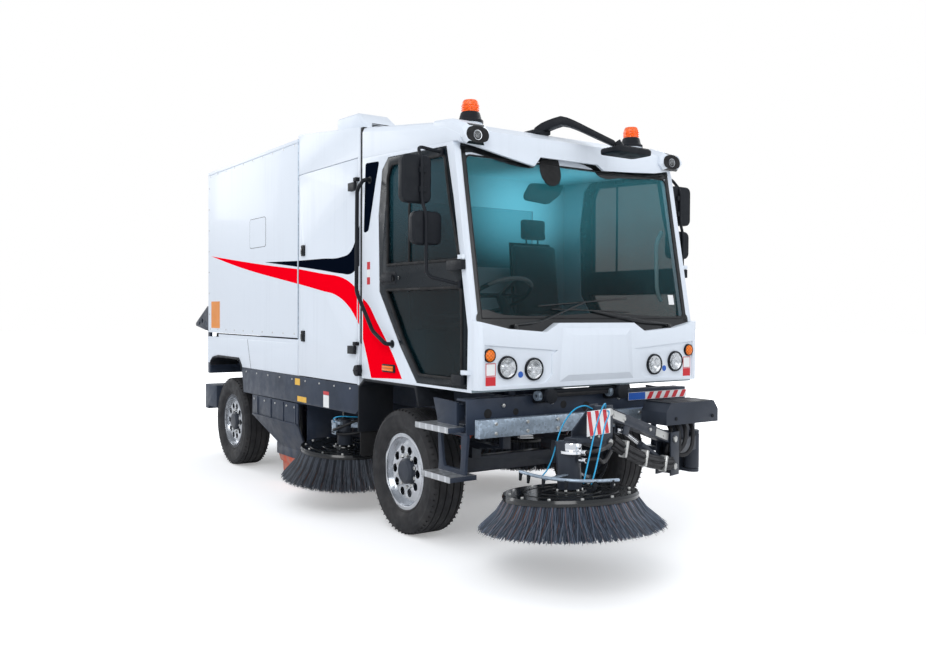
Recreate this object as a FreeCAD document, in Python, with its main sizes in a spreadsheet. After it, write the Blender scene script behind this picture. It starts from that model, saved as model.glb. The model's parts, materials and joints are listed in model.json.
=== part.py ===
"""Street sweeper truck: cab-over chassis, tipping hopper, roller broom and three round brushes.

Frame: +X forward, +Y left, +Z up, ground at Z 0. Every outline below is written from the front
axle's centre line, and each finished sub-part is shifted by front_axle_x, which puts the origin
under the middle of the whole machine. Lengths in millimetres, angles in degrees.
"""
import FreeCAD
import Part
import math
import os
import Sketcher

doc = FreeCAD.newDocument("StreetSweeper")
sheet = doc.addObject("Spreadsheet::Sheet", "Sizes")

SIZES = (
    # name, value, what it is
    ("front_axle_x", 1223.1, "front axle ahead of the origin"),
    ("wheelbase", 3345.0, "front axle to rear axle"),
    ("track_inset", 275.0, "tyre middles inside the body's width, both sides together"),
    ("tyre_radius", 433.5, "tyre outer radius"),
    ("tyre_width", 265.0, "tyre section width"),
    ("rim_radius", 247.5, "rim bead seat radius"),
    ("rim_lip", 18.0, "rim flange height above the bead seat"),
    ("rim_width", 210.0, "rim width over its flanges"),
    ("rim_wall", 9.0, "rim barrel and disc thickness"),
    ("disc_offset", 62.0, "wheel disc outboard of the tyre's middle"),
    ("disc_dish", 24.0, "how far the disc bulges outwards at the hand holes"),
    ("hand_hole_radius", 28.0, "hand hole in the wheel disc"),
    ("hand_hole_circle", 152.0, "radius of the ring of hand holes"),
    ("hand_hole_count", 10.0, "hand holes in a wheel"),
    ("hub_radius", 88.0, "hub boss and cap radius"),
    ("hub_length", 96.0, "hub boss length"),
    ("spindle_radius", 38.0, "wheel spindle radius"),
    ("seat_gap", 0.3, "running or seating clearance"),
    ("part_gap", 6.0, "clearance round doors and moving panels"),
    ("body_half", 980.0, "half the width over the body sides"),
    ("panel", 40.0, "body wall thickness, door and skin"),
    ("plate", 12.0, "chassis and bracket plate thickness"),
    ("rail_half", 400.0, "outer face of the chassis rails"),
    ("rail_width", 60.0, "chassis rail width"),
    ("rail_low_z", 780.0, "underside of the chassis rails"),
    ("rail_depth", 180.0, "chassis rail depth"),
    ("rear_overhang", 805.0, "chassis rails behind the rear axle"),
    ("beam_front_x", 812.0, "front face of the front cross beam"),
    ("beam_top_z", 1000.0, "top of the front cross beam"),
    ("beam_depth", 220.0, "front cross beam depth"),
    ("deck_z", 990.0, "underside of the body panels"),
    ("outrigger_depth", 30.0, "body bearer depth"),
    ("outrigger_width", 80.0, "body bearer width along the chassis"),
    ("slide_rail_x", 925.0, "middle of the front slide rail"),
    ("slide_rail_thick", 50.0, "slide rail thickness"),
    ("slide_rail_low_z", 775.0, "underside of the slide rail"),
    ("slide_rail_depth", 110.0, "slide rail depth"),
    ("axle_beam_half", 55.0, "half the height of the front axle beam"),
    ("kingpin_inset", 162.5, "kingpin inboard of the tyre's middle"),
    ("kingpin_radius", 20.0, "kingpin radius"),
    ("kingpin_half", 95.0, "kingpin reach above and below the wheel centre"),
    ("knuckle_half", 60.0, "half the height of the steering knuckle"),
    ("rear_tube_radius", 75.0, "rear axle tube radius"),
    ("diff_radius", 175.0, "rear differential housing radius"),
    ("drum_radius", 190.0, "brake drum radius"),
    ("cab_floor_z", 1045.0, "underside of the cab"),
    ("cab_rear_x", -555.0, "rear face of the cab"),
    ("cab_nose_x", 820.0, "cab front below the windscreen"),
    ("screen_foot_x", 860.0, "foot of the windscreen"),
    ("screen_foot_z", 1480.0, "foot of the windscreen"),
    ("screen_head_x", 662.0, "head of the windscreen"),
    ("screen_head_z", 2545.0, "head of the windscreen"),
    ("eaves_front_x", 640.0, "front end of the roof joint"),
    ("eaves_front_z", 2610.0, "roof joint at the windscreen"),
    ("eaves_rear_z", 2667.0, "roof joint at the cab's rear"),
    ("pillar", 76.0, "windscreen pillar width"),
    ("glass", 6.0, "glass thickness"),
    ("roof_nose_x", 715.0, "front edge of the roof"),
    ("roof_nose_z", 2685.0, "top of the roof's front edge"),
    ("roof_brow_x", 560.0, "roof brow where the slope eases"),
    ("roof_brow_z", 2752.0, "roof brow height"),
    ("roof_edge", 46.0, "chamfer along the roof's sides"),
    ("visor_depth", 24.0, "thickness of the roof's visor over the windscreen"),
    ("pod_reach", 45.0, "roof lamp pods stand ahead of the roof's nose by this"),
    ("pod_width", 208.0, "width of a roof lamp pod"),
    ("pod_lamp_radius", 46.0, "roof lamp radius"),
    ("roof_rear_z", 2900.0, "roof height at the cab's rear"),
    ("cab_gap", 40.0, "between the cab and the engine bay"),
    ("bay_length", 1105.0, "engine bay length"),
    ("bay_post", 33.0, "post in front of the engine bay doors"),
    ("bay_stop", 12.0, "door stop and hinge offset at the engine bay doors"),
    ("hopper_gap", 15.0, "between the engine bay and the hopper"),
    ("hopper_overhang", 661.0, "hopper behind the rear axle"),
    ("bay_top_front_z", 2901.0, "engine bay roof at its front"),
    ("bay_top_rear_z", 3022.0, "engine bay roof at its rear"),
    ("bay_seam_z", 2677.0, "joint above the engine bay doors"),
    ("hopper_floor_z", 1310.0, "underside of the hopper"),
    ("hopper_top_z", 2990.0, "top of the hopper"),
    ("hopper_door_thick", 35.0, "hopper door thickness"),
    ("tip_pivot_back", 94.0, "hopper tipping axis behind the hopper"),
    ("tip_pivot_z", 1400.0, "hopper tipping axis"),
    ("tip_pin_radius", 25.0, "hopper tipping pin radius"),
    ("lower_body_top_z", 1265.0, "top of the lower body panels"),
    ("arch_top_z", 1078.0, "crown of the rear wheel arch"),
    ("arch_ahead", 323.0, "wheel arch ahead of the rear axle"),
    ("arch_behind", 598.0, "wheel arch behind the rear axle"),
    ("arch_lip", 18.0, "wheel arch sheet thickness"),
    ("arch_inner_y", 690.0, "inner edge of the wheel arches"),
    ("skirt_low_z", 753.0, "lower edge of the side skirts"),
    ("housing_top_z", 750.0, "top of the broom housing"),
    ("housing_fold_z", 560.0, "fold in the housing's sides"),
    ("housing_low_z", 300.0, "lower edge of the housing"),
    ("roller_back", 444.0, "roller broom axis behind its housing's front"),
    ("roller_z", 345.0, "roller broom axis height"),
    ("roller_radius", 300.0, "roller broom radius over the bristles"),
    ("roller_core", 110.0, "roller broom core radius"),
    ("roller_shaft", 22.0, "roller broom shaft radius"),
    ("brush_x", -1102.0, "side brush axis"),
    ("brush_tip_z", 207.0, "side brush bristle tips"),
    ("brush_radius", 500.0, "side brush radius at the tips"),
    ("brush_height", 260.0, "side brush height to the top of its plate"),
    ("brush_plate", 352.0, "side brush plate radius"),
    ("brush_lean", 4.6, "side brush leans forward by this angle"),
    ("arm_pivot_x", -700.0, "side brush arm pivot"),
    ("arm_pivot_y", 620.0, "side brush arm pivot out from the middle"),
    ("arm_z", 640.0, "side brush arm height"),
    ("front_brush_radius", 550.0, "front brush radius at the tips"),
    ("front_brush_plate", 393.0, "front brush plate radius"),
    ("front_brush_height", 207.0, "front brush height to the top of its plate"),
    ("front_brush_tip_z", 305.0, "front brush bristle tips"),
    ("front_brush_lean", 4.8, "front brush leans forward by this angle"),
    ("turret_x", 1055.0, "turret axis"),
    ("boom_root_x", 1200.0, "boom root pin"),
    ("boom_root_y", 365.0, "boom root pin"),
    ("boom_yaw", -76.7, "boom direction seen from above"),
    ("boom_reach", 780.0, "boom pins apart, level"),
    ("boom_rise", 240.0, "boom pins apart, upright"),
    ("boom_low_z", 530.0, "lower boom link's root pin"),
    ("boom_high_z", 710.0, "upper boom link's root pin"),
    ("front_brush_out", 1078.0, "front brush axis from the boom root"),
    ("link_pin", 14.0, "boom pin radius"),
    ("door_sill_x", 812.0, "cab door outline, front of the sill"),
    ("door_sill_z", 1062.0, "cab door outline, sill"),
    ("door_heel_x", 221.0, "cab door outline, rear of the sill"),
    ("door_knee_x", -13.0, "cab door outline, lower bend"),
    ("door_knee_z", 1315.0, "cab door outline, lower bend"),
    ("door_hip_x", -294.0, "cab door outline, rear waist"),
    ("door_hip_z", 1680.0, "cab door outline, rear waist"),
    ("door_back_x", -311.0, "cab door outline, rear edge"),
    ("door_back_z", 2229.0, "cab door outline, rear edge"),
    ("door_shoulder_x", -262.0, "cab door outline, rear shoulder"),
    ("door_shoulder_z", 2541.0, "cab door outline, rear shoulder"),
    ("door_crown_x", -173.0, "cab door outline, rear end of the head"),
    ("door_crown_z", 2622.0, "cab door outline, rear end of the head"),
    ("door_head_x", 570.0, "cab door outline, front end of the head"),
    ("door_head_z", 2590.0, "cab door outline, front end of the head"),
    ("door_brow_x", 655.0, "cab door outline, front edge above the waist"),
    ("door_brow_z", 2256.0, "cab door outline, front edge above the waist"),
    ("door_nose_x", 818.0, "cab door outline, front edge at the waist"),
    ("door_nose_z", 1429.0, "cab door outline, front edge at the waist"),
    ("door_frame", 58.0, "cab door frame width round the glass"),
    ("waist_low_z", 1690.0, "underside of the cab door's waist rail"),
    ("waist_high_z", 1866.0, "top of the cab door's waist rail"),
    ("hinge_out", 18.0, "hinge axis outside the body side"),
    ("hinge_pin", 8.0, "door hinge pin radius"),
    ("hinge_eye", 13.0, "door hinge eye radius"),
    ("hinge_height", 60.0, "door hinge height"),
    ("cab_hinge_x", 790.0, "cab door hinge axis"),
    ("cab_hinge_low_z", 1120.0, "lower cab door hinge"),
    ("cab_hinge_high_z", 1830.0, "upper cab door hinge"),
    ("bay_hinge_low_z", 1250.0, "lower engine bay door hinge"),
    ("bay_hinge_high_z", 2470.0, "upper engine bay door hinge"),
    ("apron_face_x", 925.0, "face of the front apron"),
    ("apron_low_z", 1062.0, "lower edge of the front apron"),
    ("apron_bulge", 22.0, "centre of the apron stands proud by this"),
    ("apron_recess", 10.0, "lamp panels lie behind the apron's face by this"),
    ("apron_corner", 36.0, "rounding of the apron's outer corners"),
    ("apron_bulge_half", 335.0, "half the width of the apron's raised centre"),
    ("leaf_thick", 12.5, "thickness of one spring leaf"),
    ("tuft_count", 22.0, "bristle tufts round a brush"),
    ("tuft_gap", 11.0, "width of the gap between two tufts"),
    ("row_count", 12.0, "bristle rows on the roller broom"),
    ("row_gap", 30.0, "width of the gap between two bristle rows"),
    ("lamp_radius", 72.0, "headlamp radius"),
    ("lamp_outer_z", 1197.0, "outer headlamp"),
    ("lamp_inner_z", 1181.0, "inner headlamp"),
    ("signal_radius", 42.0, "direction indicator radius"),
    ("signal_z", 1274.0, "direction indicator"),
    ("lamp_depth", 30.0, "lamp body depth"),
    ("seat_y", 480.0, "seats out from the middle"),
    ("seat_half", 245.0, "half a seat's width"),
    ("cushion_low_z", 1400.0, "underside of the seat cushion"),
    ("cushion_top_z", 1530.0, "top of the seat cushion"),
    ("back_top_z", 2110.0, "top of the seat back"),
    ("headrest_top_z", 2310.0, "top of the headrest"),
    ("cushion_front_x", 230.0, "front of the seat cushion"),
    ("back_front_x", -230.0, "front of the seat back at the cushion"),
    ("back_thick", 110.0, "seat back thickness"),
    ("wheel_hand_radius", 225.0, "steering wheel radius"),
    ("lift_base_z", 1120.0, "hopper lift cylinder's fixed pin"),
    ("lift_eye_back", 385.0, "hopper lift cylinder's rod eye behind the hopper's front"),
    ("lift_base_ahead", 400.0, "hopper lift cylinder's fixed pin ahead of the tipping axis"),
    ("lift_eye_z", 1250.0, "hopper lift cylinder's rod eye"),
    ("lift_y", 450.0, "hopper lift cylinders out from the middle"),
    ("lift_barrel", 55.0, "hopper lift cylinder barrel radius"),
    ("lift_rod", 30.0, "hopper lift cylinder rod radius"),
    ("lift_pin", 20.0, "hopper lift cylinder pin radius"),
    ("lift_barrel_length", 1150.0, "hopper lift cylinder barrel"),
    ("mirror_reach", 320.0, "side mirrors stand out from the body by this"),
    ("beacon_x", 480.0, "roof beacons"),
    ("brush_shaft", 18.0, "round brush motor shaft radius"),
    ("arm_pin", 15.0, "side brush arm pin radius"),
    ("column_pin", 28.0, "turret pin radius"),
    ("column_low_z", 430.0, "foot of the turret fork"),
    ("column_top_z", 722.0, "top of the turret fork"),
    ("boom_half", 42.0, "half the boom's width"),
    ("post_half", 58.0, "half the width over the boom's post"),
    ("boom_eye_at", 560.0, "boom lift cylinder's eye along the boom"),
    ("boom_eye_drop", 62.0, "boom lift cylinder's eye below the boom"),
)


DERIVED = (
    # name, how it follows from the sizes above, what it is
    ("wheel_track", "2 * body_half - track_inset", "between the middles of a pair of tyres"),
    ("kingpin_y", "wheel_track / 2 - kingpin_inset", "kingpin out from the middle"),
    ("frame_rear_x", "-wheelbase - rear_overhang", "rear end of the chassis rails"),
    ("arch_front_x", "-wheelbase + arch_ahead", "front foot of the rear wheel arch"),
    ("arch_rear_x", "-wheelbase - arch_behind", "rear foot of the rear wheel arch"),
    ("hopper_rear_x", "-wheelbase - hopper_overhang", "rear face of the hopper"),
    ("lower_body_rear_x", "hopper_rear_x - 24", "rear face of the lower body"),
    ("tip_pivot_x", "hopper_rear_x - tip_pivot_back", "hopper tipping axis"),
    ("bay_front_x", "cab_rear_x - cab_gap", "front face of the engine bay"),
    ("bay_rear_x", "bay_front_x - bay_length", "rear face of the engine bay"),
    ("bay_door_front_x", "bay_front_x - bay_post", "front edge of the engine bay doors"),
    ("bay_door_rear_x", "bay_rear_x + bay_stop", "rear edge of the engine bay doors"),
    ("bay_hinge_x", "bay_door_front_x - bay_stop", "engine bay door hinge axis"),
    ("hopper_front_x", "bay_rear_x - hopper_gap", "front face of the hopper"),
    ("lift_eye_x", "hopper_front_x - lift_eye_back", "hopper lift cylinder's rod eye"),
    ("lift_base_x", "tip_pivot_x + lift_base_ahead", "hopper lift cylinder's fixed pin"),
    ("housing_front_x", "hopper_front_x - 1", "front of the broom housing"),
    ("housing_rear_x", "arch_front_x + 268", "rear of the broom housing"),
    ("roller_x", "housing_front_x - roller_back", "roller broom axis"),
    ("tip_plate_half", "body_half - 18", "middle of the tipping bracket plates"),
    ("hopper_door_half", "body_half - 80", "half the hopper door's width"),
    ("screen_half", "body_half - pillar", "half the windscreen opening's width"),
    ("beacon_y", "body_half - 245", "roof beacons out from the middle"),
    ("mirror_out", "body_half + mirror_reach", "outer edge of the side mirrors"),
    ("step_out", "body_half + 120", "outer edge of the cab steps"),
    ("step_inner", "body_half - 75", "inner edge of the cab steps"),
    ("housing_top_half", "body_half - 5", "half width of the housing above its fold"),
    ("housing_low_half", "body_half - 95", "half width of the housing at its foot"),
    ("roller_half", "body_half - 245", "half the roller broom's length"),
    ("turret_y", "body_half - 200", "turret axis"),
    ("brush_y", "body_half - 130", "side brush axis out from the middle"),
    ("signal_y", "body_half - 92", "direction indicator"),
    ("lamp_outer_y", "body_half - 229", "outer headlamp"),
    ("lamp_inner_y", "body_half - 440", "inner headlamp"),
)


class Size:
    """A length that carries its value and the spreadsheet expression that gives it."""

    def __init__(self, value, text):
        self.value = value
        self.text = text

    def join(self, sign, other, value):
        return Size(value, f"({self.text} {sign} {other.text})")

    def __add__(self, other):
        other = size(other)
        return self.join("+", other, self.value + other.value)

    def __sub__(self, other):
        other = size(other)
        return self.join("-", other, self.value - other.value)

    def __mul__(self, other):
        other = size(other)
        return self.join("*", other, self.value * other.value)

    def __truediv__(self, other):
        other = size(other)
        return self.join("/", other, self.value / other.value)

    def __radd__(self, other):
        return size(other) + self

    def __rsub__(self, other):
        return size(other) - self

    def __rmul__(self, other):
        return size(other) * self

    def __neg__(self):
        return Size(-self.value, f"(0 - {self.text})")


def size(thing):
    """A Size from a Size or a plain number."""
    return thing if isinstance(thing, Size) else Size(float(thing), repr(float(thing)))


class Sheet:
    """Reads the spreadsheet's cells as Size objects: s.wheelbase, s.panel and so on."""

    def __getattr__(self, name):
        return Size(float(getattr(sheet, name)), f"Sizes.{name}")


for row, (name, value, note) in enumerate(SIZES, start=1):
    sheet.set(f"A{row}", note)
    sheet.set(f"B{row}", str(value))
    sheet.setAlias(f"B{row}", name)
for row, (name, formula, note) in enumerate(DERIVED, start=len(SIZES) + 1):
    sheet.set(f"A{row}", note)
    sheet.set(f"B{row}", f"={formula}")
    sheet.setAlias(f"B{row}", name)
doc.recompute()
s = Sheet()

X_AXIS = FreeCAD.Vector(1, 0, 0)
Y_AXIS = FreeCAD.Vector(0, 1, 0)
Z_AXIS = FreeCAD.Vector(0, 0, 1)
TURNS = {
    "x": FreeCAD.Rotation(Y_AXIS, 90),
    "y": FreeCAD.Rotation(X_AXIS, -90),
    "z": FreeCAD.Rotation(),
}
PLANES = {
    # plane: turn of the sketch, extrusion direction, coordinate that the extrusion runs along
    "xy": (FreeCAD.Rotation(), Z_AXIS, "z"),
    "xz": (FreeCAD.Rotation(X_AXIS, 90), Y_AXIS, "y"),
    "yz": (FreeCAD.Rotation(FreeCAD.Vector(1, 1, 1), 120), X_AXIS, "x"),
}
parts = []


def span(*values):
    """Sizes in rising order."""
    return sorted((size(value) for value in values), key=lambda item: item.value)


def bind(thing, prop, value):
    """Bind a property to a Size's expression."""
    thing.setExpression(prop, size(value).text)


def place(thing, at):
    """Bind a thing's position to three Sizes."""
    for letter, value in zip("xyz", at):
        bind(thing, f"Placement.Base.{letter}", value)


def box(name, xs, ys, zs):
    """A box from its low and high value along each axis."""
    thing = doc.addObject("Part::Box", name)
    for prop, (low, high) in zip(("Length", "Width", "Height"), (xs, ys, zs)):
        bind(thing, prop, size(high) - low)
    place(thing, (xs[0], ys[0], zs[0]))
    return thing


def rod(name, axis, at, radius, length):
    """A cylinder from a point along x, y or z."""
    thing = doc.addObject("Part::Cylinder", name)
    thing.Placement = FreeCAD.Placement(FreeCAD.Vector(), TURNS[axis])
    bind(thing, "Radius", radius)
    bind(thing, "Height", length)
    place(thing, at)
    return thing


def outline(name, plane, points, level):
    """A closed sketch of straight runs on a plane at a level along its normal."""
    turn, _, letter = PLANES[plane]
    thing = doc.addObject("Sketcher::SketchObject", name)
    thing.Placement = FreeCAD.Placement(FreeCAD.Vector(), turn)
    draw_outline(thing, points)
    bind(thing, f"Placement.Base.{letter}", level)
    return thing


def draw_outline(sketch, points):
    """Draw a closed polygon in a sketch and drive each corner from the sheet."""
    corners = [(size(a), size(b)) for a, b in points]
    spots = [FreeCAD.Vector(a.value, b.value, 0) for a, b in corners]
    count = len(spots)
    for index in range(count):
        sketch.addGeometry(Part.LineSegment(spots[index], spots[(index + 1) % count]), False)
    for index in range(count):
        sketch.addConstraint(Sketcher.Constraint("Coincident", index, 2, (index + 1) % count, 1))
    for index, (across, up) in enumerate(corners):
        for kind, value in (("DistanceX", across), ("DistanceY", up)):
            number = sketch.addConstraint(Sketcher.Constraint(kind, -1, 1, index, 1, value.value))
            sketch.setExpression(f"Constraints[{number}]", value.text)


def extrude(name, plane, drawing, depth):
    """A solid from a closed drawing along its plane's normal."""
    thing = doc.addObject("Part::Extrusion", name)
    thing.Base = drawing
    thing.DirMode = "Custom"
    thing.Dir = PLANES[plane][1]
    thing.Solid = True
    bind(thing, "LengthFwd", depth)
    return thing


def prism(name, plane, points, low, high):
    """A solid of constant outline between two levels along its plane's normal."""
    drawing = outline(f"{name}_outline", plane, points, low)
    return extrude(name, plane, drawing, size(high) - low)


def octagon(left, right, low, top, edge):
    """A rectangle with its four corners cut off by an edge, as (across, up) points."""
    return [(left, low + edge), (left + edge, low), (right - edge, low), (right, low + edge),
            (right, top - edge), (right - edge, top), (left + edge, top), (left, top - edge)]


def loft(name, plane, sections):
    """A solid skinned straight between outlines, given as (level, points) along their plane's normal."""
    thing = doc.addObject("Part::Loft", name)
    thing.Sections = [outline(f"{name}_section_{number}", plane, points, level)
                      for number, (level, points) in enumerate(sections)]
    thing.Solid = True
    thing.Ruled = True
    return thing


def inset(name, drawing, amount):
    """A drawing moved inwards all round, corners kept sharp."""
    thing = doc.addObject("Part::Offset2D", name)
    thing.Source = drawing
    thing.Join = "Intersection"
    bind(thing, "Value", -amount)
    return thing


def lathe(name, axis, points, at):
    """A solid of revolution about x, y or z from points (radius, along)."""
    thing = doc.addObject("Part::Revolution", name)
    drawing = doc.addObject("Sketcher::SketchObject", f"{name}_outline")
    draw_outline(drawing, points)
    thing.Source = drawing
    thing.Axis = Y_AXIS
    thing.Angle = 360
    thing.Solid = True
    lay = {"y": FreeCAD.Rotation(), "z": FreeCAD.Rotation(X_AXIS, 90), "x": FreeCAD.Rotation(Z_AXIS, -90)}
    thing.Placement = FreeCAD.Placement(FreeCAD.Vector(), lay[axis])
    place(thing, at)
    return thing


def cut(name, base, *tools):
    """The base less each tool in turn."""
    for number, tool in enumerate(tools):
        thing = doc.addObject("Part::Cut", f"{name}_less_{number}")
        thing.Base = base
        thing.Tool = tool
        base = thing
    return base


def fuse(name, *pieces):
    """Pieces made one solid."""
    thing = doc.addObject("Part::MultiFuse", name)
    thing.Shapes = list(pieces)
    thing.Refine = True
    return thing


def common(name, *pieces):
    """What all the pieces share."""
    thing = doc.addObject("Part::MultiCommon", name)
    thing.Shapes = list(pieces)
    return thing


def group(name, *pieces):
    """Pieces kept as separate solids in one sub-part."""
    thing = doc.addObject("Part::Compound", name)
    thing.Links = list(pieces)
    return thing


def mirror(name, source):
    """The same piece on the other side of the middle."""
    thing = doc.addObject("Part::Mirroring", name)
    thing.Source = source
    thing.Normal = Y_AXIS
    return thing


def both(name, piece):
    """A piece and its mirror image as one sub-part of separate solids."""
    return group(name, piece, mirror(f"{name}_other", piece))


def turned(name, piece, axis, angle, at):
    """A piece turned by an angle about an axis through the origin, then carried to a point."""
    thing = doc.addObject("Part::Compound", name)
    thing.Links = [piece]
    thing.Placement = FreeCAD.Placement(FreeCAD.Vector(), FreeCAD.Rotation(axis, 0.0))
    thing.Placement.Rotation.Axis = axis
    bind(thing, "Placement.Rotation.Angle", angle)
    place(thing, at)
    return thing


def finish(label, thing):
    """Name a sub-part and carry it from the front axle's frame to the machine's frame."""
    whole = group(f"{label}_part", thing)
    whole.Label = label
    bind(whole, "Placement.Base.x", s.front_axle_x)
    parts.append(whole)
    return whole


def turn_size(rise, run):
    """The angle of a slope, from its rise and run."""
    rise, run = size(rise), size(run)
    return Size(math.degrees(math.atan2(rise.value, run.value)), f"(atan2({rise.text}; {run.text}) / 1deg)")


def length_size(rise, run):
    """The length of a slope, from its rise and run."""
    rise, run = size(rise), size(run)
    return Size(math.hypot(rise.value, run.value), f"hypot({rise.text}; {run.text})")


def along(angle, length):
    """The run and rise of a length laid at an angle, as two Sizes."""
    bearing, length = math.radians(angle.value), size(length)
    return (Size(math.cos(bearing) * length.value, f"(cos({angle.text} * 1deg) * {length.text})"),
            Size(math.sin(bearing) * length.value, f"(sin({angle.text} * 1deg) * {length.text})"))


def tube(name, points, radius, bend):
    """A bent tube along straight runs joined by arcs of one radius."""
    spots = [FreeCAD.Vector(*(size(value).value for value in point)) for point in points]
    edges, start = [], spots[0]
    for before, here, after in zip(spots, spots[1:], spots[2:]):
        inward, outward = (before - here).normalize(), (after - here).normalize()
        half = inward.getAngle(outward) / 2
        back = bend / math.tan(half)
        enter, leave = here + inward * back, here + outward * back
        middle = here + (inward + outward).normalize() * (bend / math.sin(half) - bend)
        edges += [Part.LineSegment(start, enter).toShape(), Part.Arc(enter, middle, leave).toShape()]
        start = leave
    edges.append(Part.LineSegment(start, spots[-1]).toShape())
    path = Part.Wire(edges)
    ring = Part.Wire(Part.Circle(spots[0], spots[1] - spots[0], size(radius).value).toShape())
    thing = doc.addObject("Part::Feature", name)
    thing.Shape = path.makePipeShell([ring], True, True)
    return thing


# ---------------------------------------------------------------- chassis

rail_top_z = s.rail_low_z + s.rail_depth
bearer_top_z = s.deck_z - s.seat_gap
bearer_half = s.body_half - 15 - s.seat_gap
axle_z = s.tyre_radius
rear_axle_x = -s.wheelbase
tyre_y = s.wheel_track / 2


def chassis_frame():
    """Channel rails, cross members, body bearers, front beam, tipping posts and arm brackets."""
    rail = cut("rail",
               box("rail_bar", (s.frame_rear_x, s.beam_front_x - 2), (s.rail_half - s.rail_width, s.rail_half),
                   (s.rail_low_z, rail_top_z)),
               box("rail_channel", (s.frame_rear_x - 1, s.beam_front_x),
                   (s.rail_half - s.rail_width - 1, s.rail_half - s.plate),
                   (s.rail_low_z + s.plate, rail_top_z - s.plate)))
    pieces = [rail, mirror("rail_right", rail)]
    for number, x in enumerate((s.frame_rear_x + 30, rear_axle_x + 500, rear_axle_x - 500, s.housing_front_x + 60,
                                s.bay_front_x - 60, size(300))):
        pieces.append(box(f"cross_{number}", (x - 30, x + 30), (-(s.rail_half - 2), s.rail_half - 2),
                          (s.rail_low_z + 20, rail_top_z - 20)))
    for number, x in enumerate((s.bay_rear_x + 60, s.bay_front_x - 60, s.arch_front_x + 120, s.arch_rear_x - 50)):
        pieces.append(box(f"bearer_{number}", (x - s.outrigger_width / 2, x + s.outrigger_width / 2),
                          (-bearer_half, bearer_half), (bearer_top_z - s.outrigger_depth, bearer_top_z)))
    for number, x in enumerate((s.cab_rear_x + 60, size(520))):
        for side in (-1, 1):
            y = side * (s.rail_half - s.rail_width / 2)
            pieces.append(box(f"cab_mount_{number}_{side + 1}", (x - 40, x + 40), (y - 35, y + 35),
                              (rail_top_z - 1, s.cab_floor_z - s.seat_gap)))
    beam_low_z = s.beam_top_z - s.beam_depth
    pieces.append(cut("front_beam",
                      box("beam_bar", (s.beam_front_x - 110, s.beam_front_x), (-s.body_half, s.body_half),
                          (beam_low_z, s.beam_top_z)),
                      box("beam_channel", (s.beam_front_x - 111, s.beam_front_x - s.plate),
                          (-(s.body_half + 1), s.body_half + 1), (beam_low_z + s.plate, s.beam_top_z - s.plate))))
    post_x = (s.tip_pivot_x - 35, s.tip_pivot_x + 35)
    pieces.append(box("rear_beam", post_x, (-(s.hopper_door_half + 40), s.hopper_door_half + 40),
                      (rail_top_z - 90, rail_top_z + 20)))
    for side in (-1, 1):
        ys = span(side * (s.hopper_door_half + 15), side * (s.hopper_door_half + 40))
        pieces.append(box(f"tip_post_{side + 1}", post_x, ys, (rail_top_z, s.tip_pivot_z + 35)))
        start = span(side * (s.hopper_door_half + 30), side * (s.tip_plate_half + 12))[0]
        pieces.append(rod(f"tip_pin_{side + 1}", "y", (s.tip_pivot_x, start, s.tip_pivot_z), s.tip_pin_radius,
                          s.tip_plate_half + 12 - s.hopper_door_half - 30))
        pieces.append(arm_bracket(side))
        pieces.append(lift_bracket(side))
    return fuse("frame_weld", *pieces)


def arm_bracket(side):
    """The fork and pin that carry a side brush arm, under the chassis rail."""
    x, y = s.arm_pivot_x, side * s.arm_pivot_y
    ys = span(side * (s.rail_half - s.rail_width), y + side * 45)
    root = span(side * (s.rail_half - s.rail_width), side * s.rail_half)
    return fuse(f"arm_bracket_{side + 1}",
                box(f"fork_top_{side + 1}", (x - 45, x + 45), ys, (s.arm_z + 46, s.arm_z + 61)),
                box(f"fork_low_{side + 1}", (x - 45, x + 45), ys, (s.arm_z - 61, s.arm_z - 46)),
                box(f"fork_leg_{side + 1}", (x - 45, x + 45), root, (s.arm_z - 61, s.rail_low_z + 5)),
                rod(f"fork_pin_{side + 1}", "z", (x, y, s.arm_z - 61), 15, 122))


def lift_bracket(side):
    """The pair of lugs and the pin at a lift cylinder's fixed end."""
    y, x, z = side * s.lift_y, s.lift_base_x, s.lift_base_z
    lugs = []
    for hand in (-1, 1):
        ys = span(y + hand * 36, y + hand * 50)
        lugs.append(box(f"lift_lug_{side + 1}_{hand + 1}", (x - 45, x + 45), ys, (rail_top_z - 30, z + 35)))
    return fuse(f"lift_bracket_{side + 1}", *lugs,
                box(f"lift_foot_{side + 1}", (x - 45, x + 45),
                    span(side * (s.rail_half - 10), y + side * 50),
                    (rail_top_z - 30, rail_top_z - 10)),
                rod(f"lift_base_pin_{side + 1}", "y", (x, y - 50, z), s.lift_pin, 100))


def front_rail():
    """The slide rail for the front brush, its brackets and the bump stops."""
    half = s.slide_rail_thick / 2
    pieces = [box("slide_bar", (s.slide_rail_x - half, s.slide_rail_x + half), (-s.body_half, s.body_half),
                  (s.slide_rail_low_z, s.slide_rail_low_z + s.slide_rail_depth))]
    for number, y in enumerate((-880, -300, 300, 880)):
        pieces.append(box(f"slide_bracket_{number}", (s.beam_front_x + s.seat_gap, s.slide_rail_x - half + 1),
                          (y - 30, y + 30), (s.slide_rail_low_z + 15, s.slide_rail_low_z + s.slide_rail_depth - 15)))
    stops = []
    for number, y in enumerate((-422, 203)):
        stops.append(box(f"stop_lug_{number}", (s.beam_front_x + s.seat_gap, 930), (y - 8, y + 8), (965, 1045)))
        stops.append(rod(f"stop_{number}", "x", (925, y, 1006), 46, 34))
    stops.append(rod("stop_tube", "y", (880, -422, 1030), 14, 625))
    return group("front_rail_set", fuse("slide_rail", *pieces), fuse("bump_stops", *stops))


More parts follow.
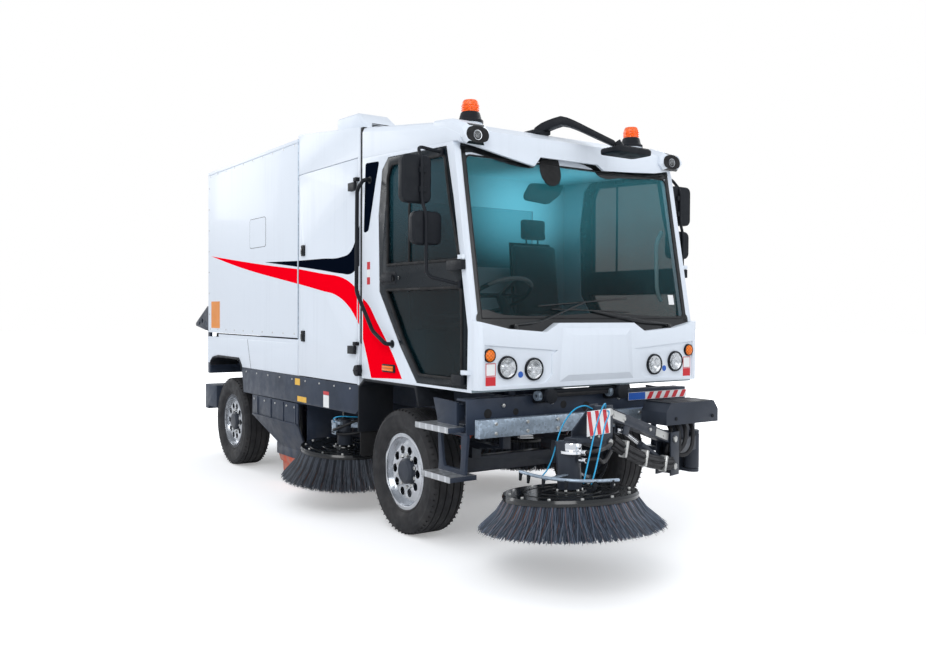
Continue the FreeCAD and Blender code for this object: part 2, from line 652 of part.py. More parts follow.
def front_axle():
    """Forged beam with a yoke and kingpin at each end, and its spring seats."""
    half, yoke = s.axle_beam_half, s.knuckle_half
    pieces = [box("beam", (-45, 45), (-(s.kingpin_y - 52), s.kingpin_y - 52), (axle_z - half, axle_z + half))]
    for side in (-1, 1):
        y = side * s.kingpin_y
        web = span(y - side * 90, y - side * 50)
        lug = span(y - side * 90, y + side * 30)
        pieces += [
            box(f"yoke_web_{side + 1}", (-42, 42), web, (axle_z - yoke - 32, axle_z + yoke + 32)),
            box(f"yoke_top_{side + 1}", (-42, 42), lug, (axle_z + yoke + 5, axle_z + yoke + 32)),
            box(f"yoke_low_{side + 1}", (-42, 42), lug, (axle_z - yoke - 32, axle_z - yoke - 5)),
            rod(f"kingpin_{side + 1}", "z", (0, y, axle_z - s.kingpin_half), s.kingpin_radius, s.kingpin_half * 2),
            spring_seat(f"front_{side + 1}", size(0), side, axle_z + half - 5)]
    return fuse("front_axle_weld", *pieces)


def spring_seat(tag, x, side, low_z):
    """A spring pack between an axle and the rail above it: leaves of falling length on a pad."""
    y = side * (s.rail_half - s.rail_width / 2)
    wide, top, reach = (y - 32, y + 32), low_z + 125, size(420)
    pieces = [box(f"spring_pad_{tag}", (x - 60, x + 60), (y - 40, y + 40), (low_z, low_z + 80))]
    for number in range(4):
        half = reach - number * 92
        leaf_top = top - number * s.leaf_thick
        pieces.append(box(f"spring_leaf_{tag}_{number}", (x - half, x + half), wide,
                          (leaf_top - s.leaf_thick, leaf_top)))
    for end, low, high in (("front", x + reach - 50, x + reach), ("rear", x - reach, x - reach + 50)):
        pieces.append(box(f"spring_eye_{end}_{tag}", (low, high), wide,
                          (top - s.leaf_thick, s.rail_low_z - s.seat_gap)))
    return fuse(f"spring_{tag}", *pieces)


def rear_axle():
    """Driven axle: tube, differential bowl, brake drums, spindles and spring seats."""
    x, drum_in = rear_axle_x, tyre_y - 98
    pieces = [rod("rear_tube", "y", (x, -drum_in, axle_z), s.rear_tube_radius, drum_in * 2),
              rod("diff", "y", (x, -130, axle_z), s.diff_radius, 260),
              rod("propshaft", "x", (x + 100, 0, axle_z + 40), 35, 380)]
    for side in (-1, 1):
        start = drum_in if side > 0 else -(drum_in + 90)
        spindle = drum_in if side > 0 else -(tyre_y + spindle_reach)
        pieces += [
            rod(f"drum_{side + 1}", "y", (x, start, axle_z), s.drum_radius, 90),
            rod(f"rear_spindle_{side + 1}", "y", (x, spindle, axle_z), s.spindle_radius,
                tyre_y + spindle_reach - drum_in),
            spring_seat(f"rear_{side + 1}", x, side, axle_z + s.rear_tube_radius - 10)]
    return fuse("rear_axle_weld", *pieces)


cap_out = s.disc_offset + 45
spindle_reach = cap_out - 26
finish("chassis_frame", chassis_frame())
finish("front_rail", front_rail())
finish("axles", group("axle_set", front_axle(), rear_axle()))


# ---------------------------------------------------------------- wheels

def body_sketch(body, plane, name):
    """A sketch on one of a body's own origin planes."""
    thing = body.newObject("Sketcher::SketchObject", name)
    base = next(item for item in body.Origin.OriginFeatures if item.Role == plane)
    thing.AttachmentSupport = (base, [""])
    thing.MapMode = "FlatFace"
    return thing


def revolve(body, points):
    """The first feature of a body: a profile (radius, along Y) turned about Y."""
    profile = body_sketch(body, "XY_Plane", f"{body.Name}_section")
    draw_outline(profile, points)
    turn = body.newObject("PartDesign::Revolution", f"{body.Name}_turn")
    turn.Profile = profile
    turn.ReferenceAxis = (profile, ["V_Axis"])
    turn.Angle = 360
    doc.recompute()
    return turn


def ring_of_cuts(body, drawing, count):
    """Cut a drawing through a body parallel to its Y axis, repeated in a ring."""
    before = body.Shape.Volume
    pocket = body.newObject("PartDesign::Pocket", f"{body.Name}_pocket")
    pocket.Profile = drawing
    pocket.Type = "ThroughAll"
    pocket.Midplane = True
    doc.recompute()
    ring = body.newObject("PartDesign::PolarPattern", f"{body.Name}_ring")
    ring.Originals = [pocket]
    ring.Axis = (drawing, ["N_Axis"])
    ring.Angle = 360
    ring.setExpression("Occurrences", count.text)
    body.Tip = ring
    doc.recompute()
    if not body.Shape.Volume < before:
        raise RuntimeError(f"{body.Name}: the ring of cuts took nothing away")


def hole_ring(body, radius, hole, count):
    """A ring of round holes through a body."""
    drawing = body_sketch(body, "XZ_Plane", f"{body.Name}_hole")
    drawing.addGeometry(Part.Circle(FreeCAD.Vector(radius.value, 0, 0), Z_AXIS, hole.value), False)
    drawing.addConstraint(Sketcher.Constraint("PointOnObject", 0, 3, -1))
    across = drawing.addConstraint(Sketcher.Constraint("DistanceX", -1, 1, 0, 3, radius.value))
    round_size = drawing.addConstraint(Sketcher.Constraint("Radius", 0, hole.value))
    drawing.setExpression(f"Constraints[{across}]", radius.text)
    drawing.setExpression(f"Constraints[{round_size}]", hole.text)
    ring_of_cuts(body, drawing, count)


def slot_ring(body, inner, outer, width, count):
    """A ring of radial slots through a body, between two radii."""
    drawing = body_sketch(body, "XZ_Plane", f"{body.Name}_slot")
    draw_outline(drawing, [(inner, -width / 2), (outer, -width / 2), (outer, width / 2), (inner, width / 2)])
    ring_of_cuts(body, drawing, count)


def wheel_rim(name):
    """A steel disc wheel: hub and cap, dished disc with hand holes, barrel and flanges."""
    half, wall = s.rim_width / 2, s.rim_wall
    ring, bead = s.hand_hole_circle, s.rim_radius
    disc, dish = s.disc_offset, s.disc_offset + s.disc_dish
    body = doc.addObject("PartDesign::Body", name)
    revolve(body, [
        (0, cap_out), (s.hub_radius - 16, cap_out), (s.hub_radius, cap_out - 14), (s.hub_radius, disc),
        (ring - 24, dish), (ring + 24, dish), (bead - wall, disc - 8), (bead - wall, half),
        (bead + s.rim_lip, half), (bead + s.rim_lip, half - 8), (bead, half - 14),
        (bead, 14 - half), (bead + s.rim_lip, 8 - half), (bead + s.rim_lip, -half),
        (bead - wall, -half), (bead - wall, disc - 8 - wall * 1.6), (ring + 24, dish - wall),
        (ring - 24, dish - wall), (s.hub_radius, disc - wall), (s.hub_radius, cap_out - s.hub_length),
        (s.spindle_radius + s.seat_gap, cap_out - s.hub_length), (s.spindle_radius + s.seat_gap, cap_out - 20),
        (0, cap_out - 20)])
    hole_ring(body, s.hand_hole_circle, s.hand_hole_radius, s.hand_hole_count)
    return body


def wheel_tyre(name):
    """A radial tyre, closed on the rim's bead seats, with its ribs' grooves."""
    half, rim, gap = s.tyre_width / 2, s.rim_width / 2, s.seat_gap
    bead, out = s.rim_radius, s.tyre_radius
    side = [(bead + gap, rim - 14.5), (bead + s.rim_lip + gap, rim - 8.5), (bead + (out - bead) * 0.52, half),
            (out - 20, half - 9), (out, half - 40)]
    grooves = []
    for middle in (50, 0, -50):
        grooves += [(out, middle + 7), (out - 12, middle), (out, middle - 7)]
    body = doc.addObject("PartDesign::Body", name)
    revolve(body, side + grooves + [(radius, -along_y) for radius, along_y in reversed(side)])
    return body


def stand_wheel(thing, x, side):
    """Carry a wheel piece to its axle end, its outer face outwards."""
    thing.Placement = FreeCAD.Placement(FreeCAD.Vector(), FreeCAD.Rotation(Z_AXIS, 0 if side > 0 else 180))
    place(thing, (x, side * tyre_y, axle_z))
    return thing


def knuckle(tag, side):
    """A steering knuckle: eye on the kingpin, flange, brake drum and spindle."""
    kingpin, drum_in = s.kingpin_y, tyre_y - 98
    eye = rod(f"eye_{tag}", "z", (0, kingpin, axle_z - s.knuckle_half), s.kingpin_radius + 18, s.knuckle_half * 2)
    neck = rod(f"neck_{tag}", "y", (0, kingpin + 10, axle_z), s.spindle_radius + 8, drum_in - kingpin)
    drum = rod(f"front_drum_{tag}", "y", (0, drum_in, axle_z), s.drum_radius, 90)
    spindle = rod(f"spindle_{tag}", "y", (0, kingpin + 30, axle_z), s.spindle_radius,
                  tyre_y + spindle_reach - kingpin - 30)
    bore = rod(f"bore_{tag}", "z", (0, kingpin, axle_z - s.kingpin_half), s.kingpin_radius + s.seat_gap,
               s.kingpin_half * 2)
    whole = cut(f"knuckle_{tag}", fuse(f"knuckle_weld_{tag}", eye, neck, drum, spindle), bore)
    return whole if side > 0 else mirror(f"knuckle_mirror_{tag}", whole)


for tag, x, side in (("front_right", size(0), -1), ("front_left", size(0), 1),
                     ("rear_right", rear_axle_x, -1), ("rear_left", rear_axle_x, 1)):
    finish(f"rim_{tag}", stand_wheel(wheel_rim(f"rim_body_{tag}"), x, side))
    finish(f"tyre_{tag}", stand_wheel(wheel_tyre(f"tyre_body_{tag}"), x, side))
finish("knuckle_right", knuckle("right", -1))
finish("knuckle_left", knuckle("left", 1))


# ---------------------------------------------------------------- cab

screen_slope = (s.screen_foot_x - s.screen_head_x) / (s.screen_head_z - s.screen_foot_z)
inner_half = s.body_half - s.panel


def screen_x(z):
    """The windscreen plane's x at a height."""
    return s.screen_foot_x - screen_slope * (size(z) - s.screen_foot_z)


CAB_SIDE = [(s.cab_rear_x, s.cab_floor_z), (s.screen_foot_x, s.cab_floor_z), (s.screen_foot_x, s.screen_foot_z),
            (s.screen_head_x, s.screen_head_z), (s.eaves_front_x, s.eaves_front_z), (s.cab_rear_x, s.eaves_rear_z)]
DOOR = [(s.door_heel_x, s.door_sill_z), (s.door_sill_x, s.door_sill_z), (s.door_nose_x, s.door_nose_z),
        (s.door_brow_x, s.door_brow_z), (s.door_head_x, s.door_head_z), (s.door_crown_x, s.door_crown_z),
        (s.door_shoulder_x, s.door_shoulder_z), (s.door_back_x, s.door_back_z), (s.door_hip_x, s.door_hip_z),
        (s.door_knee_x, s.door_knee_z)]
SCREEN_LOW, SCREEN_HIGH = s.screen_foot_z + 22, s.screen_head_z - 18
REAR_WINDOW = (600, 1900, 2380)


def cab_shell():
    """Hollow cab: floor, rear wall, sides with door openings, pillars, windscreen opening, seat boxes."""
    outer = outline("cab_outline", "xz", CAB_SIDE, -s.body_half)
    hollow_line = outline("cab_hollow_outline", "xz", CAB_SIDE, -inner_half)
    hollow = extrude("cab_hollow", "xz", inset("cab_hollow_inset", hollow_line, s.panel), inner_half * 2)
    doorway = extrude("doorway", "xz", outline("doorway_outline", "xz", DOOR, -s.body_half - 1), s.panel + 9)
    window = box("rear_window_hole", (s.cab_rear_x - 1, s.cab_rear_x + s.panel + 1),
                 (-REAR_WINDOW[0], REAR_WINDOW[0]), (REAR_WINDOW[1], REAR_WINDOW[2]))
    screen = box("screen_hole", (s.screen_head_x - 110, s.screen_foot_x + 10), (-s.screen_half, s.screen_half),
                 (SCREEN_LOW, SCREEN_HIGH))
    shell = cut("cab_open", extrude("cab_solid", "xz", outer, s.body_half * 2), hollow, doorway,
                mirror("doorway_left", doorway), window, screen)
    pieces = [shell]
    for side in (-1, 1):
        y = side * s.seat_y
        pieces.append(box(f"seat_box_{side + 1}", (s.back_front_x + 40, s.cushion_front_x - 60),
                          (y - s.seat_half * 0.7, y + s.seat_half * 0.7),
                          (s.cab_floor_z + s.panel - 1, s.cushion_low_z - s.seat_gap)))
        for z, pad in ((s.cab_hinge_low_z, (s.cab_hinge_x + 30, s.screen_foot_x - 6)),
                       (s.cab_hinge_high_z, (s.cab_hinge_x - 44, s.cab_hinge_x - 4))):
            pieces.append(hinge_parent(f"cab_hinge_{side + 1}_{int(z.value)}", s.cab_hinge_x, side, z, pad))
    return fuse("cab_weld", *pieces)


def hinge_parent(name, x, side, z, pad):
    """The fixed half of a door hinge: a pad on the pillar, an upper eye and the pin below it."""
    y = side * (s.body_half + s.hinge_out)
    low = z + s.hinge_height / 2 + 5
    ys = span(side * (s.body_half - 2), y + side * s.hinge_eye)
    outer = span(side * (s.body_half + 5), y + side * s.hinge_eye)
    ends = span(pad[0], pad[1], x)
    return fuse(name, box(f"{name}_pad", pad, ys, (low, low + 26)),
                box(f"{name}_strap", (ends[0], ends[-1]), outer, (low, low + 26)),
                rod(f"{name}_eye", "z", (x, y, low), s.hinge_eye, 26),
                rod(f"{name}_pin", "z", (x, y, z - s.hinge_height / 2), s.hinge_pin, s.hinge_height + 10))


def hinge_child(name, x, side, z, pad):
    """The moving half of a door hinge: a pad on the door, a strap and an eye; returns it and its bore."""
    y = side * (s.body_half + s.hinge_out)
    low = z - s.hinge_height / 2
    ys = span(side * (s.body_half - 2), y + side * s.hinge_eye)
    outer = span(side * (s.body_half + 5), y + side * s.hinge_eye)
    leaf = fuse(name, box(f"{name}_pad", pad, ys, (low, low + s.hinge_height)),
                box(f"{name}_strap", (pad[1] - 1, x), outer, (low, low + s.hinge_height)),
                rod(f"{name}_eye", "z", (x, y, low), s.hinge_eye, s.hinge_height))
    bore = rod(f"{name}_bore", "z", (x, y, low - 5), s.hinge_pin + s.seat_gap, s.hinge_height + 10)
    return leaf, bore


def door_windows(level, depth, tag, shrink=None):
    """The cab door's upper and lower window shapes as solids, optionally drawn smaller all round."""
    width = s.door_frame
    upper = [(s.door_back_x + width * 2.4, s.waist_high_z), (s.door_nose_x - width * 1.55, s.waist_high_z),
             (s.door_brow_x - width * 0.85, s.door_brow_z), (s.door_head_x - width * 0.35, s.door_head_z - width),
             (s.door_crown_x + width * 0.9, s.door_crown_z - width),
             (s.door_shoulder_x + width * 1.5, s.door_shoulder_z - width)]
    lower = [(s.door_hip_x + width * 1.8, s.waist_low_z), (s.door_nose_x - width * 1.2, s.waist_low_z),
             (s.door_sill_x - width, s.door_nose_z), (s.door_sill_x - width, s.door_sill_z + width),
             (s.door_heel_x + width * 0.6, s.door_sill_z + width),
             (s.door_knee_x + width * 1.05, s.door_knee_z + width * 0.6)]
    panes = []
    for part_name, points in (("upper", upper), ("lower", lower)):
        drawing = outline(f"{part_name}_{tag}_outline", "xz", points, level)
        if shrink is not None:
            drawing = inset(f"{part_name}_{tag}_inset", drawing, shrink)
        panes.append(extrude(f"{part_name}_{tag}", "xz", drawing, depth))
    return panes


def cab_door(side):
    """A cab door: frame cut for its two windows, waist rail and hinge leaves."""
    tag = "left" if side > 0 else "right"
    drawing = inset(f"door_{tag}_inset", outline(f"door_{tag}_outline", "xz", DOOR, -s.body_half), s.part_gap)
    frame = extrude(f"door_{tag}_slab", "xz", drawing, s.panel)
    leaves, bores = [], []
    for z, back in ((s.cab_hinge_low_z, 64), (s.cab_hinge_high_z, 122)):
        leaf, bore = hinge_child(f"leaf_{tag}_{int(z.value)}", s.cab_hinge_x, -1, z,
                                 (s.cab_hinge_x - back - 46, s.cab_hinge_x - back + 46))
        leaves.append(leaf)
        bores.append(bore)
    slab = cut(f"door_{tag}_frame", frame, *door_windows(-s.body_half - 1, s.panel + 2, f"hole_{tag}"))
    handle = box(f"door_{tag}_handle", (s.door_hip_x + 60, s.door_hip_x + 210),
                 (-(s.body_half + 22), -(s.body_half - 2)), (s.waist_low_z + 60, s.waist_low_z + 105))
    whole = cut(f"door_{tag}_open", fuse(f"door_{tag}_weld", slab, handle, *leaves), *bores)
    return whole if side < 0 else mirror("door_left_mirror", whole)


def door_glass(side):
    """The two panes of a cab door, seated in its frame."""
    tag = "left" if side > 0 else "right"
    panes = door_windows(-s.body_half + s.panel / 2 - s.glass / 2, s.glass, f"pane_{tag}", s.seat_gap)
    whole = group(f"panes_{tag}", *panes)
    return whole if side < 0 else mirror("panes_left_mirror", whole)


def cab_glass():
    """Windscreen and rear window."""
    gap, set_in = s.seat_gap, size(4)
    low, high = SCREEN_LOW + gap, SCREEN_HIGH - gap
    screen = prism("windscreen", "xz", [
        (screen_x(low) - set_in - s.glass, low), (screen_x(low) - set_in, low),
        (screen_x(high) - set_in, high), (screen_x(high) - set_in - s.glass, high)],
        -(s.screen_half - gap), s.screen_half - gap)
    rear_x = s.cab_rear_x + s.panel / 2
    rear = box("rear_window", (rear_x, rear_x + s.glass), (-(REAR_WINDOW[0] - gap), REAR_WINDOW[0] - gap),
               (REAR_WINDOW[1] + gap, REAR_WINDOW[2] - gap))
    return group("cab_panes", screen, rear)


def roof_top_z(x):
    """Height of the roof's crown at x, behind its brow."""
    fall = (s.roof_rear_z - s.roof_brow_z) / (s.roof_brow_x - s.cab_rear_x)
    return s.roof_brow_z + fall * (s.roof_brow_x - x)


def eaves_z(x):
    """Height of the joint between the cab and its roof at x."""
    fall = (s.eaves_rear_z - s.eaves_front_z) / (s.eaves_front_x - s.cab_rear_x)
    return s.eaves_front_z + fall * (s.eaves_front_x - x)


def roof_section(low, top):
    """The roof's cross-section (y, z) with its side edges chamfered."""
    edge = s.roof_edge
    right = [(-s.body_half, low), (-s.body_half, top - edge), (-(s.body_half - edge * 0.3), top - edge * 0.3),
             (-(s.body_half - edge), top)]
    return right + [(-y, z) for y, z in reversed(right)]


def pod_section(inner, low, top, edge):
    """A lamp pod's cross-section (y, z) on the right, from the body's side to its inner edge."""
    return octagon(-(s.body_half - 2), -inner, low, top, edge)


def pod_lamp_place(side):
    """Centre (y, z) of a roof lamp in its pod."""
    return side * (s.body_half - s.pod_width / 2 - 4), s.eaves_front_z + 34


def cab_roof():
    """Moulded roof cap: sloping crown, lobed visor over the windscreen and a swept lamp pod at each corner."""
    lift, nose = s.seat_gap, s.roof_nose_x
    nose_fall = (s.roof_brow_z - s.roof_nose_z) / (nose - s.roof_brow_x)
    crown = loft("roof_crown", "yz", [
        (s.cab_rear_x, roof_section(s.eaves_rear_z + lift, s.roof_rear_z)),
        (s.roof_brow_x, roof_section(eaves_z(s.roof_brow_x) + lift, s.roof_brow_z)),
        (s.eaves_front_x, roof_section(s.eaves_front_z + lift, s.roof_nose_z + nose_fall * (nose - s.eaves_front_x))),
        (nose, roof_section(s.eaves_front_z - 8, s.roof_nose_z))])
    # y across the front, drop of the visor's edge below the eaves
    lobes = [(-(s.body_half - 4), 12), (-854, 28), (-646, 67), (-454, 99), (-380, 110), (-330, 46), (180, 46),
             (240, 82), (510, 68), (749, 52), (s.body_half - 4, 12)]
    edge = [(y, s.eaves_front_z - drop) for y, drop in lobes]
    visor = prism("roof_visor", "yz", edge + [(s.body_half - 4, s.eaves_front_z + 20),
                                              (-(s.body_half - 4), s.eaves_front_z + 20)],
                  nose - s.visor_depth, nose)
    inner = s.body_half - s.pod_width
    pod = loft("roof_pod", "yz", [
        (s.roof_brow_x - 150, pod_section(inner + 110, s.roof_brow_z - 60, s.roof_brow_z + 24, size(14))),
        (s.roof_brow_x + 40, pod_section(inner + 20, s.eaves_front_z + 30, s.roof_brow_z + 8, size(24))),
        (nose + s.pod_reach - 22, pod_section(inner, s.eaves_front_z - 26, s.roof_nose_z + 26, size(34))),
        (nose + s.pod_reach, pod_section(inner + 16, s.eaves_front_z - 12, s.roof_nose_z + 8, size(40)))])
    bosses = [rod(f"beacon_boss_{side + 1}", "z", (s.beacon_x, side * s.beacon_y, s.roof_brow_z - 40), 80,
                  beacon_foot_z() - s.roof_brow_z + 40) for side in (-1, 1)]
    sockets = []
    for side in (-1, 1):
        y, z = pod_lamp_place(side)
        sockets.append(rod(f"pod_socket_{side + 1}", "x", (nose + s.pod_reach - s.lamp_depth, y, z),
                           s.pod_lamp_radius + s.seat_gap, s.lamp_depth + 5))
    return cut("roof_open", fuse("roof_moulding", crown, visor, pod, mirror("roof_pod_left", pod), *bosses),
               *sockets)


def apron_outline(half, low_z):
    """The apron's front outline: a shallow dip between its raised centre and its corners."""
    crest, dip = s.screen_foot_z - 8, s.screen_foot_z - 66
    right = [(-half, low_z), (-half, s.screen_foot_z + 4), (-(half - 235), dip + 22), (-(s.apron_bulge_half + 105), dip),
             (-s.apron_bulge_half, crest)]
    return right + [(-y, z) for y, z in reversed(right)]


def front_apron():
    """Front apron: rounded corners, sculpted centre, set-back lamp panels and sockets for six lamps."""
    back, face, half = s.screen_foot_x + s.seat_gap, s.apron_face_x, s.apron_bulge_half
    corner = s.apron_corner
    slab = prism("apron_slab", "yz", apron_outline(s.body_half, s.apron_low_z), back, face)
    rounding = [(back - 1, -s.body_half), (face - corner, -s.body_half),
                (face - corner * 0.3, -(s.body_half - corner * 0.3)), (face, -(s.body_half - corner))]
    plan = prism("apron_plan", "xy", rounding + [(x, -y) for x, y in reversed(rounding)], s.apron_low_z - 1,
                 s.screen_foot_z + 10)
    bulge = loft("apron_bulge", "yz", [
        (face - 1, [(-half, s.apron_low_z + 30), (half, s.apron_low_z + 30), (half - 30, s.screen_foot_z - 40),
                    (30 - half, s.screen_foot_z - 40)]),
        (face + s.apron_bulge, [(60 - half, s.apron_low_z + 75), (half - 60, s.apron_low_z + 75),
                                (half - 96, s.screen_foot_z - 88), (96 - half, s.screen_foot_z - 88)])])
    panel = prism("lamp_panel", "yz", [
        (-(s.body_half - 52), 1338), (-(half + 12), 1296), (-(half + 58), 1272), (-(half + 58), 1143),
        (-(half + 110), 1090), (-(s.body_half - 52), 1078)], face - s.apron_recess, face + 1)
    sockets = [rod(f"socket_{number}", "x", (face - s.lamp_depth, y, z), radius + s.seat_gap,
                   s.lamp_depth + 5) for number, (y, z, radius) in enumerate(lamp_places())]
    shaped = fuse("apron_weld", common("apron_shape", slab, plan), bulge)
    return cut("apron_open", shaped, panel, mirror("lamp_panel_left", panel), *sockets)


def lamp_places():
    """Centre and radius of each front lamp."""
    right = [(-s.lamp_outer_y, s.lamp_outer_z, s.lamp_radius), (-s.lamp_inner_y, s.lamp_inner_z, s.lamp_radius),
             (-s.signal_y, s.signal_z, s.signal_radius)]
    return right + [(-y, z, radius) for y, z, radius in right]


def lamps():
    """Headlamps and indicators in the apron's sockets, roof beacons and rear lamp clusters."""
    back = s.apron_face_x - s.lamp_depth + s.seat_gap
    pieces = [lathe(f"lamp_{number}", "x", [
        (0, 0), (radius, 0), (radius, s.lamp_depth + 2), (radius * 0.8, s.lamp_depth + 9), (0, s.lamp_depth + 14)],
        (back, y, z)) for number, (y, z, radius) in enumerate(lamp_places())]
    roof_back = s.roof_nose_x + s.pod_reach - s.lamp_depth + s.seat_gap
    for side in (-1, 1):
        y, z = pod_lamp_place(side)
        radius = s.pod_lamp_radius
        pieces.append(lathe(f"roof_lamp_{side + 1}", "x", [
            (0, 0), (radius, 0), (radius, s.lamp_depth - 8), (radius * 0.8, s.lamp_depth - 4),
            (0, s.lamp_depth - 1)], (roof_back, y, z)))
        pieces.append(lathe(f"beacon_{side + 1}", "z", [
            (0, 0), (75, 0), (75, 14), (60, 22), (58, 50), (66, 56), (66, 118), (50, 140), (0, 146)],
            (s.beacon_x, side * s.beacon_y, beacon_foot_z() + s.seat_gap)))
        ys = span(side * 750, side * 930)
        rear_x = s.frame_rear_x - 35 - s.seat_gap
        pieces.append(box(f"rear_lamp_{side + 1}", (rear_x - 28, rear_x), ys, (560, 690)))
    return group("lamp_set", *pieces)


def beacon_foot_z():
    """Top of the beacons' bosses on the sloping roof."""
    fall = (s.roof_rear_z - s.roof_brow_z) / (s.roof_brow_x - s.cab_rear_x)
    return s.roof_brow_z + fall * (s.roof_brow_x - s.beacon_x) + 12


def dashboard():
    """Dashboard with the steering column and wheel at the right."""
    floor = s.cab_floor_z + s.panel + s.seat_gap
    front = s.screen_foot_x - s.panel - s.seat_gap
    board = prism("dash_board", "xz", [
        (front, floor), (front, s.screen_foot_z - 14), (front - 120, s.screen_foot_z + 16), (520, 1455),
        (480, 1340), (590, 1240), (590, floor)], -(inner_half - 10), inner_half - 10)
    wheel = doc.addObject("Part::Torus", "hand_wheel")
    bind(wheel, "Radius1", s.wheel_hand_radius)
    wheel.Radius2 = 15
    spokes = [box(f"spoke_{number}", low, wide, (-8, 8)) for number, (low, wide) in enumerate((
        ((-10, s.wheel_hand_radius), (-16, 16)), ((-16, 16), (-s.wheel_hand_radius, s.wheel_hand_radius))))]
    column = rod("steering_column", "z", (0, 0, -240), 26, 250)
    wheel_set = turned("steering_set", fuse("steering_weld", wheel, column, *spokes), Y_AXIS, size(-30),
                       (470, -s.seat_y, 1650))
    return fuse("dash_weld", board, wheel_set)


def seat(side):
    """One seat: cushion, reclined back and headrest as one closed soft solid."""
    y = side * s.seat_y
    low, back = s.cushion_low_z, s.back_front_x
    cushion = prism(f"cushion_{side + 1}", "xz", [
        (back - 20, low), (s.cushion_front_x, low), (s.cushion_front_x, s.cushion_top_z - 20), (back, s.cushion_top_z)],
        y - s.seat_half, y + s.seat_half)
    rest = prism(f"seat_back_{side + 1}", "xz", [
        (back - s.back_thick, low + 30), (back + 5, low + 30), (back + 5, s.cushion_top_z), (back - 90, s.back_top_z),
        (back - 90 - s.back_thick * 0.7, s.back_top_z)], y - s.seat_half * 0.95, y + s.seat_half * 0.95)
    head = prism(f"headrest_{side + 1}", "xz", [
        (back - 160, s.back_top_z - 5), (back - 95, s.back_top_z - 5), (back - 105, s.headrest_top_z),
        (back - 175, s.headrest_top_z)], y - 130, y + 130)
    return fuse(f"seat_weld_{side + 1}", cushion, rest, head)


finish("cab_shell", cab_shell())
finish("cab_glass", cab_glass())
finish("cab_roof", cab_roof())
finish("front_apron", front_apron())
finish("lamps", lamps())
finish("dashboard", dashboard())
finish("driver_seat", seat(-1))
finish("passenger_seat", seat(1))
finish("door_right", cab_door(-1))
finish("door_left", cab_door(1))
finish("door_glass_right", door_glass(-1))
finish("door_glass_left", door_glass(1))


# ---------------------------------------------------------------- engine bay and lower body

bay_chamfer = size(17)
bay_roof_fall = (s.bay_top_rear_z - s.bay_top_front_z) / (s.bay_front_x - s.bay_rear_x - bay_chamfer)


def bay_roof_z(x):
    """Height of the engine bay's sloping roof at an x."""
    return s.bay_top_front_z + bay_roof_fall * (s.bay_front_x - size(x))


def engine_bay():
    """Engine bay shell: sloping roof, two bulkheads and floor, open where the doors close it."""
    rear, front, wall = s.bay_rear_x, s.bay_front_x, s.panel * 0.75
    outer = prism("bay_solid", "xz", [
        (rear, s.deck_z), (front, s.deck_z), (front, s.bay_top_front_z), (rear + bay_chamfer, s.bay_top_rear_z),
        (rear, s.bay_top_rear_z - 12)], -s.body_half, s.body_half)
    hollow = prism("bay_hollow", "xz", [
        (rear + wall, s.deck_z + wall), (front - wall, s.deck_z + wall), (front - wall, s.bay_top_front_z - s.panel),
        (rear + wall, s.bay_top_rear_z - s.panel - 12)], -(s.body_half - s.panel - 5), s.body_half - s.panel - 5)
    doorway = box("bay_doorway", (s.bay_door_rear_x - s.part_gap, s.bay_door_front_x + s.part_gap),
                  (-(s.body_half + 1), -(s.body_half - s.panel - 6)), (s.deck_z - 1, s.bay_seam_z + s.part_gap))
    shell = cut("bay_open", outer, hollow, doorway, mirror("bay_doorway_left", doorway))
    hinges = [hinge_parent(f"bay_hinge_{side + 1}_{int(z.value)}", s.bay_hinge_x, side, z,
                           (s.bay_door_front_x + s.part_gap + 1, s.bay_front_x - 1))
              for side in (-1, 1) for z in (s.bay_hinge_low_z, s.bay_hinge_high_z)]
    return fuse("bay_weld", shell, *hinges)


def bay_door(side):
    """An engine bay door with its hinge leaves and two latches."""
    tag = "left" if side > 0 else "right"
    slab = box(f"bay_slab_{tag}", (s.bay_door_rear_x, s.bay_door_front_x), (-s.body_half, -(s.body_half - s.panel)),
               (s.deck_z + 6, s.bay_seam_z))
    leaves, bores = [], []
    for z in (s.bay_hinge_low_z, s.bay_hinge_high_z):
        leaf, bore = hinge_child(f"bay_leaf_{tag}_{int(z.value)}", s.bay_hinge_x, -1, z,
                                 (s.bay_hinge_x - 90, s.bay_hinge_x - 22))
        leaves.append(leaf)
        bores.append(bore)
    latches = [box(f"latch_{tag}_{z}", (s.bay_door_rear_x + 75, s.bay_door_rear_x + 130),
                   (-(s.body_half + 14), -(s.body_half - 2)), (z - 45, z + 45)) for z in (1330, 2042)]
    whole = cut(f"bay_door_{tag}_open", fuse(f"bay_door_{tag}_weld", slab, *leaves, *latches), *bores)
    return whole if side < 0 else mirror("bay_door_left_mirror", whole)


def engine_block():
    """The engine as one plain block on the bay's floor."""
    return box("engine_box", (s.bay_rear_x + 180, s.bay_front_x - 180), (-360, 360),
               (s.deck_z + s.panel * 0.75 + s.seat_gap, 1780))


def roof_intake():
    """Air intake on the engine bay's roof."""
    rear, front = size(-1240), size(-720)
    return prism("intake", "xz", [
        (rear, bay_roof_z(rear) + s.seat_gap), (front, bay_roof_z(front) + s.seat_gap),
        (front, bay_roof_z(front) + 48),
        (front - 180, bay_roof_z(front - 180) + 145), (rear, bay_roof_z(rear) + 117)], -850, -560)


def arch_points(spread):
    """The rear wheel arch's outline, grown all round by a spread."""
    return [(s.arch_rear_x - spread, s.deck_z - 25), (s.arch_rear_x - spread, s.deck_z + 20),
            (s.arch_rear_x + 75 - spread, s.arch_top_z - 22 + spread), (s.arch_rear_x + 231, s.arch_top_z + spread),
            (s.arch_front_x - 75, s.arch_top_z + spread), (s.arch_front_x + spread, s.deck_z + 20),
            (s.arch_front_x + spread, s.deck_z - 25)]


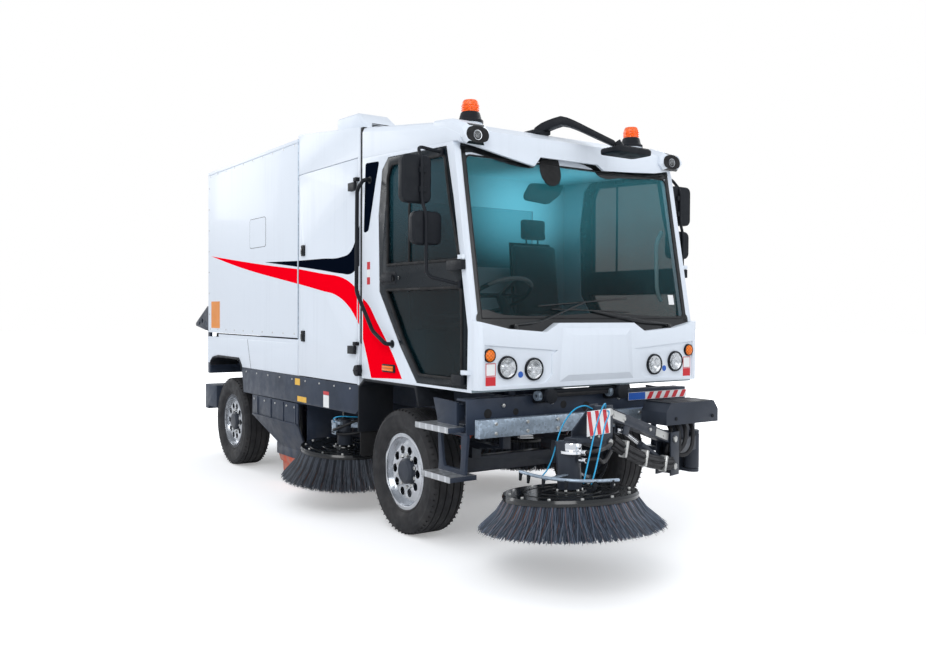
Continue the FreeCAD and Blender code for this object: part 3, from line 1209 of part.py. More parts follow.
def lower_body():
    """Lower body ring under the hopper: side panels with the wheel arches cut, end walls."""
    walls = box("lower_outer", (s.lower_body_rear_x, s.hopper_front_x), (-s.body_half, s.body_half),
                (s.deck_z, s.lower_body_top_z))
    hollow = box("lower_hollow", (s.lower_body_rear_x + s.panel, s.hopper_front_x - s.panel),
                 (-inner_half, inner_half), (s.deck_z - 1, s.lower_body_top_z + 1))
    arch = prism("arch_hole", "xz", arch_points(s.seat_gap), -(s.body_half + 1), s.body_half + 1)
    return cut("lower_open", walls, hollow, arch)


def wheel_arches():
    """Front wheel arch sheets with mud flaps, and the rear wheel arches."""
    lip, low = s.arch_lip, s.deck_z - 25
    grown = prism("rear_arch_solid", "xz", arch_points(size(0)), -(s.body_half + 6), -s.arch_inner_y)
    inner_line = [(s.arch_rear_x + lip, low - 1), (s.arch_rear_x + lip, s.deck_z + 16),
                  (s.arch_rear_x + 80, s.arch_top_z - 22 - lip), (s.arch_rear_x + 235, s.arch_top_z - lip),
                  (s.arch_front_x - 80, s.arch_top_z - lip), (s.arch_front_x - lip, s.deck_z + 16),
                  (s.arch_front_x - lip, low - 1)]
    rear = cut("rear_arch", grown, prism("rear_arch_hollow", "xz", inner_line, -(s.body_half + 7), -s.arch_inner_y + 1))
    top = s.cab_floor_z - s.seat_gap
    front = prism("front_arch", "xz", [
        (-608, 640), (-592, 640), (-585, top - 70), (-500, top - lip), (200, top - lip), (245, 905), (262, 905),
        (222, top), (-515, top), (-601, top - 62)], -(s.body_half + 6), -s.arch_inner_y)
    return group("arch_set", rear, mirror("rear_arch_left", rear), front, mirror("front_arch_left", front))


def rear_bumper():
    """Rear bumper with side wings behind the wheels, on brackets from the rails."""
    beam = box("bumper_beam", (s.frame_rear_x - 35, s.frame_rear_x + 65), (-950, 950), (490, 750))
    wing = box("bumper_wing", (s.frame_rear_x + 60, rear_axle_x - s.tyre_radius - 52), (-950, -700), (520, 750))
    foot = box("bumper_foot", (s.frame_rear_x - 20, s.frame_rear_x + 60), (-s.rail_half, -(s.rail_half - 60)),
               (740, s.rail_low_z - s.seat_gap))
    return fuse("bumper_weld", beam, wing, mirror("bumper_wing_left", wing), foot, mirror("bumper_foot_left", foot))


def side_skirts():
    """Folded skirts between the wheel arches."""
    skirt = prism("skirt", "xz", [
        (s.arch_front_x, s.deck_z - 26), (s.arch_front_x + 50, s.skirt_low_z),
        (s.bay_front_x - 57, s.skirt_low_z + 14), (s.bay_front_x - 15, 800), (s.bay_front_x - 15, s.deck_z - 3),
        (s.arch_front_x, s.deck_z - 3)], -s.body_half, -(s.body_half - 15))
    return both("skirts", skirt)


def cab_steps():
    """Two treads a side on a cut-out side plate."""
    plate = prism("step_plate", "xz", [
        (430, 985), (478, 860), (500, 600), (490, 496), (790, 496), (800, 620), (818, 765), (818, 969)],
        -s.body_half, -(s.body_half - 20))
    hole = prism("step_hole", "xz", [(520, 770), (545, 600), (560, 560), (740, 560), (750, 620), (750, 770)],
                 -(s.body_half + 1), -(s.body_half - 21))
    treads = [box(f"tread_{number}", (low, high), (-s.step_out, -s.step_inner), (z, z + 30))
              for number, (low, high, z) in enumerate(((400, 790, 800), (480, 815, 500)))]
    stay = box("step_stay", (640, s.beam_front_x - 30), (-(s.body_half - 19), -(s.body_half - 60)), (860, 960))
    steps = cut("step_open", fuse("step_weld", plate, *treads, stay), hole)
    beam = box("step_beam_room", (s.beam_front_x - 110 - s.seat_gap, s.beam_front_x + 40),
               (-(s.body_half + s.seat_gap), -300), (s.beam_top_z - s.beam_depth - s.seat_gap, s.beam_top_z + 30))
    return both("steps", cut("step_clear", steps, beam))


def sweep_housing():
    """Hood over the roller broom: folded cheeks, roof, front wall and bearing plates."""
    low, fold, top = s.housing_low_z, s.housing_fold_z, s.housing_top_z
    wide, narrow, sheet_t = s.housing_top_half, s.housing_low_half, s.plate
    section = [(-wide, top), (-wide, fold), (-narrow, low), (-narrow + sheet_t, low), (-wide + sheet_t, fold + 4),
               (-wide + sheet_t, top - sheet_t)]
    ring = section + [(-y, z) for y, z in reversed(section)]
    hood = prism("hood", "yz", ring, s.housing_rear_x, s.housing_front_x)
    slope = prism("hood_slope", "xz", [
        (s.housing_rear_x - 1, low - 1), (s.housing_rear_x + 540, low - 1), (s.housing_rear_x - 1, fold)],
        -(wide + 1), wide + 1)
    front = box("hood_front", (s.housing_front_x - sheet_t, s.housing_front_x), (-narrow, narrow), (low + 80, top - 2))
    back = box("hood_back", (s.housing_rear_x, s.housing_rear_x + sheet_t), (-wide + 2, wide - 2), (fold + 20, top - 2))
    plates, bores = [], []
    for side in (-1, 1):
        ys = span(side * (s.roller_half + 12), side * (s.roller_half + 36))
        plates.append(box(f"bearing_plate_{side + 1}", (s.roller_x - 90, s.roller_x + 90), ys,
                          (s.roller_z - 60, top - 2)))
        bores.append(rod(f"bearing_bore_{side + 1}", "y", (s.roller_x, ys[0] - 1, s.roller_z),
                         s.roller_shaft + s.seat_gap, 26))
    for x in (s.housing_rear_x + 140, s.housing_front_x - 140):
        for side in (-1, 1):
            y = side * (s.rail_half - s.rail_width / 2)
            plates.append(box(f"hood_stay_{side + 1}_{int(x.value)}", (x - 30, x + 30), (y - 25, y + 25),
                              (top - 2, s.rail_low_z - s.seat_gap)))
    return cut("hood_open", fuse("hood_weld", cut("hood_trim", hood, slope), front, back, *plates), *bores)


def sweep_skirt():
    """Rubber curtains that hang inside the housing's cheeks and at its front."""
    y = s.housing_low_half - s.plate - s.seat_gap
    curtain = prism("curtain", "xz", [
        (-2290, s.housing_low_z + 40), (-2250, 60), (-1760, 60), (-1760, s.housing_low_z + 60)], -y, -(y - 10))
    front_x = s.housing_front_x - s.plate - s.seat_gap
    front = box("front_curtain", (front_x - 12, front_x), (-(y - 40), y - 40), (60, s.housing_low_z + 160))
    return group("curtains", curtain, mirror("curtain_left", curtain), front)


def roller_broom():
    """Roller broom: shaft, core and bristle rows."""
    half, shaft, core, out = s.roller_half, s.roller_shaft, s.roller_core, s.roller_radius
    right = [(0, -(half + 34)), (shaft, -(half + 34)), (shaft, -half), (core, -half), (core, -(half - 30)),
             (out, -(half - 30))]
    body = doc.addObject("PartDesign::Body", "broom")
    revolve(body, right + [(radius, -along_y) for radius, along_y in reversed(right)])
    slot_ring(body, core + 6, out + 8, s.row_gap, s.row_count)
    place(body, (s.roller_x, 0, s.roller_z))
    return body


finish("engine_bay", engine_bay())
finish("bay_door_right", bay_door(-1))
finish("bay_door_left", bay_door(1))
finish("engine_block", engine_block())
finish("roof_intake", roof_intake())
finish("lower_body", lower_body())
finish("wheel_arches", wheel_arches())
finish("rear_bumper", rear_bumper())
finish("side_skirts", side_skirts())
finish("cab_steps", cab_steps())
finish("sweep_housing", sweep_housing())
finish("sweep_skirt", sweep_skirt())
finish("roller_broom", roller_broom())


# ---------------------------------------------------------------- hopper

def hopper():
    """Tipping container, open at the rear, with door hinge lugs and cylinder lugs below."""
    wall, half, opening = s.panel, s.body_half, s.hopper_door_half - 20
    outer = box("hopper_outer", (s.hopper_rear_x, s.hopper_front_x), (-half, half), (s.hopper_floor_z, s.hopper_top_z))
    hollow = box("hopper_hollow", (s.hopper_rear_x + wall, s.hopper_front_x - wall), (-inner_half, inner_half),
                 (s.hopper_floor_z + wall, s.hopper_top_z - wall))
    mouth = box("hopper_mouth", (s.hopper_rear_x - 1, s.hopper_rear_x + wall + 1), (-opening, opening),
                (s.hopper_floor_z + 110, s.hopper_top_z - 60))
    pieces = [cut("hopper_open", outer, hollow, mouth)]
    for side in (-1, 1):
        y = side * 560
        ys = span(y, y + side * 22)
        start = span(y, y + side * 70)[0]
        pieces.append(fuse(f"door_lug_{side + 1}",
                           box(f"door_lug_plate_{side + 1}", (s.hopper_rear_x - 66, s.hopper_rear_x + 1), ys,
                               (s.hopper_top_z - 44, s.hopper_top_z)),
                           rod(f"door_lug_pin_{side + 1}", "y", (s.hopper_rear_x - 46, start, s.hopper_top_z - 22),
                               10, 70)))
        for hand in (-1, 1):
            lug_y = side * s.lift_y + hand * 44
            pieces.append(box(f"eye_lug_{side + 1}_{hand + 1}", (s.lift_eye_x - 60, s.lift_eye_x + 60),
                              (lug_y - 7, lug_y + 7), (s.lift_eye_z - 25, s.hopper_floor_z + 1)))
    return fuse("hopper_weld", *pieces)


def tip_brackets():
    """Tipping bracket plates at the hopper's rear corners, each with a pin bore and an oval window."""
    rear = s.hopper_rear_x - s.seat_gap
    plate = prism("tip_plate", "xz", [
        (rear, 1586), (rear - 46, 1586), (rear - 436, 1400), (rear - 430, 1372), (rear - 105, 1330),
        (rear, 1320)], -(s.tip_plate_half + 12), -(s.tip_plate_half - 12))
    oval = fuse("tip_oval", rod("oval_front", "y", (rear - 215, -(s.tip_plate_half + 13), 1428), 26, 26),
                rod("oval_rear", "y", (rear - 300, -(s.tip_plate_half + 13), 1400), 20, 26))
    bore = rod("tip_bore", "y", (s.tip_pivot_x, -(s.tip_plate_half + 13), s.tip_pivot_z),
               s.tip_pin_radius + s.seat_gap, 26)
    bracket = cut("tip_bracket", plate, oval, bore)
    return both("tip_bracket_set", bracket)


def hopper_door():
    """Rear door of the hopper, ribbed and hung from its top edge."""
    front, half = s.hopper_rear_x - s.part_gap, s.hopper_door_half
    low, high = s.hopper_floor_z + 90, s.hopper_top_z - 52
    slab = box("hopper_door_slab", (front - s.hopper_door_thick, front), (-half, half), (low, high))
    face = front - s.hopper_door_thick
    pieces, bores = [slab], []
    for number in range(5):
        y = (number - 2) * (half - 60) / 2
        pieces.append(loft(f"door_rib_{number}", "yz", [
            (face - 22, [(y - 18, low + 150), (y + 18, low + 150), (y + 18, high - 150), (y - 18, high - 150)]),
            (face + 1, [(y - 32, low + 130), (y + 32, low + 130), (y + 32, high - 130), (y - 32, high - 130)])]))
    for side in (-1, 1):
        ys = span(side * 588, side * 634)
        x, z = s.hopper_rear_x - 46, s.hopper_top_z - 22
        pieces.append(rod(f"door_eye_{side + 1}", "y", (x, ys[0], z), 20, 46))
        pieces.append(box(f"door_strap_{side + 1}", (x - 16, x + 12), ys, (s.hopper_top_z - 120, z)))
        bores.append(rod(f"door_eye_bore_{side + 1}", "y", (x, ys[0] - 1, z), 10 + s.seat_gap, 48))
    return cut("hopper_door_open", fuse("hopper_door_weld", *pieces), *bores)


lift_angle = -turn_size(s.lift_eye_z - s.lift_base_z, s.lift_eye_x - s.lift_base_x)
lift_length = length_size(s.lift_eye_z - s.lift_base_z, s.lift_eye_x - s.lift_base_x)


def lift_barrels():
    """Barrels of the two hopper lift cylinders, each with an eye on its fixed pin."""
    barrels = []
    for side in (-1, 1):
        tube_piece = lathe(f"barrel_{side + 1}", "x", [
            (0, 56), (30, 56), (s.lift_barrel, 76), (s.lift_barrel, s.lift_barrel_length),
            (s.lift_rod + s.seat_gap, s.lift_barrel_length), (s.lift_rod + s.seat_gap, 86), (0, 86)], (0, 0, 0))
        neck = box(f"barrel_neck_{side + 1}", (0, 60), (-26, 26), (-26, 26))
        eye = rod(f"barrel_eye_{side + 1}", "y", (0, -30, 0), s.lift_pin + 18, 60)
        bore = rod(f"barrel_bore_{side + 1}", "y", (0, -31, 0), s.lift_pin + s.seat_gap, 62)
        whole = cut(f"barrel_open_{side + 1}", fuse(f"barrel_weld_{side + 1}", tube_piece, neck, eye), bore)
        barrels.append(turned(f"barrel_set_{side + 1}", whole, Y_AXIS, lift_angle,
                              (s.lift_base_x, side * s.lift_y, s.lift_base_z)))
    return group("barrel_pair", *barrels)


def lift_rods():
    """Rods of the two hopper lift cylinders, each ending in an eye between the hopper's lugs."""
    rods = []
    for side in (-1, 1):
        shaft = rod(f"lift_shaft_{side + 1}", "x", (110, 0, 0), s.lift_rod, lift_length - 120)
        eye = rod(f"lift_eye_{side + 1}", "y", (lift_length, -32, 0), s.lift_pin + 18, 64)
        rods.append(turned(f"rod_set_{side + 1}", fuse(f"rod_weld_{side + 1}", shaft, eye), Y_AXIS, lift_angle,
                           (s.lift_base_x, side * s.lift_y, s.lift_base_z)))
    return group("rod_pair", *rods)


finish("hopper", hopper())
finish("tip_brackets", tip_brackets())
finish("hopper_door", hopper_door())
finish("lift_barrels", lift_barrels())
finish("lift_rods", lift_rods())


# ---------------------------------------------------------------- side brushes

def brush(name, tip_radius, plate_radius, height, bristle_depth):
    """A round brush about Z with its tips at Z 0: plate, hub and a flared skirt of bristle tufts."""
    bore = s.brush_shaft + s.seat_gap
    body = doc.addObject("PartDesign::Body", name)
    revolve(body, [
        (bore, height - 45), (plate_radius - bristle_depth * 0.8, height - 45), (tip_radius - bristle_depth, 0),
        (tip_radius, 0), (plate_radius, height - 22), (plate_radius - 8, height), (95, height), (80, height + 8),
        (bore, height + 8)])
    slot_ring(body, plate_radius + 30, tip_radius + 8, s.tuft_gap, s.tuft_count)
    body.Placement = FreeCAD.Placement(FreeCAD.Vector(), FreeCAD.Rotation(X_AXIS, 90))
    return body


def side_arm(side):
    """A side brush arm: eye on the fork's pin, beam and the leaning brush motor with its shaft."""
    tag = "left" if side > 0 else "right"
    pivot_y, run, rise = -s.arm_pivot_y, s.brush_x - s.arm_pivot_x, -(s.brush_y - s.arm_pivot_y)
    beam = turned(f"arm_beam_set_{tag}",
                  box(f"arm_beam_{tag}", (0, length_size(rise, run)), (-32, 32), (s.arm_z - 22, s.arm_z + 22)),
                  Z_AXIS, turn_size(rise, run), (s.arm_pivot_x, pivot_y, 0))
    eye = rod(f"arm_eye_{tag}", "z", (s.arm_pivot_x, pivot_y, s.arm_z - 40), 38, 80)
    motor = turned(f"arm_motor_set_{tag}", fuse(
        f"arm_motor_weld_{tag}",
        rod(f"arm_motor_{tag}", "z", (0, 0, s.brush_height + 14), 62, s.arm_z - s.brush_tip_z - s.brush_height + 30),
        rod(f"arm_shaft_{tag}", "z", (0, 0, s.brush_height - 38), s.brush_shaft, 60)),
        Y_AXIS, s.brush_lean, (s.brush_x, -s.brush_y, s.brush_tip_z))
    bore = rod(f"arm_bore_{tag}", "z", (s.arm_pivot_x, pivot_y, s.arm_z - 41), s.arm_pin + s.seat_gap, 82)
    whole = cut(f"arm_{tag}", fuse(f"arm_weld_{tag}", beam, eye, motor), bore)
    return whole if side < 0 else mirror("arm_left_mirror", whole)


def side_brush(side):
    """A side brush standing on its leaning axis."""
    tag = "left" if side > 0 else "right"
    return turned(f"side_brush_set_{tag}",
                  brush(f"side_brush_{tag}_lathe", s.brush_radius, s.brush_plate, s.brush_height, 110),
                  Y_AXIS, s.brush_lean, (s.brush_x, side * s.brush_y, s.brush_tip_z))


finish("side_arm_right", side_arm(-1))
finish("side_arm_left", side_arm(1))
finish("side_brush_right", side_brush(-1))
finish("side_brush_left", side_brush(1))


# ---------------------------------------------------------------- front brush and its boom

slide_face_x = s.slide_rail_x + s.slide_rail_thick / 2
slide_top_z = s.slide_rail_low_z + s.slide_rail_depth
boom_angle = turn_size(s.boom_rise, s.boom_reach)
boom_length = length_size(s.boom_rise, s.boom_reach)
boom_run_x, boom_run_y = along(s.boom_yaw, s.front_brush_out)
front_brush_at = (s.boom_root_x + boom_run_x, s.boom_root_y + boom_run_y, s.front_brush_tip_z)


def in_boom_frame(name, piece):
    """Carry a piece drawn along +X from the boom's root to its place and direction."""
    return turned(name, piece, Z_AXIS, s.boom_yaw, (s.boom_root_x, s.boom_root_y, 0))


def tilted(name, piece, angle, at):
    """Raise a piece drawn along +X by an angle and carry it to a point."""
    return turned(name, piece, Y_AXIS, -angle, at)


def carriage():
    """Carriage that rides the front slide rail and holds the turret's fork and pin."""
    gap, y = s.seat_gap, s.turret_y
    wide = (y - 100, y + 100)
    pieces = [box("carriage_plate", (slide_face_x + gap, slide_face_x + 45), wide, (s.column_low_z, slide_top_z + 16)),
              box("carriage_lip", (slide_face_x - 44, slide_face_x + 45), wide, (slide_top_z + gap, slide_top_z + 16)),
              box("carriage_heel", (slide_face_x - 44, slide_face_x + 45), wide,
                  (s.slide_rail_low_z - 16, s.slide_rail_low_z - gap)),
              rod("column_pin", "z", (s.turret_x, y, s.column_low_z), s.column_pin, s.column_top_z - s.column_low_z)]
    for number, (low, high) in enumerate(((s.column_low_z, s.column_low_z + 22), (s.column_top_z - 22, s.column_top_z))):
        pieces.append(box(f"fork_{number}", (slide_face_x + 44, s.turret_x + 10), (y - 45, y + 45), (low, high)))
        pieces.append(rod(f"fork_nose_{number}", "z", (s.turret_x + 5, y, low), 45, 22))
    return fuse("carriage_weld", *pieces)


def turret():
    """Turret: sleeve on the column pin, arm, boom post with its pins, and the bevelled cover."""
    run, rise = s.boom_root_x - s.turret_x, s.boom_root_y - s.turret_y
    sleeve = rod("turret_sleeve", "z", (s.turret_x, s.turret_y, s.column_low_z + 27), 50,
                 s.column_top_z - s.column_low_z - 54)
    bore = rod("turret_bore", "z", (s.turret_x, s.turret_y, s.column_low_z), s.column_pin + s.seat_gap,
               s.column_top_z - s.column_low_z)
    arm = turned("turret_arm_set", box("turret_arm", (0, length_size(rise, run) - 44), (-42, 42), (590, 685)),
                 Z_AXIS, turn_size(rise, run), (s.turret_x, s.turret_y, 0))
    low, high, half = s.boom_low_z - 60, s.boom_high_z + 45, s.post_half
    post_pieces = [box("post_back", (-66, -42), (-half, half), (low, high))]
    for side in (-1, 1):
        post_pieces.append(box(f"post_cheek_{side + 1}", (-50, 40), span(side * (half - 10), side * half), (low, high)))
    for number, z in enumerate((s.boom_low_z, s.boom_high_z)):
        post_pieces.append(rod(f"post_pin_{number}", "y", (0, -half, z), s.link_pin, half * 2))
    post = in_boom_frame("post_set", fuse("post", *post_pieces))
    cover = prism("turret_cover", "yz", [
        (310, 800), (s.turret_y + 38, 800), (s.turret_y + 38, 885), (s.turret_y - 5, 945), (352, 945), (310, 885)],
        s.turret_x - 32, 1250)
    stand = box("cover_stand", (s.turret_x + 25, s.turret_x + 95), (520, 640), (684, 802))
    return fuse("turret_weld", cut("turret_core", fuse("turret_sleeve_arm", sleeve, arm), bore), post, cover, stand)


def bored_bar(name, length, height, ys, eye):
    """A bar along +X between two pin eyes, bored for the boom pins."""
    bar = fuse(f"{name}_weld", box(f"{name}_bar", (0, length), ys, (-height / 2, height / 2)),
               rod(f"{name}_root", "y", (0, ys[0], 0), eye, size(ys[1]) - ys[0]),
               rod(f"{name}_tip", "y", (length, ys[0], 0), eye, size(ys[1]) - ys[0]))
    bores = [rod(f"{name}_bore_{number}", "y", (x, size(ys[0]) - 1, 0), s.link_pin + s.seat_gap,
                 size(ys[1]) - ys[0] + 2) for number, x in enumerate((0, length))]
    return cut(name, bar, *bores)


def boom():
    """Upper link of the parallelogram, with the lift cylinder's lugs below it."""
    bar = bored_bar("boom_bar", boom_length, size(66), (-s.boom_half, s.boom_half), 34)
    lugs = [box(f"boom_lug_{side + 1}", (s.boom_eye_at - 32, s.boom_eye_at + 32), span(side * 27, side * 36),
                (-(s.boom_eye_drop + 28), -30)) for side in (-1, 1)]
    return in_boom_frame("boom_place", tilted("boom_set", fuse("boom_weld", bar, *lugs), boom_angle,
                                              (0, 0, s.boom_high_z)))


def boom_link():
    """Lower link of the parallelogram: two bars joined by a cross tube."""
    bars = [bored_bar(f"link_bar_{side + 1}", boom_length, size(46), tuple(span(side * 30, side * s.boom_half)), 28)
            for side in (-1, 1)]
    cross = rod("link_cross", "y", (boom_length - 140, -31, 0), 15, 62)
    return in_boom_frame("link_place", tilted("link_set", fuse("link_weld", *bars, cross), boom_angle,
                                              (0, 0, s.boom_low_z)))


def boom_eye():
    """The lift cylinder's rod eye in the boom's frame: x and z."""
    across, up = along(boom_angle, s.boom_eye_at)
    drop_x, drop_z = along(boom_angle, s.boom_eye_drop)
    return across + drop_z, s.boom_high_z + up - drop_x


eye_x, eye_z = boom_eye()
ram_angle = turn_size(eye_z - s.boom_low_z, eye_x)
ram_length = length_size(eye_z - s.boom_low_z, eye_x)


def boom_barrel():
    """Barrel of the boom's lift cylinder, on the lower root pin."""
    shell = lathe("ram_shell", "x", [
        (13.3, 380), (24, 380), (24, 40), (13, 40), (0, 40), (0, 60), (13.3, 60)], (0, 0, 0))
    eye = cut("ram_base", fuse("ram_base_weld", shell, rod("ram_base_eye", "y", (0, -20, 0), 26, 40),
                               box("ram_neck", (10, 44), (-14, 14), (-18, 18))),
              rod("ram_base_bore", "y", (0, -21, 0), s.link_pin + s.seat_gap, 42))
    return in_boom_frame("ram_place", tilted("ram_set", eye, ram_angle, (0, 0, s.boom_low_z)))


def boom_rod():
    """Rod of the boom's lift cylinder, its eye between the boom's lugs."""
    whole = fuse("ram_rod_weld", rod("ram_rod", "x", (135, 0, 0), 13, ram_length - 145),
                 rod("ram_rod_eye", "y", (ram_length, -20, 0), 22, 40))
    return in_boom_frame("ram_rod_place", tilted("ram_rod_set", whole, ram_angle, (0, 0, s.boom_low_z)))


def brush_head():
    """Head at the boom's tip: cheeks with the tip pins, bridge, brush motor and shaft."""
    reach, low, high, half = s.boom_reach, s.boom_low_z + s.boom_rise, s.boom_high_z + s.boom_rise, s.post_half
    cheek = [(reach - 36, low - 38), (reach + 40, low - 38), (reach + 230, low + 20), (reach + 230, low + 75),
             (reach + 110, high - 20), (reach + 40, high + 40), (reach - 36, high + 40)]
    pieces = [prism(f"cheek_{side + 1}", "xz", cheek, *span(side * (half - 10), side * half)) for side in (-1, 1)]
    pieces += [rod(f"head_pin_{number}", "y", (reach, -half, z), s.link_pin, half * 2)
               for number, z in enumerate((low, high))]
    pieces.append(box("head_bridge", (reach + 80, s.front_brush_out), (-half + 1, half - 1), (low + 22, low + 46)))
    drive = turned("drive_set", fuse(
        "drive_weld", rod("drive_motor", "z", (0, 0, s.front_brush_height + 14), 70, 275),
        rod("drive_shaft", "z", (0, 0, s.front_brush_height - 38), s.brush_shaft, 60)),
        Y_AXIS, -s.front_brush_lean, front_brush_at)
    return fuse("head_weld", in_boom_frame("head_place", fuse("head_frame", *pieces)), drive)


def front_brush():
    """The front brush on its leaning axis."""
    return turned("front_brush_set",
                  brush("front_brush_lathe", s.front_brush_radius, s.front_brush_plate, s.front_brush_height, 120),
                  Y_AXIS, -s.front_brush_lean, front_brush_at)


finish("carriage", carriage())
finish("turret", turret())
finish("boom", boom())
finish("boom_link", boom_link())
finish("boom_barrel", boom_barrel())
finish("boom_rod", boom_rod())
finish("brush_head", brush_head())
finish("front_brush", front_brush())


# ---------------------------------------------------------------- mirrors, rails and wipers

def side_mirror(side):
    """Two mirror heads on a bent tube, footed on the door's head and waist rail."""
    tag = "left" if side > 0 else "right"
    skin = -(s.body_half + s.seat_gap)
    out = -(s.body_half + 170)
    arm = tube(f"mirror_arm_{tag}", [
        (515, skin - 9, 2556), (478, out, 2585), (600, out, 1752), (722, skin - 9, 1712)], 12, 55)
    feet = [box(f"mirror_foot_{tag}_{number}", (x - 26, x + 26), (skin - 14, skin), (z - 20, z + 20))
            for number, (x, z) in enumerate(((515, 2556), (722, 1712)))]
    heads = []
    # glass face x, inset from the outer edge, foot z, height
    for number, (x, shift, low, tall) in enumerate(((508, 0, 2215, 300), (545, 55, 1955, 210))):
        outer = -(s.mirror_out - shift)
        heads.append(loft(f"mirror_head_{tag}_{number}", "yz", [
            (x, octagon(outer, outer + 212, low, low + tall, 30)),
            (x + 34, octagon(outer, outer + 212, low, low + tall, 34)),
            (x + 62, octagon(outer + 22, outer + 190, low + 22, low + tall - 22, 36))]))
    whole = fuse(f"mirror_weld_{tag}", arm, *feet, *heads)
    return whole if side < 0 else mirror("mirror_left_mirror", whole)


def cab_rails():
    """Grab rails behind the cab doors and the roof mirror on its arched arm."""
    skin = -(s.body_half + s.seat_gap)
    out = -(s.body_half + 55)
    rail = tube("grab_rail", [(-433, skin, 2492), (-433, out, 2492), (-533, out, 2430), (-538, out, 1684),
                              (-290, out, 1400), (-102, out, 1313), (-102, skin, 1313)], 14, 28)
    arm = tube("roof_arm", [
        (520, -200, roof_top_z(503) + s.seat_gap), (520, -200, 2862), (860, 130, 2862), (965, 180, 2630)], 17, 40)
    foot = rod("roof_arm_foot", "z", (520, -200, 2763), 32, 20)
    glass = box("roof_mirror", (890, 1085), (20, 340), (2590, 2636))
    return group("rail_set", rail, mirror("grab_rail_left", rail), fuse("roof_mirror_weld", arm, foot, glass))


def wipers():
    """Two wipers parked along the foot of the windscreen, their spindles on the apron."""
    sets = []
    for number, (pivot_y, blade) in enumerate(((-665, (-457, 1579, 344, 1640)), (715, (345, 1545, -345, 1560)))):
        top = s.screen_foot_z - 45 + s.seat_gap
        middle_y, middle_z = (blade[0] + blade[2]) / 2, (blade[1] + blade[3]) / 2
        spindle = rod(f"wiper_spindle_{number}", "z", (892, pivot_y, top), 16, 30)
        arm = tube(f"wiper_arm_{number}", [
            (892, pivot_y, top + 22), (screen_x(middle_z) + 16, middle_y, middle_z)], 8, 1)
        bar = tube(f"wiper_blade_{number}", [(screen_x(blade[1]) + 13, blade[0], blade[1]),
                                             (screen_x(blade[3]) + 13, blade[2], blade[3])], 9, 1)
        sets.append(fuse(f"wiper_{number}", spindle, arm, bar))
    return group("wiper_set", *sets)


finish("mirror_right", side_mirror(-1))
finish("mirror_left", side_mirror(1))
finish("cab_rails", cab_rails())
finish("wipers", wipers())


# ---------------------------------------------------------------- checks and files

doc.recompute()
for thing in doc.Objects:
    bad = [state for state in thing.State if state in ("Invalid", "Error")]
    if bad:
        raise RuntimeError(f"{thing.Name} ({thing.Label}) is {bad}: {thing.getStatusString()}")
os.makedirs("parts", exist_ok=True)
for thing in parts:
    if thing.Shape.isNull() or not thing.Shape.isValid() or not thing.Shape.Solids:
        raise RuntimeError(f"{thing.Label} has no valid solid")
    thing.Shape.exportStep(f"parts/{thing.Label}.step")
whole = Part.makeCompound([thing.Shape for thing in parts])
print(len(parts), "sub-parts", whole.BoundBox)
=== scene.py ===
"""Street sweeper truck: finishes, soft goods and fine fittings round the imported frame.

Every shape is written in metres from the front axle's centre line, with +X forward, +Y to the
left and Z up from the ground, and carried to the machine's frame as its piece is finished.
"""

import json
import logging
import math
import random
from dataclasses import dataclass, replace
from enum import Enum
from typing import Callable, Optional, Sequence, Union

import bmesh
import bpy
from mathutils import Matrix, Vector

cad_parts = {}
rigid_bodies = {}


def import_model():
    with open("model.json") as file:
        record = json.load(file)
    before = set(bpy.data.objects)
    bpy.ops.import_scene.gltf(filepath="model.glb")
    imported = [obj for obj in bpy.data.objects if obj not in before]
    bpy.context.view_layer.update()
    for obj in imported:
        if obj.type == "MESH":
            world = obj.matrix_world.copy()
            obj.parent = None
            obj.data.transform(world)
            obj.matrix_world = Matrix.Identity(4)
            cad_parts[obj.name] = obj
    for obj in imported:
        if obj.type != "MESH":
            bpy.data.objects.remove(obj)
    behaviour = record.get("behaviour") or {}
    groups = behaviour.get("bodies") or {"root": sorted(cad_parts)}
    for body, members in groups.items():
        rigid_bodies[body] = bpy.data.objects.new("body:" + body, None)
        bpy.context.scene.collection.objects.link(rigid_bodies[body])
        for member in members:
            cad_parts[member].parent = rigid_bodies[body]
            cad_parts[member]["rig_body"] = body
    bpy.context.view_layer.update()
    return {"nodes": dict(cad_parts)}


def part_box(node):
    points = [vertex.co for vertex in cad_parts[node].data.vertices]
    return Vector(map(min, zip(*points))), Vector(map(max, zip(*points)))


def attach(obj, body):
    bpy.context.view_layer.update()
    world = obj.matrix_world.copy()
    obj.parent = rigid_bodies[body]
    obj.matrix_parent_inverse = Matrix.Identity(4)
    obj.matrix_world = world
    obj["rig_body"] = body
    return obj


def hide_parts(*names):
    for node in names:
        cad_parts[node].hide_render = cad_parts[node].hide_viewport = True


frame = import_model()

log = logging.getLogger("sweeper")
Point = Sequence[float]
Colour = tuple[float, float, float]


def middle_of(node: str) -> Vector:
    """The middle of a CAD node's box, in the machine's frame."""
    low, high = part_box(node)
    return (low + high) / 2


AXLE_X = middle_of("tyre_front_right").x
REAR_AXLE = middle_of("tyre_rear_right").x - AXLE_X
BODY_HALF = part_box("hopper")[1].y
SKIN = -BODY_HALF
FILM_HALF = 0.0006
FILM = SKIN - 0.0002
NOSE = 0.925
HANDS = (("right", -1), ("left", 1))
ORIGIN, AHEAD, LEFT, UP = (0, 0, 0), (1, 0, 0), (0, 1, 0), (0, 0, 1)


class Plane(Enum):
    """The plane that a flat outline is drawn on, with the axis it is pushed along."""

    SIDE = (0, 2, 1)
    FRONT = (1, 2, 0)
    TOP = (0, 1, 2)


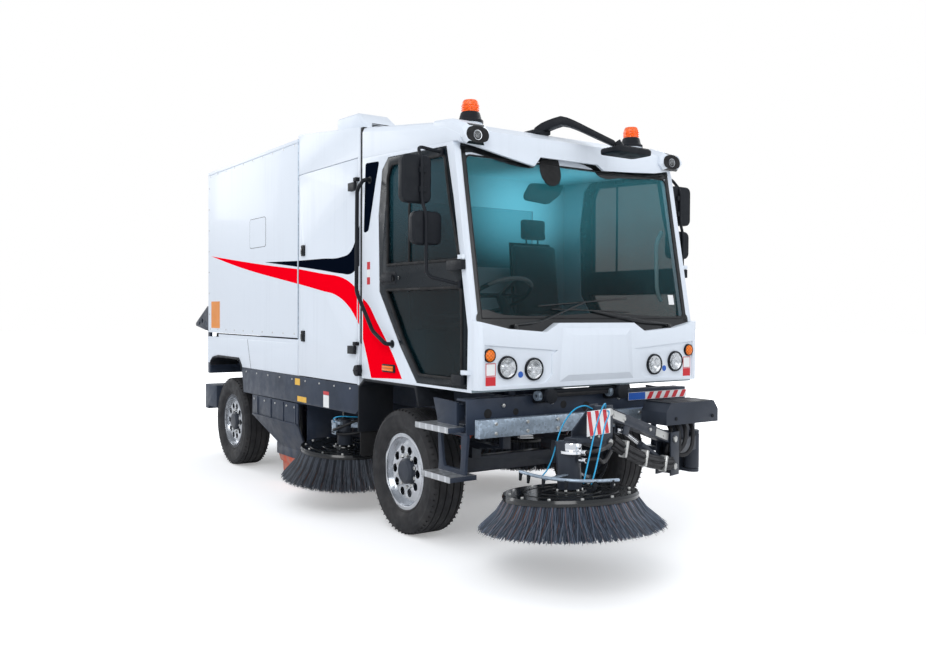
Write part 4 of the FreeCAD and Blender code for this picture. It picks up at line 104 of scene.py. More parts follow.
class Term:
    """A shader socket in an expression, whose operators add Math nodes."""

    def __init__(self, net: "Net", socket: bpy.types.NodeSocket) -> None:
        """Hold an output socket among a material's nodes."""
        self.net = net
        self.socket = socket

    def math(self, operation: str, other: "Value" = 0.0) -> "Term":
        """The result of a Math node on this value and perhaps another."""
        return self.net.add("ShaderNodeMath", {"operation": operation}, {0: self, 1: other})

    def __add__(self, other: "Value") -> "Term":
        """Sum."""
        return self.math("ADD", other)

    def __sub__(self, other: "Value") -> "Term":
        """Difference."""
        return self.math("SUBTRACT", other)

    def __mul__(self, other: "Value") -> "Term":
        """Product."""
        return self.math("MULTIPLY", other)

    def ramp(self, low: float, high: float, start: float = 0.0, end: float = 1.0) -> "Term":
        """Map low..high smoothly to start..end and hold it beyond."""
        return self.net.add("ShaderNodeMapRange", {"interpolation_type": "SMOOTHSTEP"},
                            {0: self, 1: low, 2: high, 3: start, 4: end})


Value = Union[Term, float]


class Net:
    """The nodes of one material or world."""

    def __init__(self, owner: Union[bpy.types.Material, bpy.types.World]) -> None:
        """Start with no nodes.

        Args:
            owner: The material or world that holds the nodes.
        """
        owner.use_nodes = True
        self.tree = owner.node_tree
        self.tree.nodes.clear()

    def principled(self) -> "Net":
        """Add the Principled shader and its output.

        Returns:
            This net.
        """
        self.shader = self.add("ShaderNodeBsdfPrincipled").socket.node
        self.add("ShaderNodeOutputMaterial", None, {"Surface": Term(self, self.shader.outputs[0])})
        return self

    def add(self, kind: str, settings: Optional[dict] = None, values: Optional[dict] = None,
            output: Union[int, str] = 0) -> Optional[Term]:
        """Add any node.

        Args:
            kind: The node's type.
            settings: Its properties, set first; "stops" fills a colour ramp.
            values: Numbers or links for its sockets, by name or index.
            output: The output to return.

        Returns:
            The chosen output, or None for a node without outputs.
        """
        node = self.tree.nodes.new(kind)
        for key, value in (settings or {}).items():
            if key != "stops":
                setattr(node, key, value)
                continue
            for index, (place, colour) in enumerate(value):
                band = node.color_ramp.elements
                stop = band[index] if index < len(band) else band.new(place)
                stop.position, stop.color = place, (*colour, 1)
        for key, value in (values or {}).items():
            self.put(node.inputs[key], value)
        return Term(self, node.outputs[output]) if len(node.outputs) else None

    def put(self, socket: bpy.types.NodeSocket, value: Union[Value, Point]) -> None:
        """Link a term into a socket, or set the socket's own value.

        Args:
            socket: The input to set.
            value: A term, a number, a colour or a vector.
        """
        if isinstance(value, Term):
            self.tree.links.new(value.socket, socket)
        elif hasattr(value, "__len__") and len(socket.default_value) == 4:
            socket.default_value = (*value[:3], 1)
        else:
            socket.default_value = value

    def set(self, **values: Union[Value, Point]) -> None:
        """Set the shader's sockets, named with _ for a space."""
        for key, value in values.items():
            self.put(self.shader.inputs[key.replace("_", " ")], value)

    def place(self, scale: Point = (1, 1, 1)) -> Term:
        """Object coordinates times a factor along each axis."""
        here = self.add("ShaderNodeTexCoord", output="Object")
        return self.add("ShaderNodeMapping", None, {"Vector": here, "Scale": scale})

    def noise(self, scale: float, detail: float = 3.0, where: Optional[Term] = None) -> Term:
        """Noise from 0 to 1.

        Args:
            scale: Cycles a metre.
            detail: Finer layers.
            where: The coordinates, or None for plain Object coordinates.

        Returns:
            The noise.
        """
        return self.add("ShaderNodeTexNoise", None,
                        {"Vector": where or self.place(), "Scale": scale, "Detail": detail})

    def axis(self, letter: str, where: Optional[Term] = None) -> Term:
        """One of the coordinates X, Y or Z."""
        return self.add("ShaderNodeSeparateXYZ", None, {0: where or self.place()}, letter)

    def waves(self, pitch: float, *letters: str) -> Term:
        """Sine waves along the sum of some axes.

        Args:
            pitch: Radians of the wave in a metre.
            letters: The axes to add up.

        Returns:
            The waves, from -1 to 1.
        """
        along = self.axis(letters[0])
        for letter in letters[1:]:
            along = along + self.axis(letter)
        return (along * pitch).math("SINE")

    def mix(self, share: Value, start: Union[Term, Colour], end: Union[Term, Colour]) -> Term:
        """The blend of two colours, all start at share 0 and all end at 1."""
        return self.add("ShaderNodeMix", {"data_type": "RGBA"}, {0: share, 6: start, 7: end}, 2)

    def bump(self, height: Term, depth: float, strength: float = 1.0) -> None:
        """Feed a height from 0 to 1, times a depth in metres, into the shader's normal."""
        self.set(Normal=self.add("ShaderNodeBump", None,
                                 {"Height": height, "Distance": depth, "Strength": strength}))


MADE: dict[str, bpy.types.Material] = {}


@dataclass(frozen=True)
class Finish:
    """A surface with mottled colour and roughness and a fine grain.

    Attributes:
        name: The finish's name.
        slot: The record's material slot that it usually stands for; not used.
        colour: Its main colour.
        rough: Its mean roughness.
        metal: Its Metallic value.
        coat: Its clear coat.
        grain: Cycles a metre of its grain.
        depth: Depth of the grain in metres.
        mottle: How far its colour darkens in patches.
        patch: Cycles a metre of those patches.
        dust: A pale film near the ground, from 0 to 1.
        spec: Its Specular IOR Level.
    """

    name: str
    slot: str
    colour: Colour
    rough: float = 0.4
    metal: float = 0.0
    coat: float = 0.0
    grain: float = 260.0
    depth: float = 0.0002
    mottle: float = 0.12
    patch: float = 3.0
    dust: float = 0.0
    spec: float = 0.4

    def material(self) -> bpy.types.Material:
        """The finish's material, made once.

        Returns:
            The material, the same one on every call.
        """
        if self.name not in MADE:
            MADE[self.name] = bpy.data.materials.new(self.name)
            net = Net(MADE[self.name]).principled()
            net.set(Metallic=self.metal, Coat_Weight=self.coat, Coat_Roughness=0.08,
                    Specular_IOR_Level=self.spec)
            self.paint(net)
        return MADE[self.name]

    def shade(self, share: float) -> Colour:
        """The main colour times a share."""
        return tuple(value * share for value in self.colour)

    def paint(self, net: Net) -> None:
        """Drive the shader's sockets.

        Args:
            net: The material's nodes.
        """
        patches = net.noise(self.patch, 4)
        tone = net.mix(patches.ramp(0.35, 0.7), self.colour, self.shade(1 - self.mottle))
        if self.dust:
            film = net.axis("Z").ramp(0.0, 0.75, self.dust, 0.0) * net.noise(9, 5).ramp(0.35, 0.65)
            tone = net.mix(film, tone, (0.30, 0.27, 0.23))
        matt = net.noise(self.patch * 5, 4).ramp(0.3, 0.7, self.rough * 0.85, min(1, self.rough * 1.2))
        net.set(Base_Color=tone, Roughness=matt)
        net.bump(net.noise(self.grain, 2), self.depth)


@dataclass(frozen=True)
class Paint(Finish):
    """Gloss body paint with faint rain streaks down the panels."""

    streak: float = 0.06

    def paint(self, net: Net) -> None:
        """Drive the shader's sockets.

        Args:
            net: The material's nodes.
        """
        runs = net.noise(1.0, 3, net.place((24, 24, 0.8)))
        veil = runs.ramp(0.45, 0.75) * net.noise(1.4, 3).ramp(0.3, 0.8)
        tone = net.mix(veil * self.streak * 6, self.colour, self.shade(0.86))
        net.set(Base_Color=tone, Roughness=veil.ramp(0, 1, self.rough, self.rough + 0.12))
        net.bump(net.noise(self.grain, 1), self.depth, 0.5)


@dataclass(frozen=True)
class Spangle(Finish):
    """Hot-dip galvanised steel with its crystal flakes."""

    def paint(self, net: Net) -> None:
        """Drive the shader's sockets.

        Args:
            net: The material's nodes.
        """
        flake = net.add("ShaderNodeTexVoronoi", None, {"Vector": net.place(), "Scale": 55.0}, "Color")
        level = net.axis("X", flake)
        tone = net.mix(level, self.colour, self.shade(0.66))
        net.set(Base_Color=tone, Roughness=level.ramp(0, 1, self.rough - 0.1, self.rough + 0.12))
        net.bump(net.noise(self.grain, 2), self.depth)


@dataclass(frozen=True)
class Turned(Finish):
    """Bright steel turned on a lathe about a wheel's axle, with smears of brake dust."""

    def paint(self, net: Net) -> None:
        """Drive the shader's sockets.

        Args:
            net: The material's nodes.
        """
        lines, smear = net.noise(2.0, 4, net.place((1, 260, 1))), net.noise(7, 5)
        tone = net.mix(smear.ramp(0.4, 0.75), self.colour, self.shade(0.62))
        net.set(Base_Color=tone, Roughness=smear.ramp(0.3, 0.8, self.rough, self.rough + 0.2))
        net.bump(lines, self.depth)


@dataclass(frozen=True)
class Checker(Finish):
    """Rolled aluminium tread with raised crossed bars."""

    def paint(self, net: Net) -> None:
        """Drive the shader's sockets.

        Args:
            net: The material's nodes.
        """
        across, along = net.axis("X") * 42, net.axis("Y") * 42
        bars = ((across + along).math("SINE") * (across - along).math("SINE")).ramp(0.1, 0.5)
        net.set(Base_Color=net.mix(bars, self.shade(0.7), self.colour), Roughness=self.rough)
        net.bump(bars, 0.002)


@dataclass(frozen=True)
class Glass(Finish):
    """Tinted pane: thin, glossy and partly clear."""

    clear: float = 0.5

    def paint(self, net: Net) -> None:
        """Drive the shader's sockets, with painted shade towards the foot and painted light and a painted
        sheen higher up.

        Args:
            net: The material's nodes.
        """
        # Painted sheen from noise, and painted light that brightens the pane towards its top; its foot is
        # painted shade.
        painted_sheen = net.noise(1.3, 2).ramp(0.35, 0.75)
        high = net.axis("Z").ramp(1.65, 2.45)
        tone = net.mix(high * 0.8 + painted_sheen * 0.2, self.shade(0.10), self.shade(1.35))
        net.set(Base_Color=tone, Alpha=1 - self.clear,
                Roughness=net.noise(3, 3).ramp(0.3, 0.8, self.rough, self.rough + 0.04))


@dataclass(frozen=True)
class PaintedGlow(Finish):
    """Cabin lining with a painted glow of daylight, emitted high on its rear wall where no lamp is."""

    painted_glow: Colour = (0.0, 0.0, 0.0)

    def paint(self, net: Net) -> None:
        """Drive the shader's sockets.

        Args:
            net: The material's nodes.
        """
        super().paint(net)
        # Painted glow: emission brightest about y 0.42, z 2.36 and fading with distance stands in for
        # daylight in the cabin.
        across, up = net.axis("Y") - 0.42, (net.axis("Z") - 2.36) * 1.3
        glow_falloff = (across * across + up * up).math("SQRT").ramp(0.05, 0.70)
        net.set(Emission_Strength=1.0, Emission_Color=net.mix(glow_falloff, self.painted_glow, (0, 0, 0)))


@dataclass(frozen=True)
class Lens(Finish):
    """Moulded lamp lens or dome with flutes on its inside."""

    flutes: float = 90.0
    clear: float = 0.0
    glow: float = 0.0

    def paint(self, net: Net) -> None:
        """Drive the shader's sockets.

        Args:
            net: The material's nodes.
        """
        grid = (net.waves(self.flutes, "Y") * net.waves(self.flutes, "Z")).ramp(-1, 1)
        net.set(Base_Color=net.mix(grid, self.shade(0.5), self.colour), Roughness=self.rough,
                Alpha=1 - self.clear, Emission_Color=self.colour, Emission_Strength=self.glow)
        net.bump(grid, 0.0015, 0.6)


@dataclass(frozen=True)
class Cloth(Finish):
    """Woven seat cloth with crossed yarns."""

    def paint(self, net: Net) -> None:
        """Drive the shader's sockets.

        Args:
            net: The material's nodes.
        """
        weave = (net.waves(1400, "Y") * net.waves(1400, "X", "Z")).ramp(-0.6, 0.6)
        worn = net.mix(net.noise(5, 4).ramp(0.3, 0.7), self.colour, self.shade(1.5))
        net.set(Base_Color=net.mix(weave, self.shade(0.55), worn), Roughness=0.9, Sheen_Weight=0.3)
        net.bump(weave, 0.0006)


@dataclass(frozen=True)
class Tread(Finish):
    """Tyre rubber, dusty and worn grey towards the ground."""

    def paint(self, net: Net) -> None:
        """Drive the shader's sockets.

        Args:
            net: The material's nodes.
        """
        dusty = net.noise(6, 5).ramp(0.35, 0.75) * net.axis("Z").ramp(0, 0.8, 0.6, 0.15)
        tone = net.mix(dusty, self.colour, (0.055, 0.052, 0.05))
        net.set(Base_Color=tone, Roughness=net.noise(14, 4).ramp(0.3, 0.7, 0.62, 0.86))
        net.bump(net.noise(240, 3), 0.0004)


@dataclass(frozen=True)
class Strand(Finish):
    """Brush bristle, each wire with its own shade of grey blue and some rusty ones."""

    def paint(self, net: Net) -> None:
        """Drive the shader's sockets.

        Args:
            net: The material's nodes.
        """
        own = net.add("ShaderNodeAttribute", {"attribute_name": "strand"}, None, "Fac")
        stops = ((0.0, self.shade(0.35)), (0.55, self.colour), (0.9, self.shade(2.1)),
                 (0.97, (0.16, 0.06, 0.03)))
        tone = net.add("ShaderNodeValToRGB", {"stops": stops}, {0: own})
        low = net.noise(30, 3).ramp(0.4, 0.8) * 0.35
        net.set(Base_Color=net.mix(low, tone, self.shade(0.5)), Roughness=self.rough)


class Trim:
    """The machine's finishes."""

    WHITE = Paint("gloss_white", "white_paint", (0.725, 0.775, 0.84), rough=0.42, coat=0.10, spec=0.25,
                  grain=180, depth=0.0001)
    RED = Paint("stripe_red", "white_paint", (0.95, 0.0, 0.010), rough=0.6, spec=0.0, streak=0.02)
    NAVY = Paint("stripe_navy", "white_paint", (0.002, 0.004, 0.010), rough=0.6, spec=0.0, streak=0.02)
    DARK = Finish("satin_anthracite", "dark_paint", (0.032, 0.044, 0.070), rough=0.42, spec=0.25, grain=420,
                  mottle=0.25, dust=0.25)
    ARM = Finish("satin_graphite", "arm_paint", (0.030, 0.037, 0.052), rough=0.38, spec=0.3, grain=420,
                 mottle=0.25, dust=0.1)
    GEAR = replace(ARM, slot="dark_paint")
    # Painted glow: the cabin lining emits teal light in place of daylight falling inside the cab.
    CABIN = PaintedGlow("cabin_grey", "white_paint", (0.30, 0.37, 0.40), rough=0.7, painted_glow=(0.19, 0.78, 1.02),
                   grain=120, depth=0.0001)
    DASH = Finish("dash_grey", "black_plastic", (0.13, 0.15, 0.16), rough=0.6, grain=120, depth=0.0001)
    PALE = Finish("cabin_pale", "black_plastic", (0.42, 0.60, 0.62), rough=0.6, grain=500, depth=0.0003)
    GALV = Spangle("galvanised", "galvanised", (0.44, 0.53, 0.63), rough=0.42, metal=0.75)
    STEEL = Turned("polished_steel", "wheel_steel", (0.60, 0.62, 0.65), rough=0.13, metal=1.0, depth=0.00003)
    CHROME = Finish("chrome", "cylinder_steel", (0.85, 0.86, 0.88), rough=0.08, metal=1.0, mottle=0.05,
                    depth=0.00002)
    ZINC = Finish("zinc_plated", "galvanised", (0.60, 0.60, 0.58), rough=0.32, metal=0.9, mottle=0.2)
    CHECKER = Checker("tread_plate", "galvanised", (0.72, 0.74, 0.76), rough=0.35, metal=0.85)
    BLACK = Finish("moulded_black", "black_plastic", (0.009, 0.011, 0.015), rough=0.5, spec=0.2, grain=900,
                   depth=0.0004)
    GLOSS = Finish("gloss_black", "black_plastic", (0.008, 0.009, 0.010), rough=0.16, coat=0.3, grain=200,
                   depth=0.00003)
    FRAME = Finish("door_black", "black_plastic", (0.004, 0.008, 0.012), rough=0.30, spec=0.15, grain=300,
                   depth=0.00005)
    SEAL = Finish("seal_rubber", "black_plastic", (0.010, 0.010, 0.011), rough=0.7, grain=700, depth=0.0003)
    TYRE = Tread("tyre_rubber", "tyre_rubber", (0.016, 0.016, 0.018))
    CURTAIN = Finish("curtain_rubber", "curtain_rubber", (0.62, 0.075, 0.02), rough=0.6, dust=0.7)
    # The Glass finish paints shade low on the pane and light and sheen high on it.
    PANE = Glass("teal_glass", "tinted_glass", (0.026, 0.165, 0.195), rough=0.02, clear=0.68, spec=0.3)
    # Painted glow: the rear glass emits light in place of daylight seen through it.
    REAR_PANE = PaintedGlow("painted_glow_rear_glass", "tinted_glass", (0.02, 0.08, 0.10), rough=0.12,
                       painted_glow=(0.13, 0.56, 0.74), depth=0.00001)
    DOOR_PANE = Glass("dark_teal_glass", "tinted_glass", (0.013, 0.052, 0.068), rough=0.02, clear=0.36,
                      spec=0.2)
    CLEAR = Lens("clear_lens", "lamp_lens", (0.80, 0.84, 0.86), rough=0.04, flutes=120, clear=0.78)
    AMBER = Lens("amber_lens", "lamp_lens", (0.90, 0.19, 0.010), rough=0.12, flutes=260, glow=0.12)
    ORANGE = Lens("orange_dome", "lamp_lens", (0.95, 0.13, 0.004), rough=0.12, flutes=230, glow=0.30,
                  clear=0.2)
    TAIL = Lens("red_lens", "lamp_lens", (0.62, 0.008, 0.006), rough=0.12, flutes=260, glow=0.05)
    CLOTH = Cloth("seat_cloth", "seat_fabric", (0.020, 0.027, 0.034))
    BRISTLE = Strand("bristle", "bristle", (0.066, 0.084, 0.116), rough=0.5)
    BRISTLE_SIDE = Strand("side_bristle", "bristle", (0.056, 0.064, 0.078), rough=0.55)
    HOSE = Finish("black_hose", "black_plastic", (0.014, 0.014, 0.016), rough=0.55, grain=900, depth=0.0003)
    BLUE_HOSE = Finish("blue_hose", "black_plastic", (0.01, 0.36, 0.66), rough=0.3)
    LABEL_RED = Finish("label_red", "white_paint", (0.62, 0.02, 0.03), rough=0.35)
    LABEL_WHITE = Finish("label_white", "white_paint", (0.85, 0.86, 0.86), rough=0.35)
    LABEL_ORANGE = Finish("label_orange", "white_paint", (0.85, 0.27, 0.02), rough=0.35)
    LABEL_YELLOW = Finish("label_yellow", "white_paint", (0.85, 0.48, 0.03), rough=0.35)
    LABEL_BLUE = Finish("label_blue", "white_paint", (0.02, 0.12, 0.52), rough=0.35)


def creases(part: bmesh.types.BMesh, angle: float) -> list[bmesh.types.BMEdge]:
    """The edges whose two faces turn by more than an angle in degrees."""
    return [edge for edge in part.edges
            if len(edge.link_faces) == 2 and edge.calc_face_angle(0) > math.radians(angle)]


def round_off(part: bmesh.types.BMesh, geom: list, width: float, segments: int,
              affect: str = "EDGES") -> None:
    """Round some of a mesh's edges or corners by a width, in a few steps."""
    bmesh.ops.bevel(part, geom=geom, offset=width, offset_type="OFFSET", segments=segments, profile=0.5,
                    affect=affect, material=-1, clamp_overlap=True)


def spline(knots: int, radius: float, sides: int, steps: int) -> tuple[bpy.types.Curve, bpy.types.Spline]:
    """Start a Bezier curve.

    Args:
        knots: Its number of points.
        radius: Its thickness as a tube, or 0.
        sides: Quarter of the faces round the tube.
        steps: Steps from knot to knot.

    Returns:
        The curve and its only spline.
    """
    path = bpy.data.curves.new("path", "CURVE")
    path.dimensions, path.use_fill_caps = "3D", radius > 0
    path.bevel_depth, path.bevel_resolution, path.resolution_u = radius, sides, steps
    line = path.splines.new("BEZIER")
    line.bezier_points.add(knots - 1)
    return path, line


def rect(low: Point, high: Point) -> list[Point]:
    """The corners of an upright rectangle, sharp ones in a decal."""
    return [(low[0], low[1], 1), (high[0], low[1], 1), (high[0], high[1], 1), (low[0], high[1], 1)]


class Form:
    """A mesh in the making, measured from the front axle's centre line."""

    def __init__(self, mesh: Optional[bmesh.types.BMesh] = None) -> None:
        """Start from a mesh, or empty."""
        self.mesh = mesh or bmesh.new()

    def join(self, part: bmesh.types.BMesh) -> "Form":
        """Add a mesh, which is used up.

        Args:
            part: The mesh, in this form's coordinates.

        Returns:
            This form.
        """
        scrap = bpy.data.meshes.new("scrap")
        part.to_mesh(scrap)
        part.free()
        self.mesh.from_mesh(scrap)
        bpy.data.meshes.remove(scrap)
        return self

    def take(self, part: bmesh.types.BMesh, bevel: float = 0.0, segments: int = 2,
             angle: float = 30.0) -> "Form":
        """Round a closed part's edges and add it.

        Args:
            part: The part, used up here.
            bevel: Width of the rounding.
            segments: Steps across the rounding.
            angle: Only edges that turn by more than this many degrees are rounded.

        Returns:
            This form.
        """
        bmesh.ops.recalc_face_normals(part, faces=part.faces)
        if bevel:
            round_off(part, creases(part, angle), bevel, segments)
        return self.join(part)

    def block(self, low: Point, high: Point, bevel: float = 0.0, segments: int = 2) -> "Form":
        """Add a box from corner to corner.

        Args:
            low: Its corner with the lowest coordinates.
            high: The opposite corner.
            bevel: Width of the bevel on its edges, none at 0.
            segments: Steps in the bevel.

        Returns:
            This form.
        """
        part = bmesh.new()
        bmesh.ops.create_cube(part, size=1)
        low, high = Vector(low), Vector(high)
        bmesh.ops.scale(part, vec=high - low, verts=part.verts)
        bmesh.ops.translate(part, vec=(low + high) / 2, verts=part.verts)
        return self.take(part, bevel, segments)

    def rod(self, start: Point, end: Point, radius: float, tip: Optional[float] = None, sides: int = 20,
            bevel: float = 0.0) -> "Form":
        """Add a round bar or cone between two points.

        Args:
            start: Middle of its first end.
            end: Middle of its other end.
            radius: Radius at the first end.
            tip: Radius at the other end, or None for the same.
            sides: Faces round it.
            bevel: Rounding of its rims.

        Returns:
            This form.
        """
        start, end = Vector(start), Vector(end)
        part = bmesh.new()
        turn = Vector(UP).rotation_difference(end - start).to_matrix().to_4x4()
        bmesh.ops.create_cone(part, cap_ends=True, segments=sides, radius1=radius,
                              radius2=radius if tip is None else tip, depth=(end - start).length,
                              matrix=Matrix.Translation((start + end) / 2) @ turn)
        return self.take(part, bevel, 2, 50)

    def studs(self, feet: Sequence[Point], rise: Point, radius: float, tip: Optional[float] = None,
              sides: int = 6, bevel: float = 0.001) -> "Form":
        """Add a bolt or screw head on each of some points.

        Args:
            feet: Middles of the heads' feet.
            rise: The step from a foot to its top.
            radius: Radius at the foot.
            tip: Radius at the top, or None for a millimetre less.
            sides: Faces round a head.
            bevel: Rounding of its rims.

        Returns:
            This form.
        """
        for foot in feet:
            top = [a + b for a, b in zip(foot, rise)]
            self.rod(foot, top, radius, radius - 0.001 if tip is None else tip, sides, bevel)
        return self

    def plate(self, plane: Plane, points: Sequence[Point], low: float, high: float, bevel: float = 0.0,
              segments: int = 2, corner: float = 0.0) -> "Form":
        """Add a flat outline pushed from one level to another.

        Args:
            plane: The outline's plane.
            points: Its corners, in order.
            low: The lower level.
            high: The upper level.
            bevel: Rounding of every edge.
            segments: Steps across the rounding.
            corner: Rounding of the outline's own corners, made first.

        Returns:
            This form.
        """
        part = bmesh.new()
        first, second, third = plane.value
        spots = []
        for across, up, *_ in points:
            spot = [0.0, 0.0, 0.0]
            spot[first], spot[second], spot[third] = across, up, low
            spots.append(part.verts.new(spot))
        face = part.faces.new(spots)
        if corner:
            round_off(part, list(part.verts), corner, 4, "VERTICES")
            face = part.faces[:][0]
        grown = bmesh.ops.extrude_face_region(part, geom=[face])["geom"]
        push = Vector(ORIGIN)
        push[third] = high - low
        bmesh.ops.translate(part, vec=push, verts=[v for v in grown if isinstance(v, bmesh.types.BMVert)])
        return self.take(part, bevel, segments, 40 if corner else 20)

    def lathe(self, profile: Sequence[Point], at: Point, axis: Point = UP, sides: int = 48) -> "Form":
        """Add a profile spun all round an axis.

        Args:
            profile: Points (radius, along the axis), from pole to pole.
            at: The axis's origin.
            axis: Its direction.
            sides: Faces round it.

        Returns:
            This form.
        """
        part = bmesh.new()
        spots = [part.verts.new((radius, 0, along)) for radius, along in profile]
        runs = [part.edges.new(pair) for pair in zip(spots, spots[1:])]
        bmesh.ops.spin(part, geom=spots + runs, cent=ORIGIN, axis=UP, angle=math.tau, steps=sides,
                       use_merge=True, use_duplicate=False)
        bmesh.ops.remove_doubles(part, verts=part.verts, dist=1e-6)
        turn = Vector(UP).rotation_difference(Vector(axis)).to_matrix()
        bmesh.ops.rotate(part, cent=ORIGIN, matrix=turn, verts=part.verts)
        bmesh.ops.translate(part, vec=at, verts=part.verts)
        return self.take(part)

    def pipe(self, points: Sequence[Point], radius: float, bend: float = 0.03, sides: int = 4) -> "Form":
        """Add a bent tube whose corners are rounded.

        Args:
            points: The corners of its centre line.
            radius: The tube's radius.
            bend: How far from each corner its bend starts.
            sides: Quarter of the faces round the tube.

        Returns:
            This form.
        """
        spots = [Vector(point) for point in points]
        marks = [(spots[0], None)]
        for before, here, after in zip(spots, spots[1:], spots[2:]):
            reach = min(bend, (before - here).length * 0.48, (after - here).length * 0.48)
            marks += [(here + (end - here).normalized() * reach, here) for end in (before, after)]
        marks.append((spots[-1], None))
        path, line = spline(len(marks), radius, sides, 6)
        for number, (knot, (spot, corner)) in enumerate(zip(line.bezier_points, marks)):
            knot.co = spot
            knot.handle_left_type = knot.handle_right_type = "FREE"
            knot.handle_left = knot.handle_right = spot
            if corner is not None:
                toward = spot + (corner - spot) * 0.56
                setattr(knot, "handle_right" if number % 2 else "handle_left", toward)
        return self.curve(path)

    def hose(self, points: Sequence[Point], radius: float) -> "Form":
        """Add a hose that bends smoothly through its points.

        Args:
            points: Where it runs, from end to end.
            radius: Its radius.

        Returns:
            This form.
        """
        path, line = spline(len(points), radius, 3, 8)
        for knot, spot in zip(line.bezier_points, points):
            knot.co = spot
            knot.handle_left_type = knot.handle_right_type = "AUTO"
        return self.curve(path)

    def decal(self, plane: Plane, points: Sequence[Point], level: float) -> "Form":
        """Add a thin film with a smooth outline.

        Args:
            plane: The film's plane.
            points: Points (across, up), with a third value of 1 at a sharp corner.
            level: The film's middle along the plane's axis.

        Returns:
            This form.
        """
        path, line = spline(len(points), 0.0, 0, 10)
        path.dimensions, path.fill_mode, path.extrude = "2D", "BOTH", FILM_HALF
        line.use_cyclic_u = True
        for knot, (across, up, *sharp) in zip(line.bezier_points, points):
            knot.co = (across, up, 0)
            knot.handle_left_type = knot.handle_right_type = "VECTOR" if any(sharp) else "AUTO"
        turn = Matrix.Scale(0, 4)
        for column, axis in enumerate(plane.value):
            turn[axis][column] = 1
        turn[plane.value[2]][3], turn[3][3] = level, 1
        return self.curve(path, turn)

    def curve(self, path: bpy.types.Curve, turn: Optional[Matrix] = None) -> "Form":
        """Make a curve a mesh, used up here, and add it where a matrix carries it.

        Args:
            path: The curve.
            turn: The matrix; without one the curve stays where it is.

        Returns:
            This form.
        """
        holder = bpy.data.objects.new("holder", path)
        bpy.context.scene.collection.objects.link(holder)
        bpy.context.view_layer.update()
        seen = bpy.context.evaluated_depsgraph_get()
        made = bpy.data.meshes.new_from_object(holder.evaluated_get(seen))
        bpy.data.objects.remove(holder)
        bpy.data.curves.remove(path)
        part = bmesh.new()
        part.from_mesh(made)
        bpy.data.meshes.remove(made)
        bmesh.ops.remove_doubles(part, verts=part.verts, dist=1e-6)
        part.transform(turn or Matrix.Identity(4))
        return self.take(part)

    def turn(self, degrees: float, axis: Point, about: Point = ORIGIN) -> "Form":
        """Turn everything so far about an axis through a point.

        Args:
            degrees: How far, by the right-hand rule.
            axis: The axis's direction.
            about: A point on the axis.

        Returns:
            This form.
        """
        matrix = Matrix.Rotation(math.radians(degrees), 3, Vector(axis))
        bmesh.ops.rotate(self.mesh, cent=about, matrix=matrix, verts=self.mesh.verts)
        return self

    def shift(self, step: Point) -> "Form":
        """Move everything so far."""
        bmesh.ops.translate(self.mesh, vec=step, verts=self.mesh.verts)
        return self

    def copy(self) -> "Form":
        """A copy of this form."""
        return Form(self.mesh.copy())

    def other(self) -> "Form":
        """Turn this form into its mirror image across the machine's middle.

        Returns:
            This form.
        """
        self.mesh.transform(Matrix.Scale(-1, 4, LEFT))
        bmesh.ops.reverse_faces(self.mesh, faces=self.mesh.faces)
        return self

    def both(self) -> "Form":
        """Add the mirror image on the other side of the machine."""
        return self.join(self.copy().other().mesh)

    def ring(self, count: int, axis: Point, about: Point = ORIGIN) -> "Form":
        """Repeat everything so far all round an axis, to a number in all.

        Args:
            count: How many there are in the end.
            axis: The axis's direction.
            about: A point on the axis.

        Returns:
            This form.
        """
        base = self.copy()
        for number in range(1, count):
            self.join(base.copy().turn(360 * number / count, axis, about).mesh)
        base.mesh.free()
        return self


def finish(name: str, form: Form, coat: Finish, body: str = "chassis",
           replaces: Sequence[str] = (), smooth: float = 38.0, here: bool = False) -> bpy.types.Object:
    """Make a form an object, dress it and let it ride a body.

    Args:
        name: The piece's name.
        form: Its shape, used up here.
        coat: Its finish.
        body: The CAD body that it moves with.
        replaces: CAD nodes that it stands for.
        smooth: Edges that turn by less than this many degrees look smooth.
        here: True if the form is already in the machine's frame.

    Returns:
        The finished object.
    """
    if not here:
        form.shift((AXLE_X, 0, 0))
    mesh = bpy.data.meshes.new(name)
    form.mesh.to_mesh(mesh)
    form.mesh.free()
    mesh.materials.clear()
    mesh.materials.append(coat.material())
    mesh.shade_smooth()
    mesh.set_sharp_from_angle(angle=math.radians(smooth))
    thing = bpy.data.objects.new(name, mesh)
    bpy.context.scene.collection.objects.link(thing)
    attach(thing, body)
    if replaces:
        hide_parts(*replaces)
    log.info("%s: %d faces on %s", name, len(mesh.polygons), body)
    return thing


def finish_pair(name: str, form: Form, coat: Finish, body: str,
                replaces: Sequence[str] = ()) -> None:
    """Finish a right-hand form and its mirror image on a right and a left body.

    Args:
        name: The pieces' name without the side.
        form: The right-hand shape.
        coat: Their finish.
        body: The bodies' name without the side.
        replaces: Names, without the side, of the CAD nodes that they stand for.
    """
    for (tag, _), shape in zip(HANDS, (form.copy(), form.other())):
        finish(f"{name}_{tag}", shape, coat, f"{body}_{tag}", [f"{node}_{tag}" for node in replaces])


